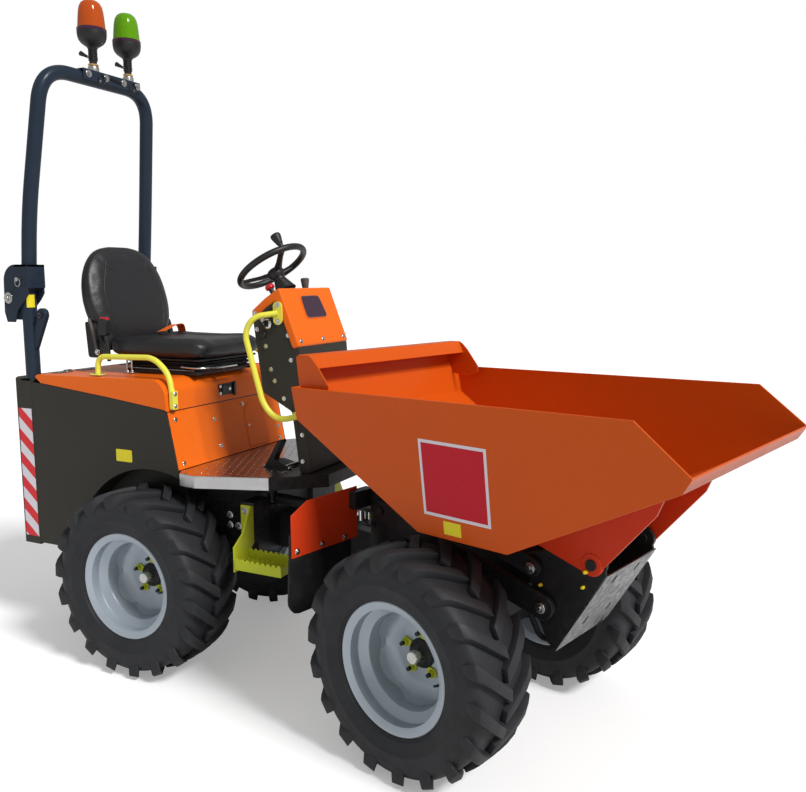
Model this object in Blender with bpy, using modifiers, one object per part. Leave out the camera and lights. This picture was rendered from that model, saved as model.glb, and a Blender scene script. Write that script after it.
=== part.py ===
"""Articulated site dumper with a high-tip skip, a folding roll bar and a hinged bonnet.

Everything is measured in metres with the machine standing straight: X runs forward from the
rear axle, Y to the machine's left and Z up from the ground. The front half is then turned
about the centre pivot, and the whole machine is moved so that the middle of its outline
lies over the origin.
"""
import math

import bmesh
import bpy
from mathutils import Matrix
from mathutils import Vector

# Driving dimensions of the machine.
WHEELBASE = 1.417
HALF_TRACK = 0.423
AXLE_HEIGHT = 0.372
PIVOT_X = 0.688
STEER_AT_REST = math.radians(-14.84)
MIDDLE_OF_OUTLINE = (0.788, -0.152)

# Wheels: a 10.0/75-15.3 tyre on a deep dished rim.
TYRE_RADIUS = 0.372
TYRE_HALF_WIDTH = 0.132
RIM_RADIUS = 0.2125
RIM_HALF_WIDTH = 0.112
TREAD_BARS_A_SIDE = 18
DISC_OFFSET = -0.043
DISC_THICKNESS = 0.012

# Body at the rear.
BODY_HALF_WIDTH = 0.366
SHEET = 0.004
PANEL_REAR_X = -0.657
BODY_BASE_Z = 0.41
WEIGHT_TOP_Z = 1.136
ARCH_RADIUS = 0.43
ARCH_INNER_Y = 0.272
HOOD_TOP_REAR = (-0.631, 1.156)
HOOD_FRONT_EDGE = (0.020, 1.096)
HOOD_EDGE_RADIUS = 0.070
HOOD_HINGE = (-0.628, 1.150)
HOOD_HINGE_RADIUS = 0.006
SEAM_REAR = (-0.656, 1.122)
SEAM_MIDDLE = (-0.199, 1.077)
SEAM_FRONT = (0.074, 1.046)
PANEL_FRONT_TOP = (0.095, 1.0385)
PANEL_FRONT_FOOT = (0.142, 0.8115)
SEAM_GAP = 0.004
SEAT_GAP = 0.0003

HINGE_KNUCKLES = ((-0.215, -0.175), (0.175, 0.215))

# Floor and console.
FLOOR_TOP_Z = 0.81
FLOOR_DEPTH = 0.05
FLOOR_SPLIT_X = 0.53
STEP_TEETH = 9
STEP_TOOTH_DEPTH = 0.009
CONSOLE_HALF_WIDTH = 0.18
CONSOLE_OUTLINE = (
    (0.587, 0.8105),
    (0.640, 0.8105),
    (0.612, 1.05),
    (0.593, 1.301),
    (0.508, 1.523),
    (0.442, 1.48),
    (0.378, 1.428),
    (0.421, 1.118),
    (0.556, 1.048),
)
WHEEL_HUB = (0.351, 1.61)
WHEEL_TILT = math.radians(33.75)
WHEEL_RING_RADIUS = 0.144
WHEEL_GRIP_RADIUS = 0.014
WHEEL_HUB_DEPTH = 0.055

# Roll bar.
POST_X = -0.674
POST_Y = 0.336
BAR_TUBE_RADIUS = 0.030
POST_TOP_Z = 1.512
BAR_FOOT_Z = 1.525
BAR_TOP = (-0.563, 2.430)
BAR_FOLD = (-0.743, 1.481)
BAR_FOLD_PIN_RADIUS = 0.013
BAR_CORNER_RADIUS = 0.14
BEACON_Y = (-0.02, 0.185)

GUARD_X = 0.952

# Lifting gear, drawn in the front half with the machine straight.
LIFT_PIN = (1.06, 0.73)
LEVEL_PIN = (1.02, 0.85)
NOSE_LOW_PIN = (1.74, 0.55)
NOSE_HIGH_PIN = (1.70, 0.67)
NOSE_EDGE = ((1.775, 0.412), (1.943, 0.690))
NOSE_CROSS_BARS = ((1.775, 0.46), (1.82, 0.66))
GUARD_SLOT_SHARES = (0.31, 0.86)
GUARD_SLOT_Y = (-0.075, 0.075)
GUARD_SLOT_HEIGHT = 0.034
GUARD_SLOT_HALF_WIDTH = 0.007
SKIP_PIN = (1.905, 0.722)
ARM_Y = 0.185
PLATE_Y = 0.160
BRACKET_Y = 0.178
PIN_RADIUS = 0.0175
RAM_PIN_RADIUS = 0.014
STEER_PIN_RADIUS = 0.010
PIN_PLAY = 0.0007
LIFT_RAM_BASE = (1.22, 0.27)
LIFT_RAM_EYE = (1.24, 0.66)
TIP_RAM_BASE = NOSE_LOW_PIN
TIP_RAM_EYE = (1.36, 0.755)
STEER_RAM_BASE = (0.44, -0.16)
STEER_RAM_EYE = (0.943, -0.16)
STEER_RAM_Z = 0.69

# Skip: side view of the outer skin, with the half width at each height.
SKIP_HALF_WIDTH = 0.46
SKIP_FLOOR_HALF_WIDTH = 0.42
SKIP_SHEET = 0.006
SKIP_REAR_TOP = (0.896, 1.195)
SKIP_REAR_FOLD = (0.922, 1.086)
SKIP_CREASE_FRONT_X = 2.262
SKIP_FLOOR_REAR = (1.43, 0.783)
SKIP_FLOOR_FRONT = (1.763, 0.783)
SKIP_LIP_FOLD = (2.283, 1.054)
SKIP_LIP = (2.309, 1.097)
SKIP_FRONT_TOP = (2.154, 1.219)

ROUND_SEGMENTS = 20
PIN_SEGMENTS = 14
WELD = 0.00001

# Bodies that move: parent and the place of the joint, with the machine straight.
REAR = "rear_chassis"
FRONT = "front_chassis"
BODY_PLACES = (
    # body, parent body, joint place
    (FRONT, REAR, (PIVOT_X, 0.0, 0.51)),
    ("bonnet", REAR, (HOOD_HINGE[0], 0.0, HOOD_HINGE[1])),
    ("roll_bar", REAR, (BAR_FOLD[0], 0.0, BAR_FOLD[1])),
    ("steering", REAR, (WHEEL_HUB[0], 0.0, WHEEL_HUB[1])),
    ("steer_barrel", REAR, (*STEER_RAM_BASE, STEER_RAM_Z)),
    ("rear_right", REAR, (0.0, -HALF_TRACK, AXLE_HEIGHT)),
    ("rear_left", REAR, (0.0, HALF_TRACK, AXLE_HEIGHT)),
    ("front_right", FRONT, (WHEELBASE, -HALF_TRACK, AXLE_HEIGHT)),
    ("front_left", FRONT, (WHEELBASE, HALF_TRACK, AXLE_HEIGHT)),
    ("lift_arms", FRONT, (LIFT_PIN[0], 0.0, LIFT_PIN[1])),
    ("level_links", FRONT, (LEVEL_PIN[0], 0.0, LEVEL_PIN[1])),
    ("nose", "lift_arms", (NOSE_LOW_PIN[0], 0.0, NOSE_LOW_PIN[1])),
    ("skip", "nose", (SKIP_PIN[0], 0.0, SKIP_PIN[1])),
    ("lift_barrel", FRONT, (LIFT_RAM_BASE[0], 0.0, LIFT_RAM_BASE[1])),
    ("lift_rod", "lift_barrel", (LIFT_RAM_BASE[0], 0.0, LIFT_RAM_BASE[1])),
    ("tip_barrel", "nose", (TIP_RAM_BASE[0], 0.0, TIP_RAM_BASE[1])),
    ("tip_rod", "tip_barrel", (TIP_RAM_BASE[0], 0.0, TIP_RAM_BASE[1])),
    ("steer_rod", "steer_barrel", (*STEER_RAM_BASE, STEER_RAM_Z)),
)

# Finishes: colour, roughness and metallic value.
FINISHES = {
    "orange_paint": ((0.80, 0.17, 0.02), 0.35, 0.0),
    "dark_panel": ((0.045, 0.038, 0.034), 0.5, 0.0),
    "black_steel": ((0.012, 0.012, 0.013), 0.45, 0.2),
    "roll_bar_blue": ((0.022, 0.032, 0.045), 0.4, 0.2),
    "yellow_steel": ((0.65, 0.62, 0.08), 0.4, 0.0),
    "lime_steel": ((0.42, 0.50, 0.03), 0.45, 0.0),
    "bright_aluminium": ((0.55, 0.55, 0.55), 0.4, 1.0),
    "galvanised": ((0.45, 0.46, 0.47), 0.45, 1.0),
    "rim_silver": ((0.42, 0.43, 0.43), 0.4, 0.6),
    "tyre_rubber": ((0.02, 0.02, 0.024), 0.8, 0.0),
    "black_vinyl": ((0.012, 0.012, 0.014), 0.5, 0.0),
    "black_plastic": ((0.015, 0.015, 0.016), 0.5, 0.0),
    "red_plastic": ((0.5, 0.01, 0.01), 0.35, 0.0),
    "amber_lens": ((0.75, 0.09, 0.02), 0.2, 0.0),
    "green_lens": ((0.15, 0.60, 0.02), 0.2, 0.0),
    "polished_rod": ((0.6, 0.6, 0.6), 0.15, 1.0),
}


# Scene and collections.

def empty_scene():
    """Remove every object, so that the script can be run again in an open file."""
    for thing in list(bpy.data.objects):
        bpy.data.objects.remove(thing)


def collection(name):
    """Return the collection of that name, made and linked if it is missing."""
    found = bpy.data.collections.get(name)
    if found is None:
        found = bpy.data.collections.new(name)
        bpy.context.scene.collection.children.link(found)
    return found


def material(name):
    """Return the Principled material of one finish."""
    found = bpy.data.materials.get(name)
    if found is None:
        found = bpy.data.materials.new(name)
        found.use_nodes = True
    colour, roughness, metallic = FINISHES[name]
    surface = found.node_tree.nodes["Principled BSDF"]
    surface.inputs["Base Color"].default_value = (*colour, 1.0)
    surface.inputs["Roughness"].default_value = roughness
    surface.inputs["Metallic"].default_value = metallic
    return found


# Shapes: each function returns an object whose mesh lies in the machine's coordinates.

def shape_object(name, data):
    """Link a new object that is still being shaped."""
    thing = bpy.data.objects.new(name, data)
    collection("shapes_in_work").objects.link(thing)
    thing.hide_render = True
    thing.display_type = "WIRE"
    return thing


def evaluated(thing):
    """Replace an object by the welded mesh that its curve or modifiers give."""
    bpy.context.view_layer.update()
    graph = bpy.context.evaluated_depsgraph_get()
    mesh = bpy.data.meshes.new_from_object(thing.evaluated_get(graph))
    mesh.transform(thing.matrix_world)
    shape = bmesh.new()
    shape.from_mesh(mesh)
    bmesh.ops.remove_doubles(shape, verts=shape.verts, dist=WELD)
    bmesh.ops.recalc_face_normals(shape, faces=shape.faces)
    shape.to_mesh(mesh)
    shape.free()
    result = shape_object(thing.name, mesh)
    bpy.data.objects.remove(thing)
    return result


def box(low, high, bevel=0.0, segments=2):
    """Return a box between two corners, its edges rounded by the bevel width."""
    size = Vector(high) - Vector(low)
    middle = (Vector(high) + Vector(low)) / 2.0
    shape = bmesh.new()
    bmesh.ops.create_cube(shape, size=1.0)
    bmesh.ops.scale(shape, vec=size, verts=shape.verts)
    bmesh.ops.translate(shape, vec=middle, verts=shape.verts)
    mesh = bpy.data.meshes.new("box")
    shape.to_mesh(mesh)
    shape.free()
    thing = shape_object("box", mesh)
    if bevel == 0.0:
        return thing
    rounding = thing.modifiers.new("rounding", "BEVEL")
    rounding.width = bevel
    rounding.segments = segments
    return evaluated(thing)


def cylinder(start, end, radius, end_radius=None, segments=ROUND_SEGMENTS):
    """Return a cylinder or a cone between two points."""
    axis = Vector(end) - Vector(start)
    middle = (Vector(end) + Vector(start)) / 2.0
    shape = bmesh.new()
    bmesh.ops.create_cone(
        shape,
        cap_ends=True,
        segments=segments,
        radius1=radius,
        radius2=radius if end_radius is None else end_radius,
        depth=axis.length,
    )
    turn = Vector((0.0, 0.0, 1.0)).rotation_difference(axis).to_matrix().to_4x4()
    bmesh.ops.transform(shape, matrix=Matrix.Translation(middle) @ turn, verts=shape.verts)
    mesh = bpy.data.meshes.new("cylinder")
    shape.to_mesh(mesh)
    shape.free()
    return shape_object("cylinder", mesh)


def turned(profile, place, axis, segments=ROUND_SEGMENTS, closed=False):
    """Turn a profile of (radius, distance along the axis) points about an axis.

    An open profile starts and ends on the axis. The distance counts along the axis from
    the place, and the profile runs down its outer side from the far end.
    """
    mesh = bpy.data.meshes.new("turned")
    points = [(radius, 0.0, along) for radius, along in profile]
    edges = [(i, i + 1) for i in range(len(points) - 1)]
    if closed:
        edges.append((len(points) - 1, 0))
    mesh.from_pydata(points, edges, [])
    thing = shape_object("turned", mesh)
    screw = thing.modifiers.new("turn", "SCREW")
    screw.steps = segments
    screw.render_steps = segments
    screw.use_merge_vertices = True
    screw.merge_threshold = 0.0001
    turn = Vector((0.0, 0.0, 1.0)).rotation_difference(Vector(axis)).to_matrix().to_4x4()
    thing.matrix_world = Matrix.Translation(place) @ turn
    return evaluated(thing)


def plate(outline, low, high, plane="XZ"):
    """Return a flat outline with thickness: the plane names the outline's two axes."""
    turns = {
        "XY": Matrix.Identity(4),
        "XZ": Matrix.Rotation(math.pi / 2.0, 4, "X"),
        "YZ": Matrix(((0, 0, 1, 0), (1, 0, 0, 0), (0, 1, 0, 0), (0, 0, 0, 1))),
    }
    shifts = {"XY": (0.0, 0.0, 1.0), "XZ": (0.0, 1.0, 0.0), "YZ": (1.0, 0.0, 0.0)}
    curve = bpy.data.curves.new("plate", "CURVE")
    curve.dimensions = "2D"
    curve.fill_mode = "BOTH"
    curve.extrude = (high - low) / 2.0
    spline = curve.splines.new("POLY")
    spline.points.add(len(outline) - 1)
    for point, (first, second) in zip(spline.points, outline):
        point.co = (first, second, 0.0, 1.0)
    spline.use_cyclic_u = True
    thing = shape_object("plate", curve)
    middle = Vector(shifts[plane]) * (high + low) / 2.0
    thing.matrix_world = Matrix.Translation(middle) @ turns[plane]
    return evaluated(thing)


def lofted(sections):
    """Return a closed body through rings of points, all with the same number of points."""
    shape = bmesh.new()
    rings = [[shape.verts.new(point) for point in section] for section in sections]
    for lower, upper in zip(rings, rings[1:]):
        for i in range(len(lower)):
            j = (i + 1) % len(lower)
            shape.faces.new((lower[i], lower[j], upper[j], upper[i]))
    shape.faces.new(rings[0])
    shape.faces.new(rings[-1])
    bmesh.ops.recalc_face_normals(shape, faces=shape.faces)
    mesh = bpy.data.meshes.new("loft")
    shape.to_mesh(mesh)
    shape.free()
    return shape_object("loft", mesh)


def tube(points, radius, resolution=2):
    """Return a round bar along a chain of points, with filled ends."""
    curve = bpy.data.curves.new("tube", "CURVE")
    curve.dimensions = "3D"
    curve.bevel_depth = radius
    curve.bevel_resolution = resolution
    curve.use_fill_caps = True
    spline = curve.splines.new("POLY")
    spline.points.add(len(points) - 1)
    for point, place in zip(spline.points, points):
        point.co = (*place, 1.0)
    return evaluated(shape_object("tube", curve))


def fused(pieces):
    """Join overlapping pieces into one closed body."""
    first, *others = pieces
    for number, other in enumerate(others):
        union = first.modifiers.new(f"union_{number}", "BOOLEAN")
        union.operation = "UNION"
        union.solver = "EXACT"
        union.object = other
    result = evaluated(first)
    for other in others:
        bpy.data.objects.remove(other)
    return result


def cut(piece, cutters):
    """Take the cutters' volume away from a piece."""
    for number, cutter in enumerate(cutters):
        difference = piece.modifiers.new(f"cut_{number}", "BOOLEAN")
        difference.operation = "DIFFERENCE"
        difference.solver = "EXACT"
        difference.object = cutter
    result = evaluated(piece)
    for cutter in cutters:
        bpy.data.objects.remove(cutter)
    return result


# Outlines.

def mirrored_outline(right_side):
    """Complete a plan outline from the points of its right side, rear to front."""
    left_side = [(x, -y) for x, y in reversed(right_side)]
    return list(right_side) + left_side


def arc(centre, radius, start, end, steps):
    """Return points on an arc: angles in degrees from the first axis."""
    angles = [math.radians(start + (end - start) * i / steps) for i in range(steps + 1)]
    return [(centre[0] + radius * math.cos(a), centre[1] + radius * math.sin(a)) for a in angles]


def link_outline(start, end, start_radius, end_radius, steps=6):
    """Return the outline round two bosses."""
    heading = math.degrees(math.atan2(end[1] - start[1], end[0] - start[0]))
    far = arc(end, end_radius, heading - 90.0, heading + 90.0, steps)
    near = arc(start, start_radius, heading + 90.0, heading + 270.0, steps)
    return far + near


def inset(outline, distance):
    """Return an outline moved inwards by a distance, or outwards by a negative one."""
    count = len(outline)
    area = sum(
        outline[i][0] * outline[(i + 1) % count][1] - outline[(i + 1) % count][0] * outline[i][1]
        for i in range(count)
    )
    side = 1.0 if area > 0.0 else -1.0
    moved = []
    for i in range(count):
        before = Vector(outline[i]) - Vector(outline[i - 1])
        after = Vector(outline[(i + 1) % count]) - Vector(outline[i])
        normal_before = Vector((-before.y, before.x)).normalized() * side
        normal_after = Vector((-after.y, after.x)).normalized() * side
        middle = (normal_before + normal_after).normalized()
        reach = distance / max(middle.dot(normal_after), 0.2)
        moved.append(tuple(Vector(outline[i]) + middle * reach))
    return moved


def rounded_path(corners, radius, steps=4):
    """Return a path through corners, each one rounded by a curve that starts at the radius."""
    path = [Vector(corners[0])]
    for before, corner, after in zip(corners, corners[1:], corners[2:]):
        corner = Vector(corner)
        towards_before = Vector(before) - corner
        towards_after = Vector(after) - corner
        reach = min(radius, towards_before.length / 2.0, towards_after.length / 2.0)
        start = corner + towards_before.normalized() * reach
        end = corner + towards_after.normalized() * reach
        for i in range(steps + 1):
            t = i / steps
            path.append(start * (1 - t) ** 2 + corner * 2 * t * (1 - t) + end * t ** 2)
    path.append(Vector(corners[-1]))
    return path


def on_side(place, side):
    """Return an (x, z) place as a point at a distance across the machine."""
    return (place[0], side, place[1])


def pin_across(place, start, end, radius):
    """Return a pin that lies across the machine at an (x, z) place."""
    return cylinder(on_side(place, start), on_side(place, end), radius, segments=PIN_SEGMENTS)


# Bodies: an empty stands on each joint, and a body's pieces hang from it.

BODY_EMPTIES = {}
BODY_POINTS = {}


def make_bodies():
    """Place an empty at the root and on every joint."""
    root = bpy.data.objects.new("site_dumper", None)
    collection("site_dumper").objects.link(root)
    root.location = (-MIDDLE_OF_OUTLINE[0], -MIDDLE_OF_OUTLINE[1], 0.0)
    BODY_EMPTIES[REAR] = root
    BODY_POINTS[REAR] = Vector((0.0, 0.0, 0.0))
    for body, parent, place in BODY_PLACES:
        joint = bpy.data.objects.new(f"{body}_joint", None)
        collection("site_dumper").objects.link(joint)
        joint.parent = BODY_EMPTIES[parent]
        joint.location = Vector(place) - BODY_POINTS[parent]
        BODY_EMPTIES[body] = joint
        BODY_POINTS[body] = Vector(place)
    BODY_EMPTIES[FRONT].rotation_euler.z = STEER_AT_REST


def finish(piece, name, body, finish_name):
    """Name a shaped piece, hang it from its body's empty and give it its material."""
    piece.data.transform(Matrix.Translation(-BODY_POINTS[body]))
    for holder in list(piece.users_collection):
        holder.objects.unlink(piece)
    collection("site_dumper").objects.link(piece)
    piece.name = name
    piece.data.name = name
    piece.hide_render = False
    piece.display_type = "TEXTURED"
    piece.parent = BODY_EMPTIES[body]
    piece.data.materials.clear()
    piece.data.materials.append(material(finish_name))
    piece.data.shade_smooth()
    piece.data.set_sharp_from_angle(angle=math.radians(30.0))
    return piece


# Wheels.

# Tread rows of a tyre: distance across, radius, lag in degrees and half the bar's width in
# degrees. The bars stand on the foot rows and end at the top rows.
TREAD_FOOT = ((0.0, 0.348, 0.0, 3.3), (0.092, 0.345, 12.0, 3.4), (0.127, 0.318, 17.5, 3.4))
TREAD_TOP = (
    (0.0, TYRE_RADIUS, 0.0, 2.4),
    (0.092, TYRE_RADIUS - 0.005, 12.0, 2.5),
    (TYRE_HALF_WIDTH, TYRE_RADIUS - 0.036, 17.5, 2.6),
)
TYRE_WALL = ((0.127, 0.258), (0.1045, 0.214), (0.1045, 0.1986))
TYRE_LINING = ((0.0905, 0.2175), (0.090, 0.322))


class TyreMesh:
    """A tyre's mesh about the Z axis, with the bars raised from the casing's own faces.

    The end of each bar at the middle of the tread touches the ground first when the machine
    rolls forward, and its end at the shoulder lags behind.
    """

    def __init__(self, outward):
        """Start an empty mesh for a wheel that faces outwards to one side."""
        self.shape = bmesh.new()
        self.trail = -outward
        self.pitch = 360.0 / TREAD_BARS_A_SIDE

    def point(self, side, number, across, radius, degrees):
        """Add a vertex at an angle from the middle of a numbered bar."""
        first = 0.0 if side > 0.0 else self.pitch / 2.0
        angle = math.radians(first + self.pitch * number + self.trail * degrees)
        place = (radius * math.cos(angle), radius * math.sin(angle), side * across)
        return self.shape.verts.new(place)

    def row(self, side, across, radius, lag, half):
        """Add the two edge vertices of every bar on one side, lagging edge last."""
        numbers = range(TREAD_BARS_A_SIDE)
        edges = (lag - half * self.trail, lag + half * self.trail)
        return [[self.point(side, n, across, radius, e) for e in edges] for n in numbers]

    def between(self, first, second, steps):
        """Join two rows of vertex pairs by faces over the bars, the gaps or both."""
        count = TREAD_BARS_A_SIDE
        for n in range(count):
            after = (n + 1) % count
            if "bars" in steps:
                self.shape.faces.new((first[n][0], first[n][1], second[n][1], second[n][0]))
            if "gaps" in steps:
                self.shape.faces.new((first[n][1], first[after][0], second[after][0], second[n][1]))

    def bars(self, foot, top):
        """Raise every bar of one side from its foot rows to its top rows."""
        for lower, upper, next_lower, next_upper in zip(foot, top, foot[1:], top[1:]):
            for n in range(TREAD_BARS_A_SIDE):
                for edge in (0, 1):
                    self.shape.faces.new((
                        lower[n][edge], next_lower[n][edge], next_upper[n][edge], upper[n][edge],
                    ))
            self.between(upper, next_upper, ("bars",))
        self.between(foot[0], top[0], ("bars",))
        self.between(foot[-1], top[-1], ("bars",))

    def middle_gaps(self, own, other, outer, shift):
        """Close one side's gaps at the middle, round the feet of the other side's bars."""
        count = TREAD_BARS_A_SIDE
        for n in range(count):
            after = (n + 1) % count
            ends = [outer[n][1], outer[after][0]]
            chain = [own[n][1], *other[(n + shift) % count], own[after][0]]
            if self.trail < 0.0:
                ends.reverse()
                chain.reverse()
            self.shape.faces.new((ends[0], chain[0], chain[1]))
            self.shape.faces.new((ends[0], chain[1], chain[2]))
            self.shape.faces.new((ends[0], chain[2], ends[1]))
            self.shape.faces.new((ends[1], chain[2], chain[3]))

    def lining(self, side, bead):
        """Add one side's half of the inner face, and return its last ring of vertices."""
        count = TREAD_BARS_A_SIDE
        lag = TREAD_FOOT[-1][2]
        rings = [[self.point(side, n, *place, lag) for n in range(count)] for place in TYRE_LINING]
        for n in range(count):
            after = (n + 1) % count
            self.shape.faces.new((bead[n][0], bead[n][1], rings[0][n]))
            self.shape.faces.new((bead[n][1], bead[after][0], rings[0][after], rings[0][n]))
            self.shape.faces.new((rings[0][n], rings[0][after], rings[1][after], rings[1][n]))
        return rings[-1]

    def build(self):
        """Build both sides, join them and return the mesh as an object."""
        feet = {}
        linings = {}
        for side in (1.0, -1.0):
            feet[side] = [self.row(side, *station) for station in TREAD_FOOT]
            top = []
            for across, radius, lag, half in TREAD_TOP:
                corner = radius / math.cos(math.radians(half))
                top.append(self.row(side, across, corner, lag, half))
            self.bars(feet[side], top)
            self.between(feet[side][1], feet[side][2], ("gaps",))
            bead = feet[side][2]
            _, _, lag, half = TREAD_FOOT[-1]
            for across, radius in TYRE_WALL:
                ring = self.row(side, across, radius, lag, half)
                self.between(bead, ring, ("bars", "gaps"))
                bead = ring
            linings[side] = self.lining(side, bead)
        for side, shift in ((1.0, 0), (-1.0, 1)):
            self.middle_gaps(feet[side][0], feet[-side][0], feet[side][1], shift)
        for n in range(TREAD_BARS_A_SIDE):
            after = (n + 1) % TREAD_BARS_A_SIDE
            right, left = linings[1.0], linings[-1.0]
            self.shape.faces.new((right[n], right[after], left[n]))
            self.shape.faces.new((left[n], left[after], right[after]))
        bmesh.ops.recalc_face_normals(self.shape, faces=self.shape.faces)
        mesh = bpy.data.meshes.new("tyre")
        self.shape.to_mesh(mesh)
        self.shape.free()
        return shape_object("tyre", mesh)


def tyre(body, place, outward):
    """Make one tyre as a ring open towards the rim, with its bar tread."""
    piece = TyreMesh(outward).build()
    turn = Matrix.Rotation(-outward * math.pi / 2.0, 4, "X")
    piece.data.transform(Matrix.Translation(place) @ turn)
    finish(piece, f"tyre_{body}", body, "tyre_rubber")


def rim(body, place, outward):
    """Make one deep dished rim with its disc, wheel nuts and hub cap."""
    well = 0.160
    seat = 0.190
    skin = 0.006
    face = DISC_OFFSET
    profile = (
        (0.0, face + 0.040),
        (0.034, face + 0.040),
        (0.040, face),
        (0.130, face),
        (well - skin, face + 0.030),
        (well - skin, 0.045),
        (seat - skin, 0.070),
        (seat - skin, RIM_HALF_WIDTH - 0.010),
        (RIM_RADIUS, RIM_HALF_WIDTH),
        (0.197, RIM_HALF_WIDTH - 0.0065),
        (0.194, 0.066),
        (well, 0.038),
        (well, -0.070),
        (0.197, -RIM_HALF_WIDTH + 0.0065),
        (RIM_RADIUS, -RIM_HALF_WIDTH),
        (seat - skin, -RIM_HALF_WIDTH + 0.008),
        (well - skin, -0.076),
        (well - skin, face - DISC_THICKNESS),
        (0.0, face - DISC_THICKNESS),
    )
    piece = turned(profile, place, (0.0, outward, 0.0), segments=24)
    finish(piece, f"rim_{body}", body, "rim_silver")


def wheels():
    """Make the four wheels."""
    for body, parent, place in BODY_PLACES:
        if body in ("rear_right", "rear_left", "front_right", "front_left"):
            outward = 1.0 if place[1] > 0.0 else -1.0
            tyre(body, place, outward)
            rim(body, place, outward)


def axle(name, body, x, low, high):
    """Make an axle beam with a drive motor at each end."""
    beam = box((x - 0.05, -0.24, low), (x + 0.05, 0.24, high))
    pieces = [beam]
    for side in (-1.0, 1.0):
        inner = (x, side * 0.20, AXLE_HEIGHT)
        flange = (x, side * 0.285, AXLE_HEIGHT)
        end = (x, side * (HALF_TRACK + DISC_OFFSET - DISC_THICKNESS - SEAT_GAP), AXLE_HEIGHT)
        pieces.append(cylinder(inner, flange, 0.070))
        pieces.append(cylinder((x, side * 0.28, AXLE_HEIGHT), end, 0.075))
    finish(fused(pieces), name, body, "black_steel")


# Rear chassis and bodywork.

RAIL_Y = 0.200
RAIL_THICKNESS = 0.012
RAIL_LOW_Z = 0.45
RAIL_HIGH_Z = 0.60
CROSS_MEMBER_TOP_Z = 0.59
FLOOR_SEAT_Z = FLOOR_TOP_Z - FLOOR_DEPTH - SEAT_GAP
BEAM_HALF_WIDTH = 0.06
YOKE_RADIUS = 0.055
PIVOT_PIN_RADIUS = 0.024
WEIGHT_REAR_X = -0.7965
WEIGHT_WALL = 0.018


def rear_frame():
    """Make the rails, cross members, floor bearers and the pivot's yoke."""
    rear_x = WEIGHT_REAR_X + WEIGHT_WALL + SEAT_GAP
    rail = (
        (rear_x, RAIL_LOW_Z),
        (0.40, RAIL_LOW_Z),
        (0.40, FLOOR_SEAT_Z),
        (0.16, FLOOR_SEAT_Z),
        (0.12, RAIL_HIGH_Z),
        (rear_x, RAIL_HIGH_Z),
    )
    yoke = arc((PIVOT_X, 0.0), YOKE_RADIUS, -90.0, 90.0, 8)
    yoke += [(0.60, YOKE_RADIUS), (0.60, -YOKE_RADIUS)]
    half = RAIL_THICKNESS / 2.0
    pieces = [box((0.38, -BEAM_HALF_WIDTH, RAIL_LOW_Z), (0.635, BEAM_HALF_WIDTH, RAIL_HIGH_Z))]
    for side in (-1.0, 1.0):
        pieces.append(plate(rail, side * RAIL_Y - half, side * RAIL_Y + half))
        pieces.append(box((0.39, side * 0.25 - 0.05, 0.54), (0.45, side * 0.25 + 0.05, 0.70)))
    for x in (-0.645, -0.30, 0.15, 0.388):
        low = (x, -RAIL_Y, RAIL_LOW_Z + 0.01)
        pieces.append(box(low, (x + 0.012, RAIL_Y, CROSS_MEMBER_TOP_Z)))
    pieces.append(box((0.388, -RAIL_Y, 0.58), (0.40, RAIL_Y, FLOOR_SEAT_Z)))
    pieces.append(box((0.54, -0.05, 0.58), (0.56, 0.05, FLOOR_SEAT_Z)))
    pieces.append(plate(yoke, 0.600, 0.620, "XY"))
    pieces.append(plate(yoke, 0.400, 0.420, "XY"))
    pieces.append(box((0.60, -YOKE_RADIUS, 0.40), (0.635, YOKE_RADIUS, 0.62)))
    pivot_pin = cylinder((PIVOT_X, 0.0, 0.385), (PIVOT_X, 0.0, 0.64), PIVOT_PIN_RADIUS)
    pieces.append(pivot_pin)
    ram_clevis = link_outline((0.39, STEER_RAM_BASE[1]), STEER_RAM_BASE, 0.03, 0.026)
    for low in (STEER_RAM_Z - 0.034, STEER_RAM_Z + 0.022):
        pieces.append(plate(ram_clevis, low, low + 0.012, "XY"))
    pin_low = (*STEER_RAM_BASE, STEER_RAM_Z - 0.04)
    pin_high = (*STEER_RAM_BASE, STEER_RAM_Z + 0.04)
    pieces.append(cylinder(pin_low, pin_high, STEER_PIN_RADIUS, segments=PIN_SEGMENTS))
    finish(fused(pieces), "rear_frame", REAR, "black_steel")


def engine():
    """Make the engine and pump as one block at their place."""
    low_z = CROSS_MEMBER_TOP_Z + SEAT_GAP
    block = box((-0.52, -0.185, low_z), (-0.05, 0.185, 1.00), 0.02, 1)
    finish(block, "engine_block", REAR, "black_steel")


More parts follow.
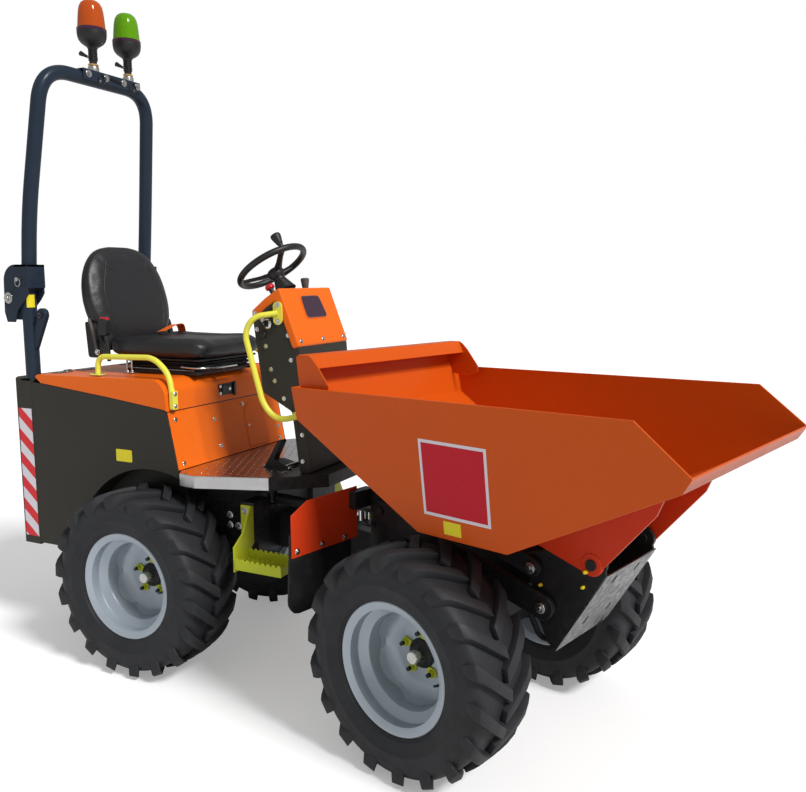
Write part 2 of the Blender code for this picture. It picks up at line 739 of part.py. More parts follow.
def side_panels():
    """Make both dark side panels, each with its wheel arch and arch lining."""
    foot_angle = math.degrees(math.asin((BODY_BASE_Z - AXLE_HEIGHT) / ARCH_RADIUS))
    front_angle = math.degrees(math.acos(PANEL_FRONT_FOOT[0] / ARCH_RADIUS))
    centre = (0.0, AXLE_HEIGHT)
    opening = arc(centre, ARCH_RADIUS, 180.0 - foot_angle, front_angle, 14)
    skin = [(PANEL_REAR_X, BODY_BASE_Z)] + opening
    skin += [PANEL_FRONT_FOOT, PANEL_FRONT_TOP, SEAM_FRONT, SEAM_MIDDLE, SEAM_REAR]
    behind = arc(centre, ARCH_RADIUS + SHEET, 180.0 - foot_angle, front_angle, 14)
    lining = opening + list(reversed(behind))
    wall_front_x = PANEL_FRONT_FOOT[0] - 0.04
    wall = [(-0.50, 0.46), (-0.50, 0.90), (wall_front_x, 0.90), (wall_front_x, 0.46)]
    for name, side in (("right", -1.0), ("left", 1.0)):
        outer = sorted((side * (BODY_HALF_WIDTH - SHEET), side * BODY_HALF_WIDTH))
        band = sorted((side * ARCH_INNER_Y, side * (BODY_HALF_WIDTH - SHEET / 2.0)))
        inner = sorted((side * (ARCH_INNER_Y - SHEET), side * (ARCH_INNER_Y + 0.002)))
        pieces = [plate(skin, *outer), plate(lining, *band), plate(wall, *inner)]
        finish(fused(pieces), f"side_panel_{name}", REAR, "dark_panel")


def rear_weight():
    """Make the rear end plate that wraps round both corners and carries the roll bar."""
    half = BODY_HALF_WIDTH
    wall = WEIGHT_WALL
    corner_x = -0.70
    front_x = PANEL_REAR_X - SEAT_GAP
    top_front_x = HOOD_TOP_REAR[0] - 0.012
    outline = [(WEIGHT_REAR_X, -0.30), (corner_x, -half), (front_x, -half)]
    hollow = [(WEIGHT_REAR_X + wall, -0.29), (corner_x + wall / 2, -half + wall), (0.0, -half + wall)]
    shell = cut(
        plate(mirrored_outline(outline), 0.40, WEIGHT_TOP_Z, "XY"),
        [plate(mirrored_outline(hollow), 0.39, WEIGHT_TOP_Z - wall, "XY")],
    )
    pieces = [shell]
    pieces.append(box((-0.72, -half, WEIGHT_TOP_Z - 0.012), (top_front_x, half, WEIGHT_TOP_Z)))
    for low, high in HINGE_KNUCKLES:
        knuckle = link_outline((top_front_x - 0.004, WEIGHT_TOP_Z - 0.006), HOOD_HINGE, 0.006, 0.011)
        pieces.append(plate(knuckle, low, high))
    hinge_bore = pin_across(HOOD_HINGE, -half, half, HOOD_HINGE_RADIUS + PIN_PLAY)
    finish(cut(fused(pieces), [hinge_bore]), "rear_weight", REAR, "dark_panel")


def front_panel():
    """Make the sloping panel below the bonnet's front edge."""
    gap = 0.0005
    foot = PANEL_FRONT_FOOT
    top = PANEL_FRONT_TOP
    outline = [(foot[0] - SHEET, foot[1]), foot, top, (top[0] - SHEET, top[1])]
    half = BODY_HALF_WIDTH - SHEET - gap
    finish(plate(outline, -half, half), "front_panel", REAR, "orange_paint")


def floor():
    """Make the tread plate floor and the dark steel piece in front of it, as shallow trays."""
    split_y = 0.308
    tread = [(0.1435, -0.355), (0.17, -0.393), (0.248, -0.402), (FLOOR_SPLIT_X, -split_y)]
    nose = [(FLOOR_SPLIT_X + 0.0005, -split_y), (0.706, -0.16)]
    low = FLOOR_TOP_Z - FLOOR_DEPTH
    for name, half_outline, finish_name in (
        ("floor_tread", tread, "bright_aluminium"),
        ("floor_nose", nose, "black_steel"),
    ):
        outline = mirrored_outline(half_outline)
        hollow = inset(outline, SHEET)
        tray = cut(
            plate(outline, low, FLOOR_TOP_Z, "XY"),
            [plate(hollow, low - 0.01, FLOOR_TOP_Z - SHEET, "XY")],
        )
        finish(tray, name, REAR, finish_name)


def console():
    """Make the console's dark column, its orange cover and the small controls on it."""
    half = CONSOLE_HALF_WIDTH
    hollow = inset(CONSOLE_OUTLINE, SHEET)
    hollow[0] = (hollow[0][0], 0.80)
    hollow[1] = (hollow[1][0], 0.80)
    column = cut(
        plate(CONSOLE_OUTLINE, -half, half),
        [plate(hollow, -half + SHEET, half - SHEET)],
    )
    tilt = Vector((-math.sin(WHEEL_TILT), 0.0, math.cos(WHEEL_TILT)))
    hub = Vector(on_side(WHEEL_HUB, 0.0))
    mast = cylinder(hub - tilt * 0.16, hub - tilt * (WHEEL_HUB_DEPTH + SEAT_GAP), 0.024)
    finish(fused([column, mast]), "console_column", REAR, "dark_panel")

    band = [(0.374, 1.434), (0.440, 1.486), (0.510, 1.529), (0.599, 1.302)]
    band += [(0.566, 1.292), (0.494, 1.478), (0.444, 1.448), (0.392, 1.404)]
    cover = cut(
        plate(band, -half - SHEET, half + SHEET),
        [
            plate(inset(CONSOLE_OUTLINE, -0.0005), -half - 0.0005, half + 0.0005),
            cylinder(hub - tilt * 0.20, hub, 0.030),
        ],
    )
    lever_foot = Vector((0.478, 0.10, 1.5078))
    lever_top = lever_foot + Vector((-0.035, 0.0, 0.065))
    lever = [cylinder(lever_foot, lever_top, 0.006, segments=10)]
    knob_foot = lever_foot + (lever_top - lever_foot) * 0.4
    lever.append(cylinder(knob_foot, lever_top, 0.012, segments=12))
    stop_foot = Vector((0.412, -0.125, 1.4628))
    stop_top = stop_foot + Vector((-0.030, 0.0, 0.046))
    stop = [cylinder(stop_foot, stop_top, 0.010, segments=12)]
    stop.append(cylinder(stop_foot + (stop_top - stop_foot) * 0.65, stop_top, 0.019))
    finish(fused([cover, *lever, *stop]), "console_cover", REAR, "orange_paint")


def console_handles():
    """Make the bent grab handle on each side of the console, with its flange."""
    for name, side in (("right", -1.0), ("left", 1.0)):
        foot_y = CONSOLE_HALF_WIDTH + 0.0305
        corners = [
            (0.505, side * (foot_y - 0.015), 1.430),
            (0.425, side * 0.235, 1.418),
            (0.385, side * 0.240, 1.355),
            (0.462, side * 0.235, 1.075),
            (0.520, side * 0.225, 1.018),
            (0.600, side * (foot_y - 0.012), 1.036),
        ]
        bar = tube(rounded_path(corners, 0.04), 0.0135)
        flange = link_outline((0.505, 1.405), (0.505, 1.455), 0.020, 0.020)
        pad_faces = (side * (CONSOLE_HALF_WIDTH + 0.0045), side * (CONSOLE_HALF_WIDTH + 0.0105))
        foot_faces = (side * (CONSOLE_HALF_WIDTH + SEAT_GAP), side * 0.200)
        foot = box((0.575, min(foot_faces), 1.022), (0.605, max(foot_faces), 1.050))
        pad = plate(flange, min(pad_faces), max(pad_faces))
        finish(fused([bar, pad, foot]), f"console_handle_{name}", REAR, "yellow_steel")


def pedal():
    """Make the foot pedal on the floor in front of the operator."""
    foot_z = FLOOR_TOP_Z + SEAT_GAP
    outline = [(0.40, foot_z), (0.52, foot_z), (0.52, 0.822)]
    outline += [(0.45, 0.822), (0.428, 0.925), (0.416, 0.925)]
    finish(plate(outline, -0.155, -0.065), "pedal", REAR, "black_steel")


def serrated(low_x, high_x, low_z, high_z):
    """Return the side outline of a strip whose top edge is cut into teeth."""
    pitch = (high_x - low_x) / STEP_TEETH
    outline = [(low_x, low_z), (high_x, low_z)]
    for tooth in range(STEP_TEETH):
        outline.append((high_x - tooth * pitch, high_z - STEP_TOOTH_DEPTH))
        outline.append((high_x - (tooth + 0.5) * pitch, high_z))
    outline.append((low_x, high_z - STEP_TOOTH_DEPTH))
    return outline


def steps():
    """Make the mounting step below the floor on each side."""
    for name, side in (("right", -1.0), ("left", 1.0)):
        inner = 0.3005
        pad = box(
            (0.392, min(side * inner, side * (inner + 0.005)), 0.545),
            (0.448, max(side * inner, side * (inner + 0.005)), 0.69),
        )
        web_outline = [(side * inner, 0.545), (side * inner, 0.69), (side * (inner + 0.02), 0.69)]
        web_outline += [(side * 0.37, 0.60), (side * 0.425, 0.56)]
        web_outline += [(side * 0.425, 0.463), (side * 0.38, 0.463)]
        web = plate(web_outline, 0.444, 0.450, "YZ")
        front = plate(serrated(0.446, 0.660, 0.463, 0.519), *sorted((side * 0.42, side * 0.425)))
        back = plate(serrated(0.446, 0.660, 0.475, 0.534), *sorted((side * 0.335, side * 0.34)))
        sole = box(
            (0.447, min(side * 0.3355, side * 0.4245), 0.4755),
            (0.659, max(side * 0.3355, side * 0.4245), 0.4805),
        )
        end = box(
            (0.6545, min(side * 0.3355, side * 0.4245), 0.4635),
            (0.6595, max(side * 0.3355, side * 0.4245), 0.5225),
        )
        finish(fused([pad, web, front, back, sole, end]), f"step_{name}", REAR, "lime_steel")


def roll_bar_posts():
    """Make the fixed lower post on each side, with its hinge lug and stowing catch."""
    for name, side in (("right", -1.0), ("left", 1.0)):
        y = side * POST_Y
        foot = (POST_X, y, WEIGHT_TOP_Z + SEAT_GAP)
        post = cylinder(foot, (POST_X, y, POST_TOP_Z), BAR_TUBE_RADIUS)
        lug_outline = link_outline((-0.762, 1.405), BAR_FOLD, 0.018, 0.022)
        lug = plate(lug_outline, y - 0.026, y + 0.026)
        bridge = box((-0.755, y - 0.026, 1.388), (POST_X, y + 0.026, 1.500))
        catch_outline = link_outline((-0.645, 1.275), (-0.595, 1.410), 0.012, 0.028)
        catch = plate(catch_outline, y - 0.010, y + 0.010)
        fold_bore = pin_across(BAR_FOLD, y - 0.04, y + 0.04, BAR_FOLD_PIN_RADIUS + PIN_PLAY)
        post = cut(fused([post, lug, bridge, catch]), [fold_bore])
        finish(post, f"roll_post_{name}", REAR, "roll_bar_blue")


# Bonnet and seat.

def seam_height(x):
    """Return the height of the seam between side panel and bonnet, behind its middle."""
    share = (x - SEAM_REAR[0]) / (SEAM_MIDDLE[0] - SEAM_REAR[0])
    return SEAM_REAR[1] + (SEAM_MIDDLE[1] - SEAM_REAR[1]) * share


def hood():
    """Make the bonnet as a shell that is open below."""
    wall = 0.005
    half = BODY_HALF_WIDTH
    lift = SEAM_GAP
    side_view = [
        (HOOD_TOP_REAR[0], HOOD_TOP_REAR[1] - 0.012),
        (-0.600, seam_height(-0.600) + lift),
        (SEAM_MIDDLE[0], SEAM_MIDDLE[1] + lift),
        (SEAM_FRONT[0], SEAM_FRONT[1] + lift),
        (PANEL_FRONT_TOP[0], PANEL_FRONT_TOP[1] + lift),
    ]
    nose = arc(HOOD_FRONT_EDGE, HOOD_EDGE_RADIUS, 8.0, 90.0, 6)
    side_view += nose + [(HOOD_TOP_REAR[0] + 0.01, HOOD_TOP_REAR[1])]
    body = plate(side_view, -half, half)
    rounding = body.modifiers.new("long_edges", "BEVEL")
    rounding.limit_method = "ANGLE"
    rounding.angle_limit = math.radians(60.0)
    rounding.width = 0.012
    rounding.segments = 2
    body = evaluated(body)
    inside = inset(side_view, wall)
    inside[1] = (inside[1][0] + 0.01, 1.00)
    inside[2] = (inside[2][0], 1.00)
    inside[3] = (inside[3][0], 1.00)
    inside[4] = (inside[4][0], 1.00)
    cutters = [plate(inside, -half + wall, half - wall)]
    for low, high in HINGE_KNUCKLES:
        reach = 0.018
        cutters.append(box(
            (HOOD_HINGE[0] - reach, low - 0.002, HOOD_HINGE[1] - 2 * reach),
            (HOOD_HINGE[0] + reach, high + 0.002, HOOD_HINGE[1] + reach),
        ))
    shell = cut(body, cutters)
    hinge = pin_across(HOOD_HINGE, -0.25, 0.25, HOOD_HINGE_RADIUS)
    edge_x = HOOD_FRONT_EDGE[0] + HOOD_EDGE_RADIUS
    latch_low = (edge_x - 0.002, -0.02, PANEL_FRONT_TOP[1] + 0.0165)
    latch = box(latch_low, (edge_x + 0.013, 0.02, HOOD_FRONT_EDGE[1] + 0.024), 0.005, 1)
    finish(fused([shell, hinge, latch]), "bonnet", "bonnet", "orange_paint")


SEAT_BASE_Z = HOOD_FRONT_EDGE[1] + HOOD_EDGE_RADIUS + SEAT_GAP


def seat():
    """Make the seat's suspension box, cushion and back."""
    base = box((-0.30, -0.15, SEAT_BASE_Z), (0.10, 0.15, 1.232), 0.012)
    finish(base, "seat_suspension", "bonnet", "black_plastic")
    cushion_rear_x = -0.37
    cushion = box((cushion_rear_x, -0.235, 1.2325), (0.155, 0.235, 1.325), 0.03, 3)
    finish(cushion, "seat_cushion", "bonnet", "black_vinyl")
    back = lofted(seat_back_rows(cushion_rear_x - SEAT_GAP))
    finish(back, "seat_back", "bonnet", "black_vinyl")


def seat_back_rows(front_x):
    """Return the backrest's level sections, from its foot to its rounded top."""
    rows = (
        # height, front, rear, half width
        (1.245, front_x, -0.445, 0.200),
        (1.330, front_x, -0.467, 0.206),
        (1.385, front_x - 0.008, -0.482, 0.234),
        (1.460, -0.397, -0.496, 0.246),
        (1.550, -0.420, -0.508, 0.236),
        (1.620, -0.440, -0.516, 0.208),
        (1.670, -0.456, -0.520, 0.166),
        (1.698, -0.470, -0.518, 0.118),
        (1.712, -0.486, -0.506, 0.060),
    )
    points_round = 16
    squareness = 0.6
    sections = []
    for height, front, rear, half_width in rows:
        section = []
        for i in range(points_round):
            angle = 2.0 * math.pi * (i + 0.5) / points_round
            reach_x = math.copysign(abs(math.cos(angle)) ** squareness, math.cos(angle))
            reach_y = math.copysign(abs(math.sin(angle)) ** squareness, math.sin(angle))
            x = (front + rear) / 2.0 + (front - rear) / 2.0 * reach_x
            section.append((x, half_width * reach_y, height))
        sections.append(section)
    return sections


def bonnet_handles():
    """Make the low rail on each side of the seat, bolted to the bonnet."""
    for name, side in (("right", -1.0), ("left", 1.0)):
        y = side * (BODY_HALF_WIDTH - 0.041)
        strap_y = side * (BODY_HALF_WIDTH - 0.026)
        corners = [
            (-0.305, y, SEAT_BASE_Z - 0.004),
            (-0.300, y, 1.243),
            (0.000, y, 1.250),
            (0.085, side * (BODY_HALF_WIDTH - 0.031), 1.190),
            (0.112, strap_y, 1.075),
        ]
        bar = tube(rounded_path(corners, 0.04), 0.0115)
        foot = box((-0.335, y - 0.022, 1.1615), (-0.275, y + 0.022, 1.1675))
        strap = box((0.0985, strap_y - 0.014, 1.050), (0.119, strap_y + 0.014, 1.125))
        finish(fused([bar, foot, strap]), f"bonnet_handle_{name}", "bonnet", "yellow_steel")


# Roll bar.

def roll_bar():
    """Make the folding hoop with the forked hinge boxes that straddle the posts."""
    foot = Vector((POST_X + 0.006, POST_Y, BAR_FOOT_Z))
    top = Vector((BAR_TOP[0], 0.299, BAR_TOP[1]))
    corners = [
        (foot.x, -foot.y, foot.z),
        (foot.x + 0.027, -foot.y, 1.841),
        (top.x, -top.y, top.z),
        (top.x, top.y, top.z),
        (foot.x + 0.027, foot.y, 1.841),
        (foot.x, foot.y, foot.z),
    ]
    pieces = [tube(rounded_path(corners, BAR_CORNER_RADIUS, 5), BAR_TUBE_RADIUS, 2)]
    cheek = [(-0.626, 1.500), (-0.626, 1.622), (-0.690, 1.622)]
    cheek += arc((-0.700, 1.552), 0.070, 90.0, 180.0, 5)
    cheek += [(-0.775, 1.42), (-0.762, 1.378), (-0.715, 1.378), (-0.695, 1.43), (-0.650, 1.47)]
    for side in (-1.0, 1.0):
        for offset in (-0.0395, 0.0395):
            y = side * POST_Y + offset
            pieces.append(plate(cheek, y - 0.0035, y + 0.0035))
        y = side * POST_Y
        pieces.append(pin_across(BAR_FOLD, y - 0.049, y + 0.049, BAR_FOLD_PIN_RADIUS))
        web_front = -0.626
        pieces.append(box((web_front - 0.001, y - 0.043, 1.523), (web_front + 0.006, y + 0.043, 1.622)))
        pieces.append(box((-0.715, y - 0.043, 1.600), (web_front + 0.003, y + 0.043, 1.610)))
    finish(fused(pieces), "roll_bar", "roll_bar", "roll_bar_blue")


def beacons():
    """Make the two beacons, each with its spigot and foot on the roll bar's top."""
    finishes = ("amber_lens", "green_lens")
    names = ("beacon_amber", "beacon_green")
    for name, finish_name, y in zip(names, finishes, BEACON_Y):
        profile = (
            (0.0, 0.315),
            (0.020, 0.312),
            (0.042, 0.290),
            (0.050, 0.240),
            (0.055, 0.175),
            (0.058, 0.155),
            (0.050, 0.150),
            (0.046, 0.120),
            (0.022, 0.105),
            (0.014, 0.095),
            (0.014, 0.030),
            (0.024, 0.025),
            (0.024, SEAT_GAP),
            (0.0, SEAT_GAP),
        )
        place = (BAR_TOP[0], y, BAR_TOP[1] + BAR_TUBE_RADIUS)
        finish(turned(profile, place, (0.0, 0.0, 1.0)), name, "roll_bar", finish_name)


def steering_wheel():
    """Make the steering wheel with three spokes, hub and spinner knob."""
    tilt = Matrix.Rotation(-WHEEL_TILT, 4, "Y")
    hub = Matrix.Translation(on_side(WHEEL_HUB, 0.0)) @ tilt
    segments = 28
    ring = []
    for i in range(8):
        angle = 2.0 * math.pi * i / 8
        ring.append((
            WHEEL_RING_RADIUS + WHEEL_GRIP_RADIUS * math.sin(angle),
            WHEEL_GRIP_RADIUS * math.cos(angle),
        ))
    pieces = [turned(ring, (0.0, 0.0, 0.0), (0.0, 0.0, 1.0), segments=segments, closed=True)]
    pieces.append(cylinder((0.0, 0.0, -WHEEL_HUB_DEPTH), (0.0, 0.0, -0.012), 0.034))
    for degrees in (-90.0, 30.0, 150.0):
        angle = math.radians(degrees)
        end = (WHEEL_RING_RADIUS * math.cos(angle), WHEEL_RING_RADIUS * math.sin(angle), 0.0)
        pieces.append(tube([(0.0, 0.0, -0.030), end], 0.010))
    knob_foot = Vector((0.0, WHEEL_RING_RADIUS, 0.006))
    pieces.append(cylinder(knob_foot, knob_foot + Vector((0.0, 0.0, 0.025)), 0.010, segments=12))
    knob = (knob_foot + Vector((0.0, 0.0, 0.02)), knob_foot + Vector((0.0, 0.0, 0.062)))
    pieces.append(cylinder(*knob, 0.014, 0.022, 14))
    wheel = fused(pieces)
    wheel.data.transform(hub)
    finish(wheel, "steering_wheel", "steering", "black_plastic")


# Front chassis.

def front_frame():
    """Make the front half's pivot boss, neck, side plates, cross members and brackets."""
    neck_low = 0.430
    neck_high = 0.590
    side_plate = [(0.985, 0.40), (1.13, 0.25), (1.29, 0.25), (1.33, 0.4303), (1.56, 0.4303)]
    side_plate += [(1.56, 0.52), (1.50, 0.600), (1.16, 0.625)]
    side_plate += arc(LIFT_PIN, 0.050, 0.0, 40.0, 2)
    side_plate += arc(LEVEL_PIN, 0.045, 40.0, 140.0, 5)
    side_plate += [(0.985, 0.80)]
    boss = cylinder((PIVOT_X, 0.0, 0.4255), (PIVOT_X, 0.0, 0.5945), 0.048)
    neck = box((PIVOT_X + 0.02, -0.045, neck_low), (0.78, 0.045, neck_high))
    beam = box((0.76, -0.075, neck_low), (1.00, 0.075, neck_high))
    pieces = [boss, neck, beam]
    pieces.append(box((0.985, -0.166, 0.42), (0.997, 0.166, 0.72)))
    pieces.append(box((1.545, -0.160, 0.44), (1.555, 0.160, 0.52)))
    for side in (-1.0, 1.0):
        y = side * PLATE_Y
        pieces.append(plate(side_plate, y - 0.006, y + 0.006))
        outer = side * (ARM_Y + 0.018)
        for pin in (LIFT_PIN, LEVEL_PIN):
            pieces.append(pin_across(pin, y, outer, PIN_RADIUS))
        arm = (side * 0.155, side * 0.250)
        pieces.append(box((GUARD_X + SEAT_GAP, min(arm), 0.735), (0.990, max(arm), 0.800)))
    pieces.append(pin_across(LIFT_RAM_BASE, -PLATE_Y, PLATE_Y, RAM_PIN_RADIUS))
    clevis = link_outline((0.99, STEER_RAM_EYE[1]), STEER_RAM_EYE, 0.022, 0.022)
    for low in (STEER_RAM_Z - 0.034, STEER_RAM_Z + 0.022):
        pieces.append(plate(clevis, low, low + 0.012, "XY"))
    bore = cylinder((PIVOT_X, 0.0, 0.40), (PIVOT_X, 0.0, 0.62), PIVOT_PIN_RADIUS + PIN_PLAY)
    finish(cut(fused(pieces), [bore]), "front_frame", FRONT, "black_steel")


def mudguards():
    """Make the plate behind each front wheel with the rubber flap that hangs from it."""
    for name, side in (("right", -1.0), ("left", 1.0)):
        guard = [(side * 0.210, 0.660), (side * 0.526, 0.656), (side * 0.526, 0.768)]
        guard += [(side * 0.453, 0.807), (side * 0.210, 0.812)]
        flap = [(side * 0.240, 0.70), (side * 0.240, 0.415), (side * 0.512, 0.415)]
        flap += [(side * 0.542, 0.455), (side * 0.530, 0.70)]
        pieces = [plate(guard, GUARD_X - SHEET, GUARD_X, "YZ")]
        pieces.append(plate(flap, GUARD_X - 0.0005, GUARD_X + 0.007, "YZ"))
        finish(fused(pieces), f"mudguard_{name}", FRONT, "orange_paint")


# Lifting gear.

def pin_bore(pin, low, high):
    """Return the cutter for a pin's bore through a plate between two distances across."""
    margin = 0.01
    return pin_across(pin, low - margin, high + margin, PIN_RADIUS + PIN_PLAY)


def pair_of_links(start, end, start_radius, end_radius, thickness):
    """Return two bored links, one on each side, between two pins."""
    links = []
    for side in (-1.0, 1.0):
        low = side * ARM_Y - thickness / 2.0
        high = side * ARM_Y + thickness / 2.0
        link = plate(link_outline(start, end, start_radius, end_radius), low, high)
        bores = [pin_bore(pin, low, high) for pin in (start, end)]
        links.append(cut(link, bores))
    return links


def along(start, end, distance):
    """Return the point at a distance from the start of a line."""
    line = Vector(end) - Vector(start)
    return tuple(Vector(start) + line.normalized() * distance)


def lift_arms():
    """Make the pair of lower arms, their cross tube and the lugs for the lifting ram."""
    pieces = pair_of_links(LIFT_PIN, NOSE_LOW_PIN, 0.040, 0.040, 0.020)
    tube_place = along(LIFT_PIN, NOSE_LOW_PIN, 0.26)
    pieces.append(pin_across(tube_place, -ARM_Y, ARM_Y, 0.022))
    for y in (-0.033, 0.033):
        lug = link_outline(LIFT_RAM_EYE, tube_place, 0.024, 0.026)
        pieces.append(plate(lug, y - 0.005, y + 0.005))
    finish(fused(pieces), "lift_arms", "lift_arms", "black_steel")


def level_links():
    """Make the pair of upper links that keep the nose level, with their cross tube."""
    pieces = pair_of_links(LEVEL_PIN, NOSE_HIGH_PIN, 0.030, 0.030, 0.014)
    tube_place = along(LEVEL_PIN, NOSE_HIGH_PIN, 0.16)
    pieces.append(pin_across(tube_place, -ARM_Y, ARM_Y, 0.018))
    finish(fused(pieces), "level_links", "level_links", "black_steel")


def nose():
    """Make the nose frame at the arms' end and the galvanised guard in front of it."""
    edge = (Vector(NOSE_EDGE[0]), Vector(NOSE_EDGE[1]))
    outline = [(1.745, 0.43), tuple(edge[0]), tuple(edge[1])]
    outline += arc(SKIP_PIN, 0.040, -30.0, 110.0, 5)
    outline += [(1.80, 0.735), (1.72, 0.722), (1.665, 0.700), (1.655, 0.650), (1.69, 0.600)]
    outline += [(1.690, 0.53), (1.72, 0.49)]
    pieces = []
    for side in (-1.0, 1.0):
        y = side * PLATE_Y
        outer = side * (ARM_Y + 0.018)
        low = y - 0.006
        high = y + 0.006
        pieces.append(cut(plate(outline, low, high), [pin_bore(SKIP_PIN, low, high)]))
        for pin in (NOSE_LOW_PIN, NOSE_HIGH_PIN):
            pieces.append(pin_across(pin, y, outer, PIN_RADIUS))
    for pin, radius in ((NOSE_LOW_PIN, RAM_PIN_RADIUS), *((bar, 0.016) for bar in NOSE_CROSS_BARS)):
        pieces.append(pin_across(pin, -PLATE_Y, PLATE_Y, radius))
    hose_y = -0.150
    hose_corners = [(1.715, 0.615), (1.672, 0.575), (1.672, 0.500), (1.712, 0.428), (1.764, 0.432)]
    hose_path = rounded_path([on_side(place, hose_y) for place in hose_corners], 0.04, 2)
    pieces.append(tube(hose_path, 0.009, 1))
    finish(fused(pieces), "nose", "nose", "black_steel")

    along_edge = (edge[1] - edge[0]).normalized()
    outward = Vector((along_edge.y, -along_edge.x))
    foot = edge[0] - along_edge * 0.003 + outward * SEAT_GAP
    head = edge[1] + along_edge * 0.004 + outward * SEAT_GAP
    guard = [tuple(foot), tuple(foot + outward * SHEET), tuple(head + outward * SHEET), tuple(head)]
    slots = []
    for share in GUARD_SLOT_SHARES:
        middle = foot + (head - foot) * share
        reach = along_edge * (GUARD_SLOT_HEIGHT / 2.0)
        depth = outward * 0.02
        corners = (-reach - depth, -reach + depth, reach + depth, reach - depth)
        outline = [tuple(middle + corner) for corner in corners]
        for y in GUARD_SLOT_Y:
            slots.append(plate(outline, y - GUARD_SLOT_HALF_WIDTH, y + GUARD_SLOT_HALF_WIDTH))
    finish(cut(plate(guard, -0.166, 0.166), slots), "nose_guard", "nose", "galvanised")


def skip_half_width(z):
    """Return the skip's half width at a height: constant above the fold, then tapering."""
    fold = SKIP_REAR_FOLD[1]
    floor_z = SKIP_FLOOR_REAR[1]
    share = min(max((z - floor_z) / (fold - floor_z), 0.0), 1.0)
    return SKIP_FLOOR_HALF_WIDTH + (SKIP_HALF_WIDTH - SKIP_FLOOR_HALF_WIDTH) * share


def skip_skin():
    """Return the skip's sheet as an open surface given thickness inwards."""
    fold_front = (SKIP_CREASE_FRONT_X, SKIP_REAR_FOLD[1])
    profile = [
        SKIP_REAR_TOP, SKIP_REAR_FOLD, SKIP_FLOOR_REAR, SKIP_FLOOR_FRONT, SKIP_LIP_FOLD, SKIP_LIP,
    ]
    shape = bmesh.new()
    rows = {}
    for side in (-1.0, 1.0):
        rows[side] = [shape.verts.new((x, side * skip_half_width(z), z)) for x, z in profile]
    for i in range(len(profile) - 1):
        shape.faces.new((rows[-1.0][i], rows[-1.0][i + 1], rows[1.0][i + 1], rows[1.0][i]))
    for side in (-1.0, 1.0):
        top_front = shape.verts.new((SKIP_FRONT_TOP[0], side * SKIP_HALF_WIDTH, SKIP_FRONT_TOP[1]))
        crease = shape.verts.new((fold_front[0], side * SKIP_HALF_WIDTH, fold_front[1]))
        row = rows[side]
        upper = [row[0], row[1], crease, row[5], top_front]
        lower = [row[1], row[2], row[3], row[4], row[5], crease]
        shape.faces.new(upper)
        shape.faces.new(lower)
    bmesh.ops.recalc_face_normals(shape, faces=shape.faces)
    mesh = bpy.data.meshes.new("skip_skin")
    shape.to_mesh(mesh)
    shape.free()
    thing = shape_object("skip_skin", mesh)
    sheet = thing.modifiers.new("sheet", "SOLIDIFY")
    sheet.thickness = SKIP_SHEET
    sheet.offset = -1.0
    sheet.use_even_offset = True
    return evaluated(thing)


def skip():
    """Make the skip with its spill guard, hinge brackets and the tipping ram's lugs."""
    guard_outline = [(0.8975, 1.175), (0.880, 1.294), (0.960, 1.305), (1.042, 1.206), (1.000, 1.150)]
    pieces = [skip_skin(), plate(guard_outline, -0.421, 0.421)]
    slope = (SKIP_LIP_FOLD[1] - SKIP_FLOOR_FRONT[1]) / (SKIP_LIP_FOLD[0] - SKIP_FLOOR_FRONT[0])
    embed = SKIP_SHEET / 2.0
    bracket = [(1.62, SKIP_FLOOR_REAR[1] + embed), (1.68, 0.755), (1.86, 0.700)]
    bracket += arc(SKIP_PIN, 0.036, -100.0, -10.0, 4)
    tip_x = 2.13
    bracket += [(2.10, 0.905), (tip_x, SKIP_FLOOR_FRONT[1] + (tip_x - SKIP_FLOOR_FRONT[0]) * slope + embed)]
    bracket += [(SKIP_FLOOR_FRONT[0], SKIP_FLOOR_FRONT[1] + embed)]
    lug_top = SKIP_FLOOR_REAR[1] + 0.06
    lug = [(1.31, lug_top + 0.03), (1.325, 0.755)] + arc(TIP_RAM_EYE, 0.026, 200.0, 340.0, 4)
    lug += [(1.40, 0.79), (1.41, lug_top - 0.04)]
    for side in (-1.0, 1.0):
        y = side * BRACKET_Y
        pieces.append(plate(bracket, y - 0.006, y + 0.006))
        pin_inner = side * (PLATE_Y - 0.012)
        pin_outer = side * (BRACKET_Y + 0.016)
        pieces.append(pin_across(SKIP_PIN, pin_inner, pin_outer, PIN_RADIUS))
        pieces.append(plate(lug, side * 0.033 - 0.005, side * 0.033 + 0.005))
    finish(fused(pieces), "skip", "skip", "orange_paint")


# Rams.

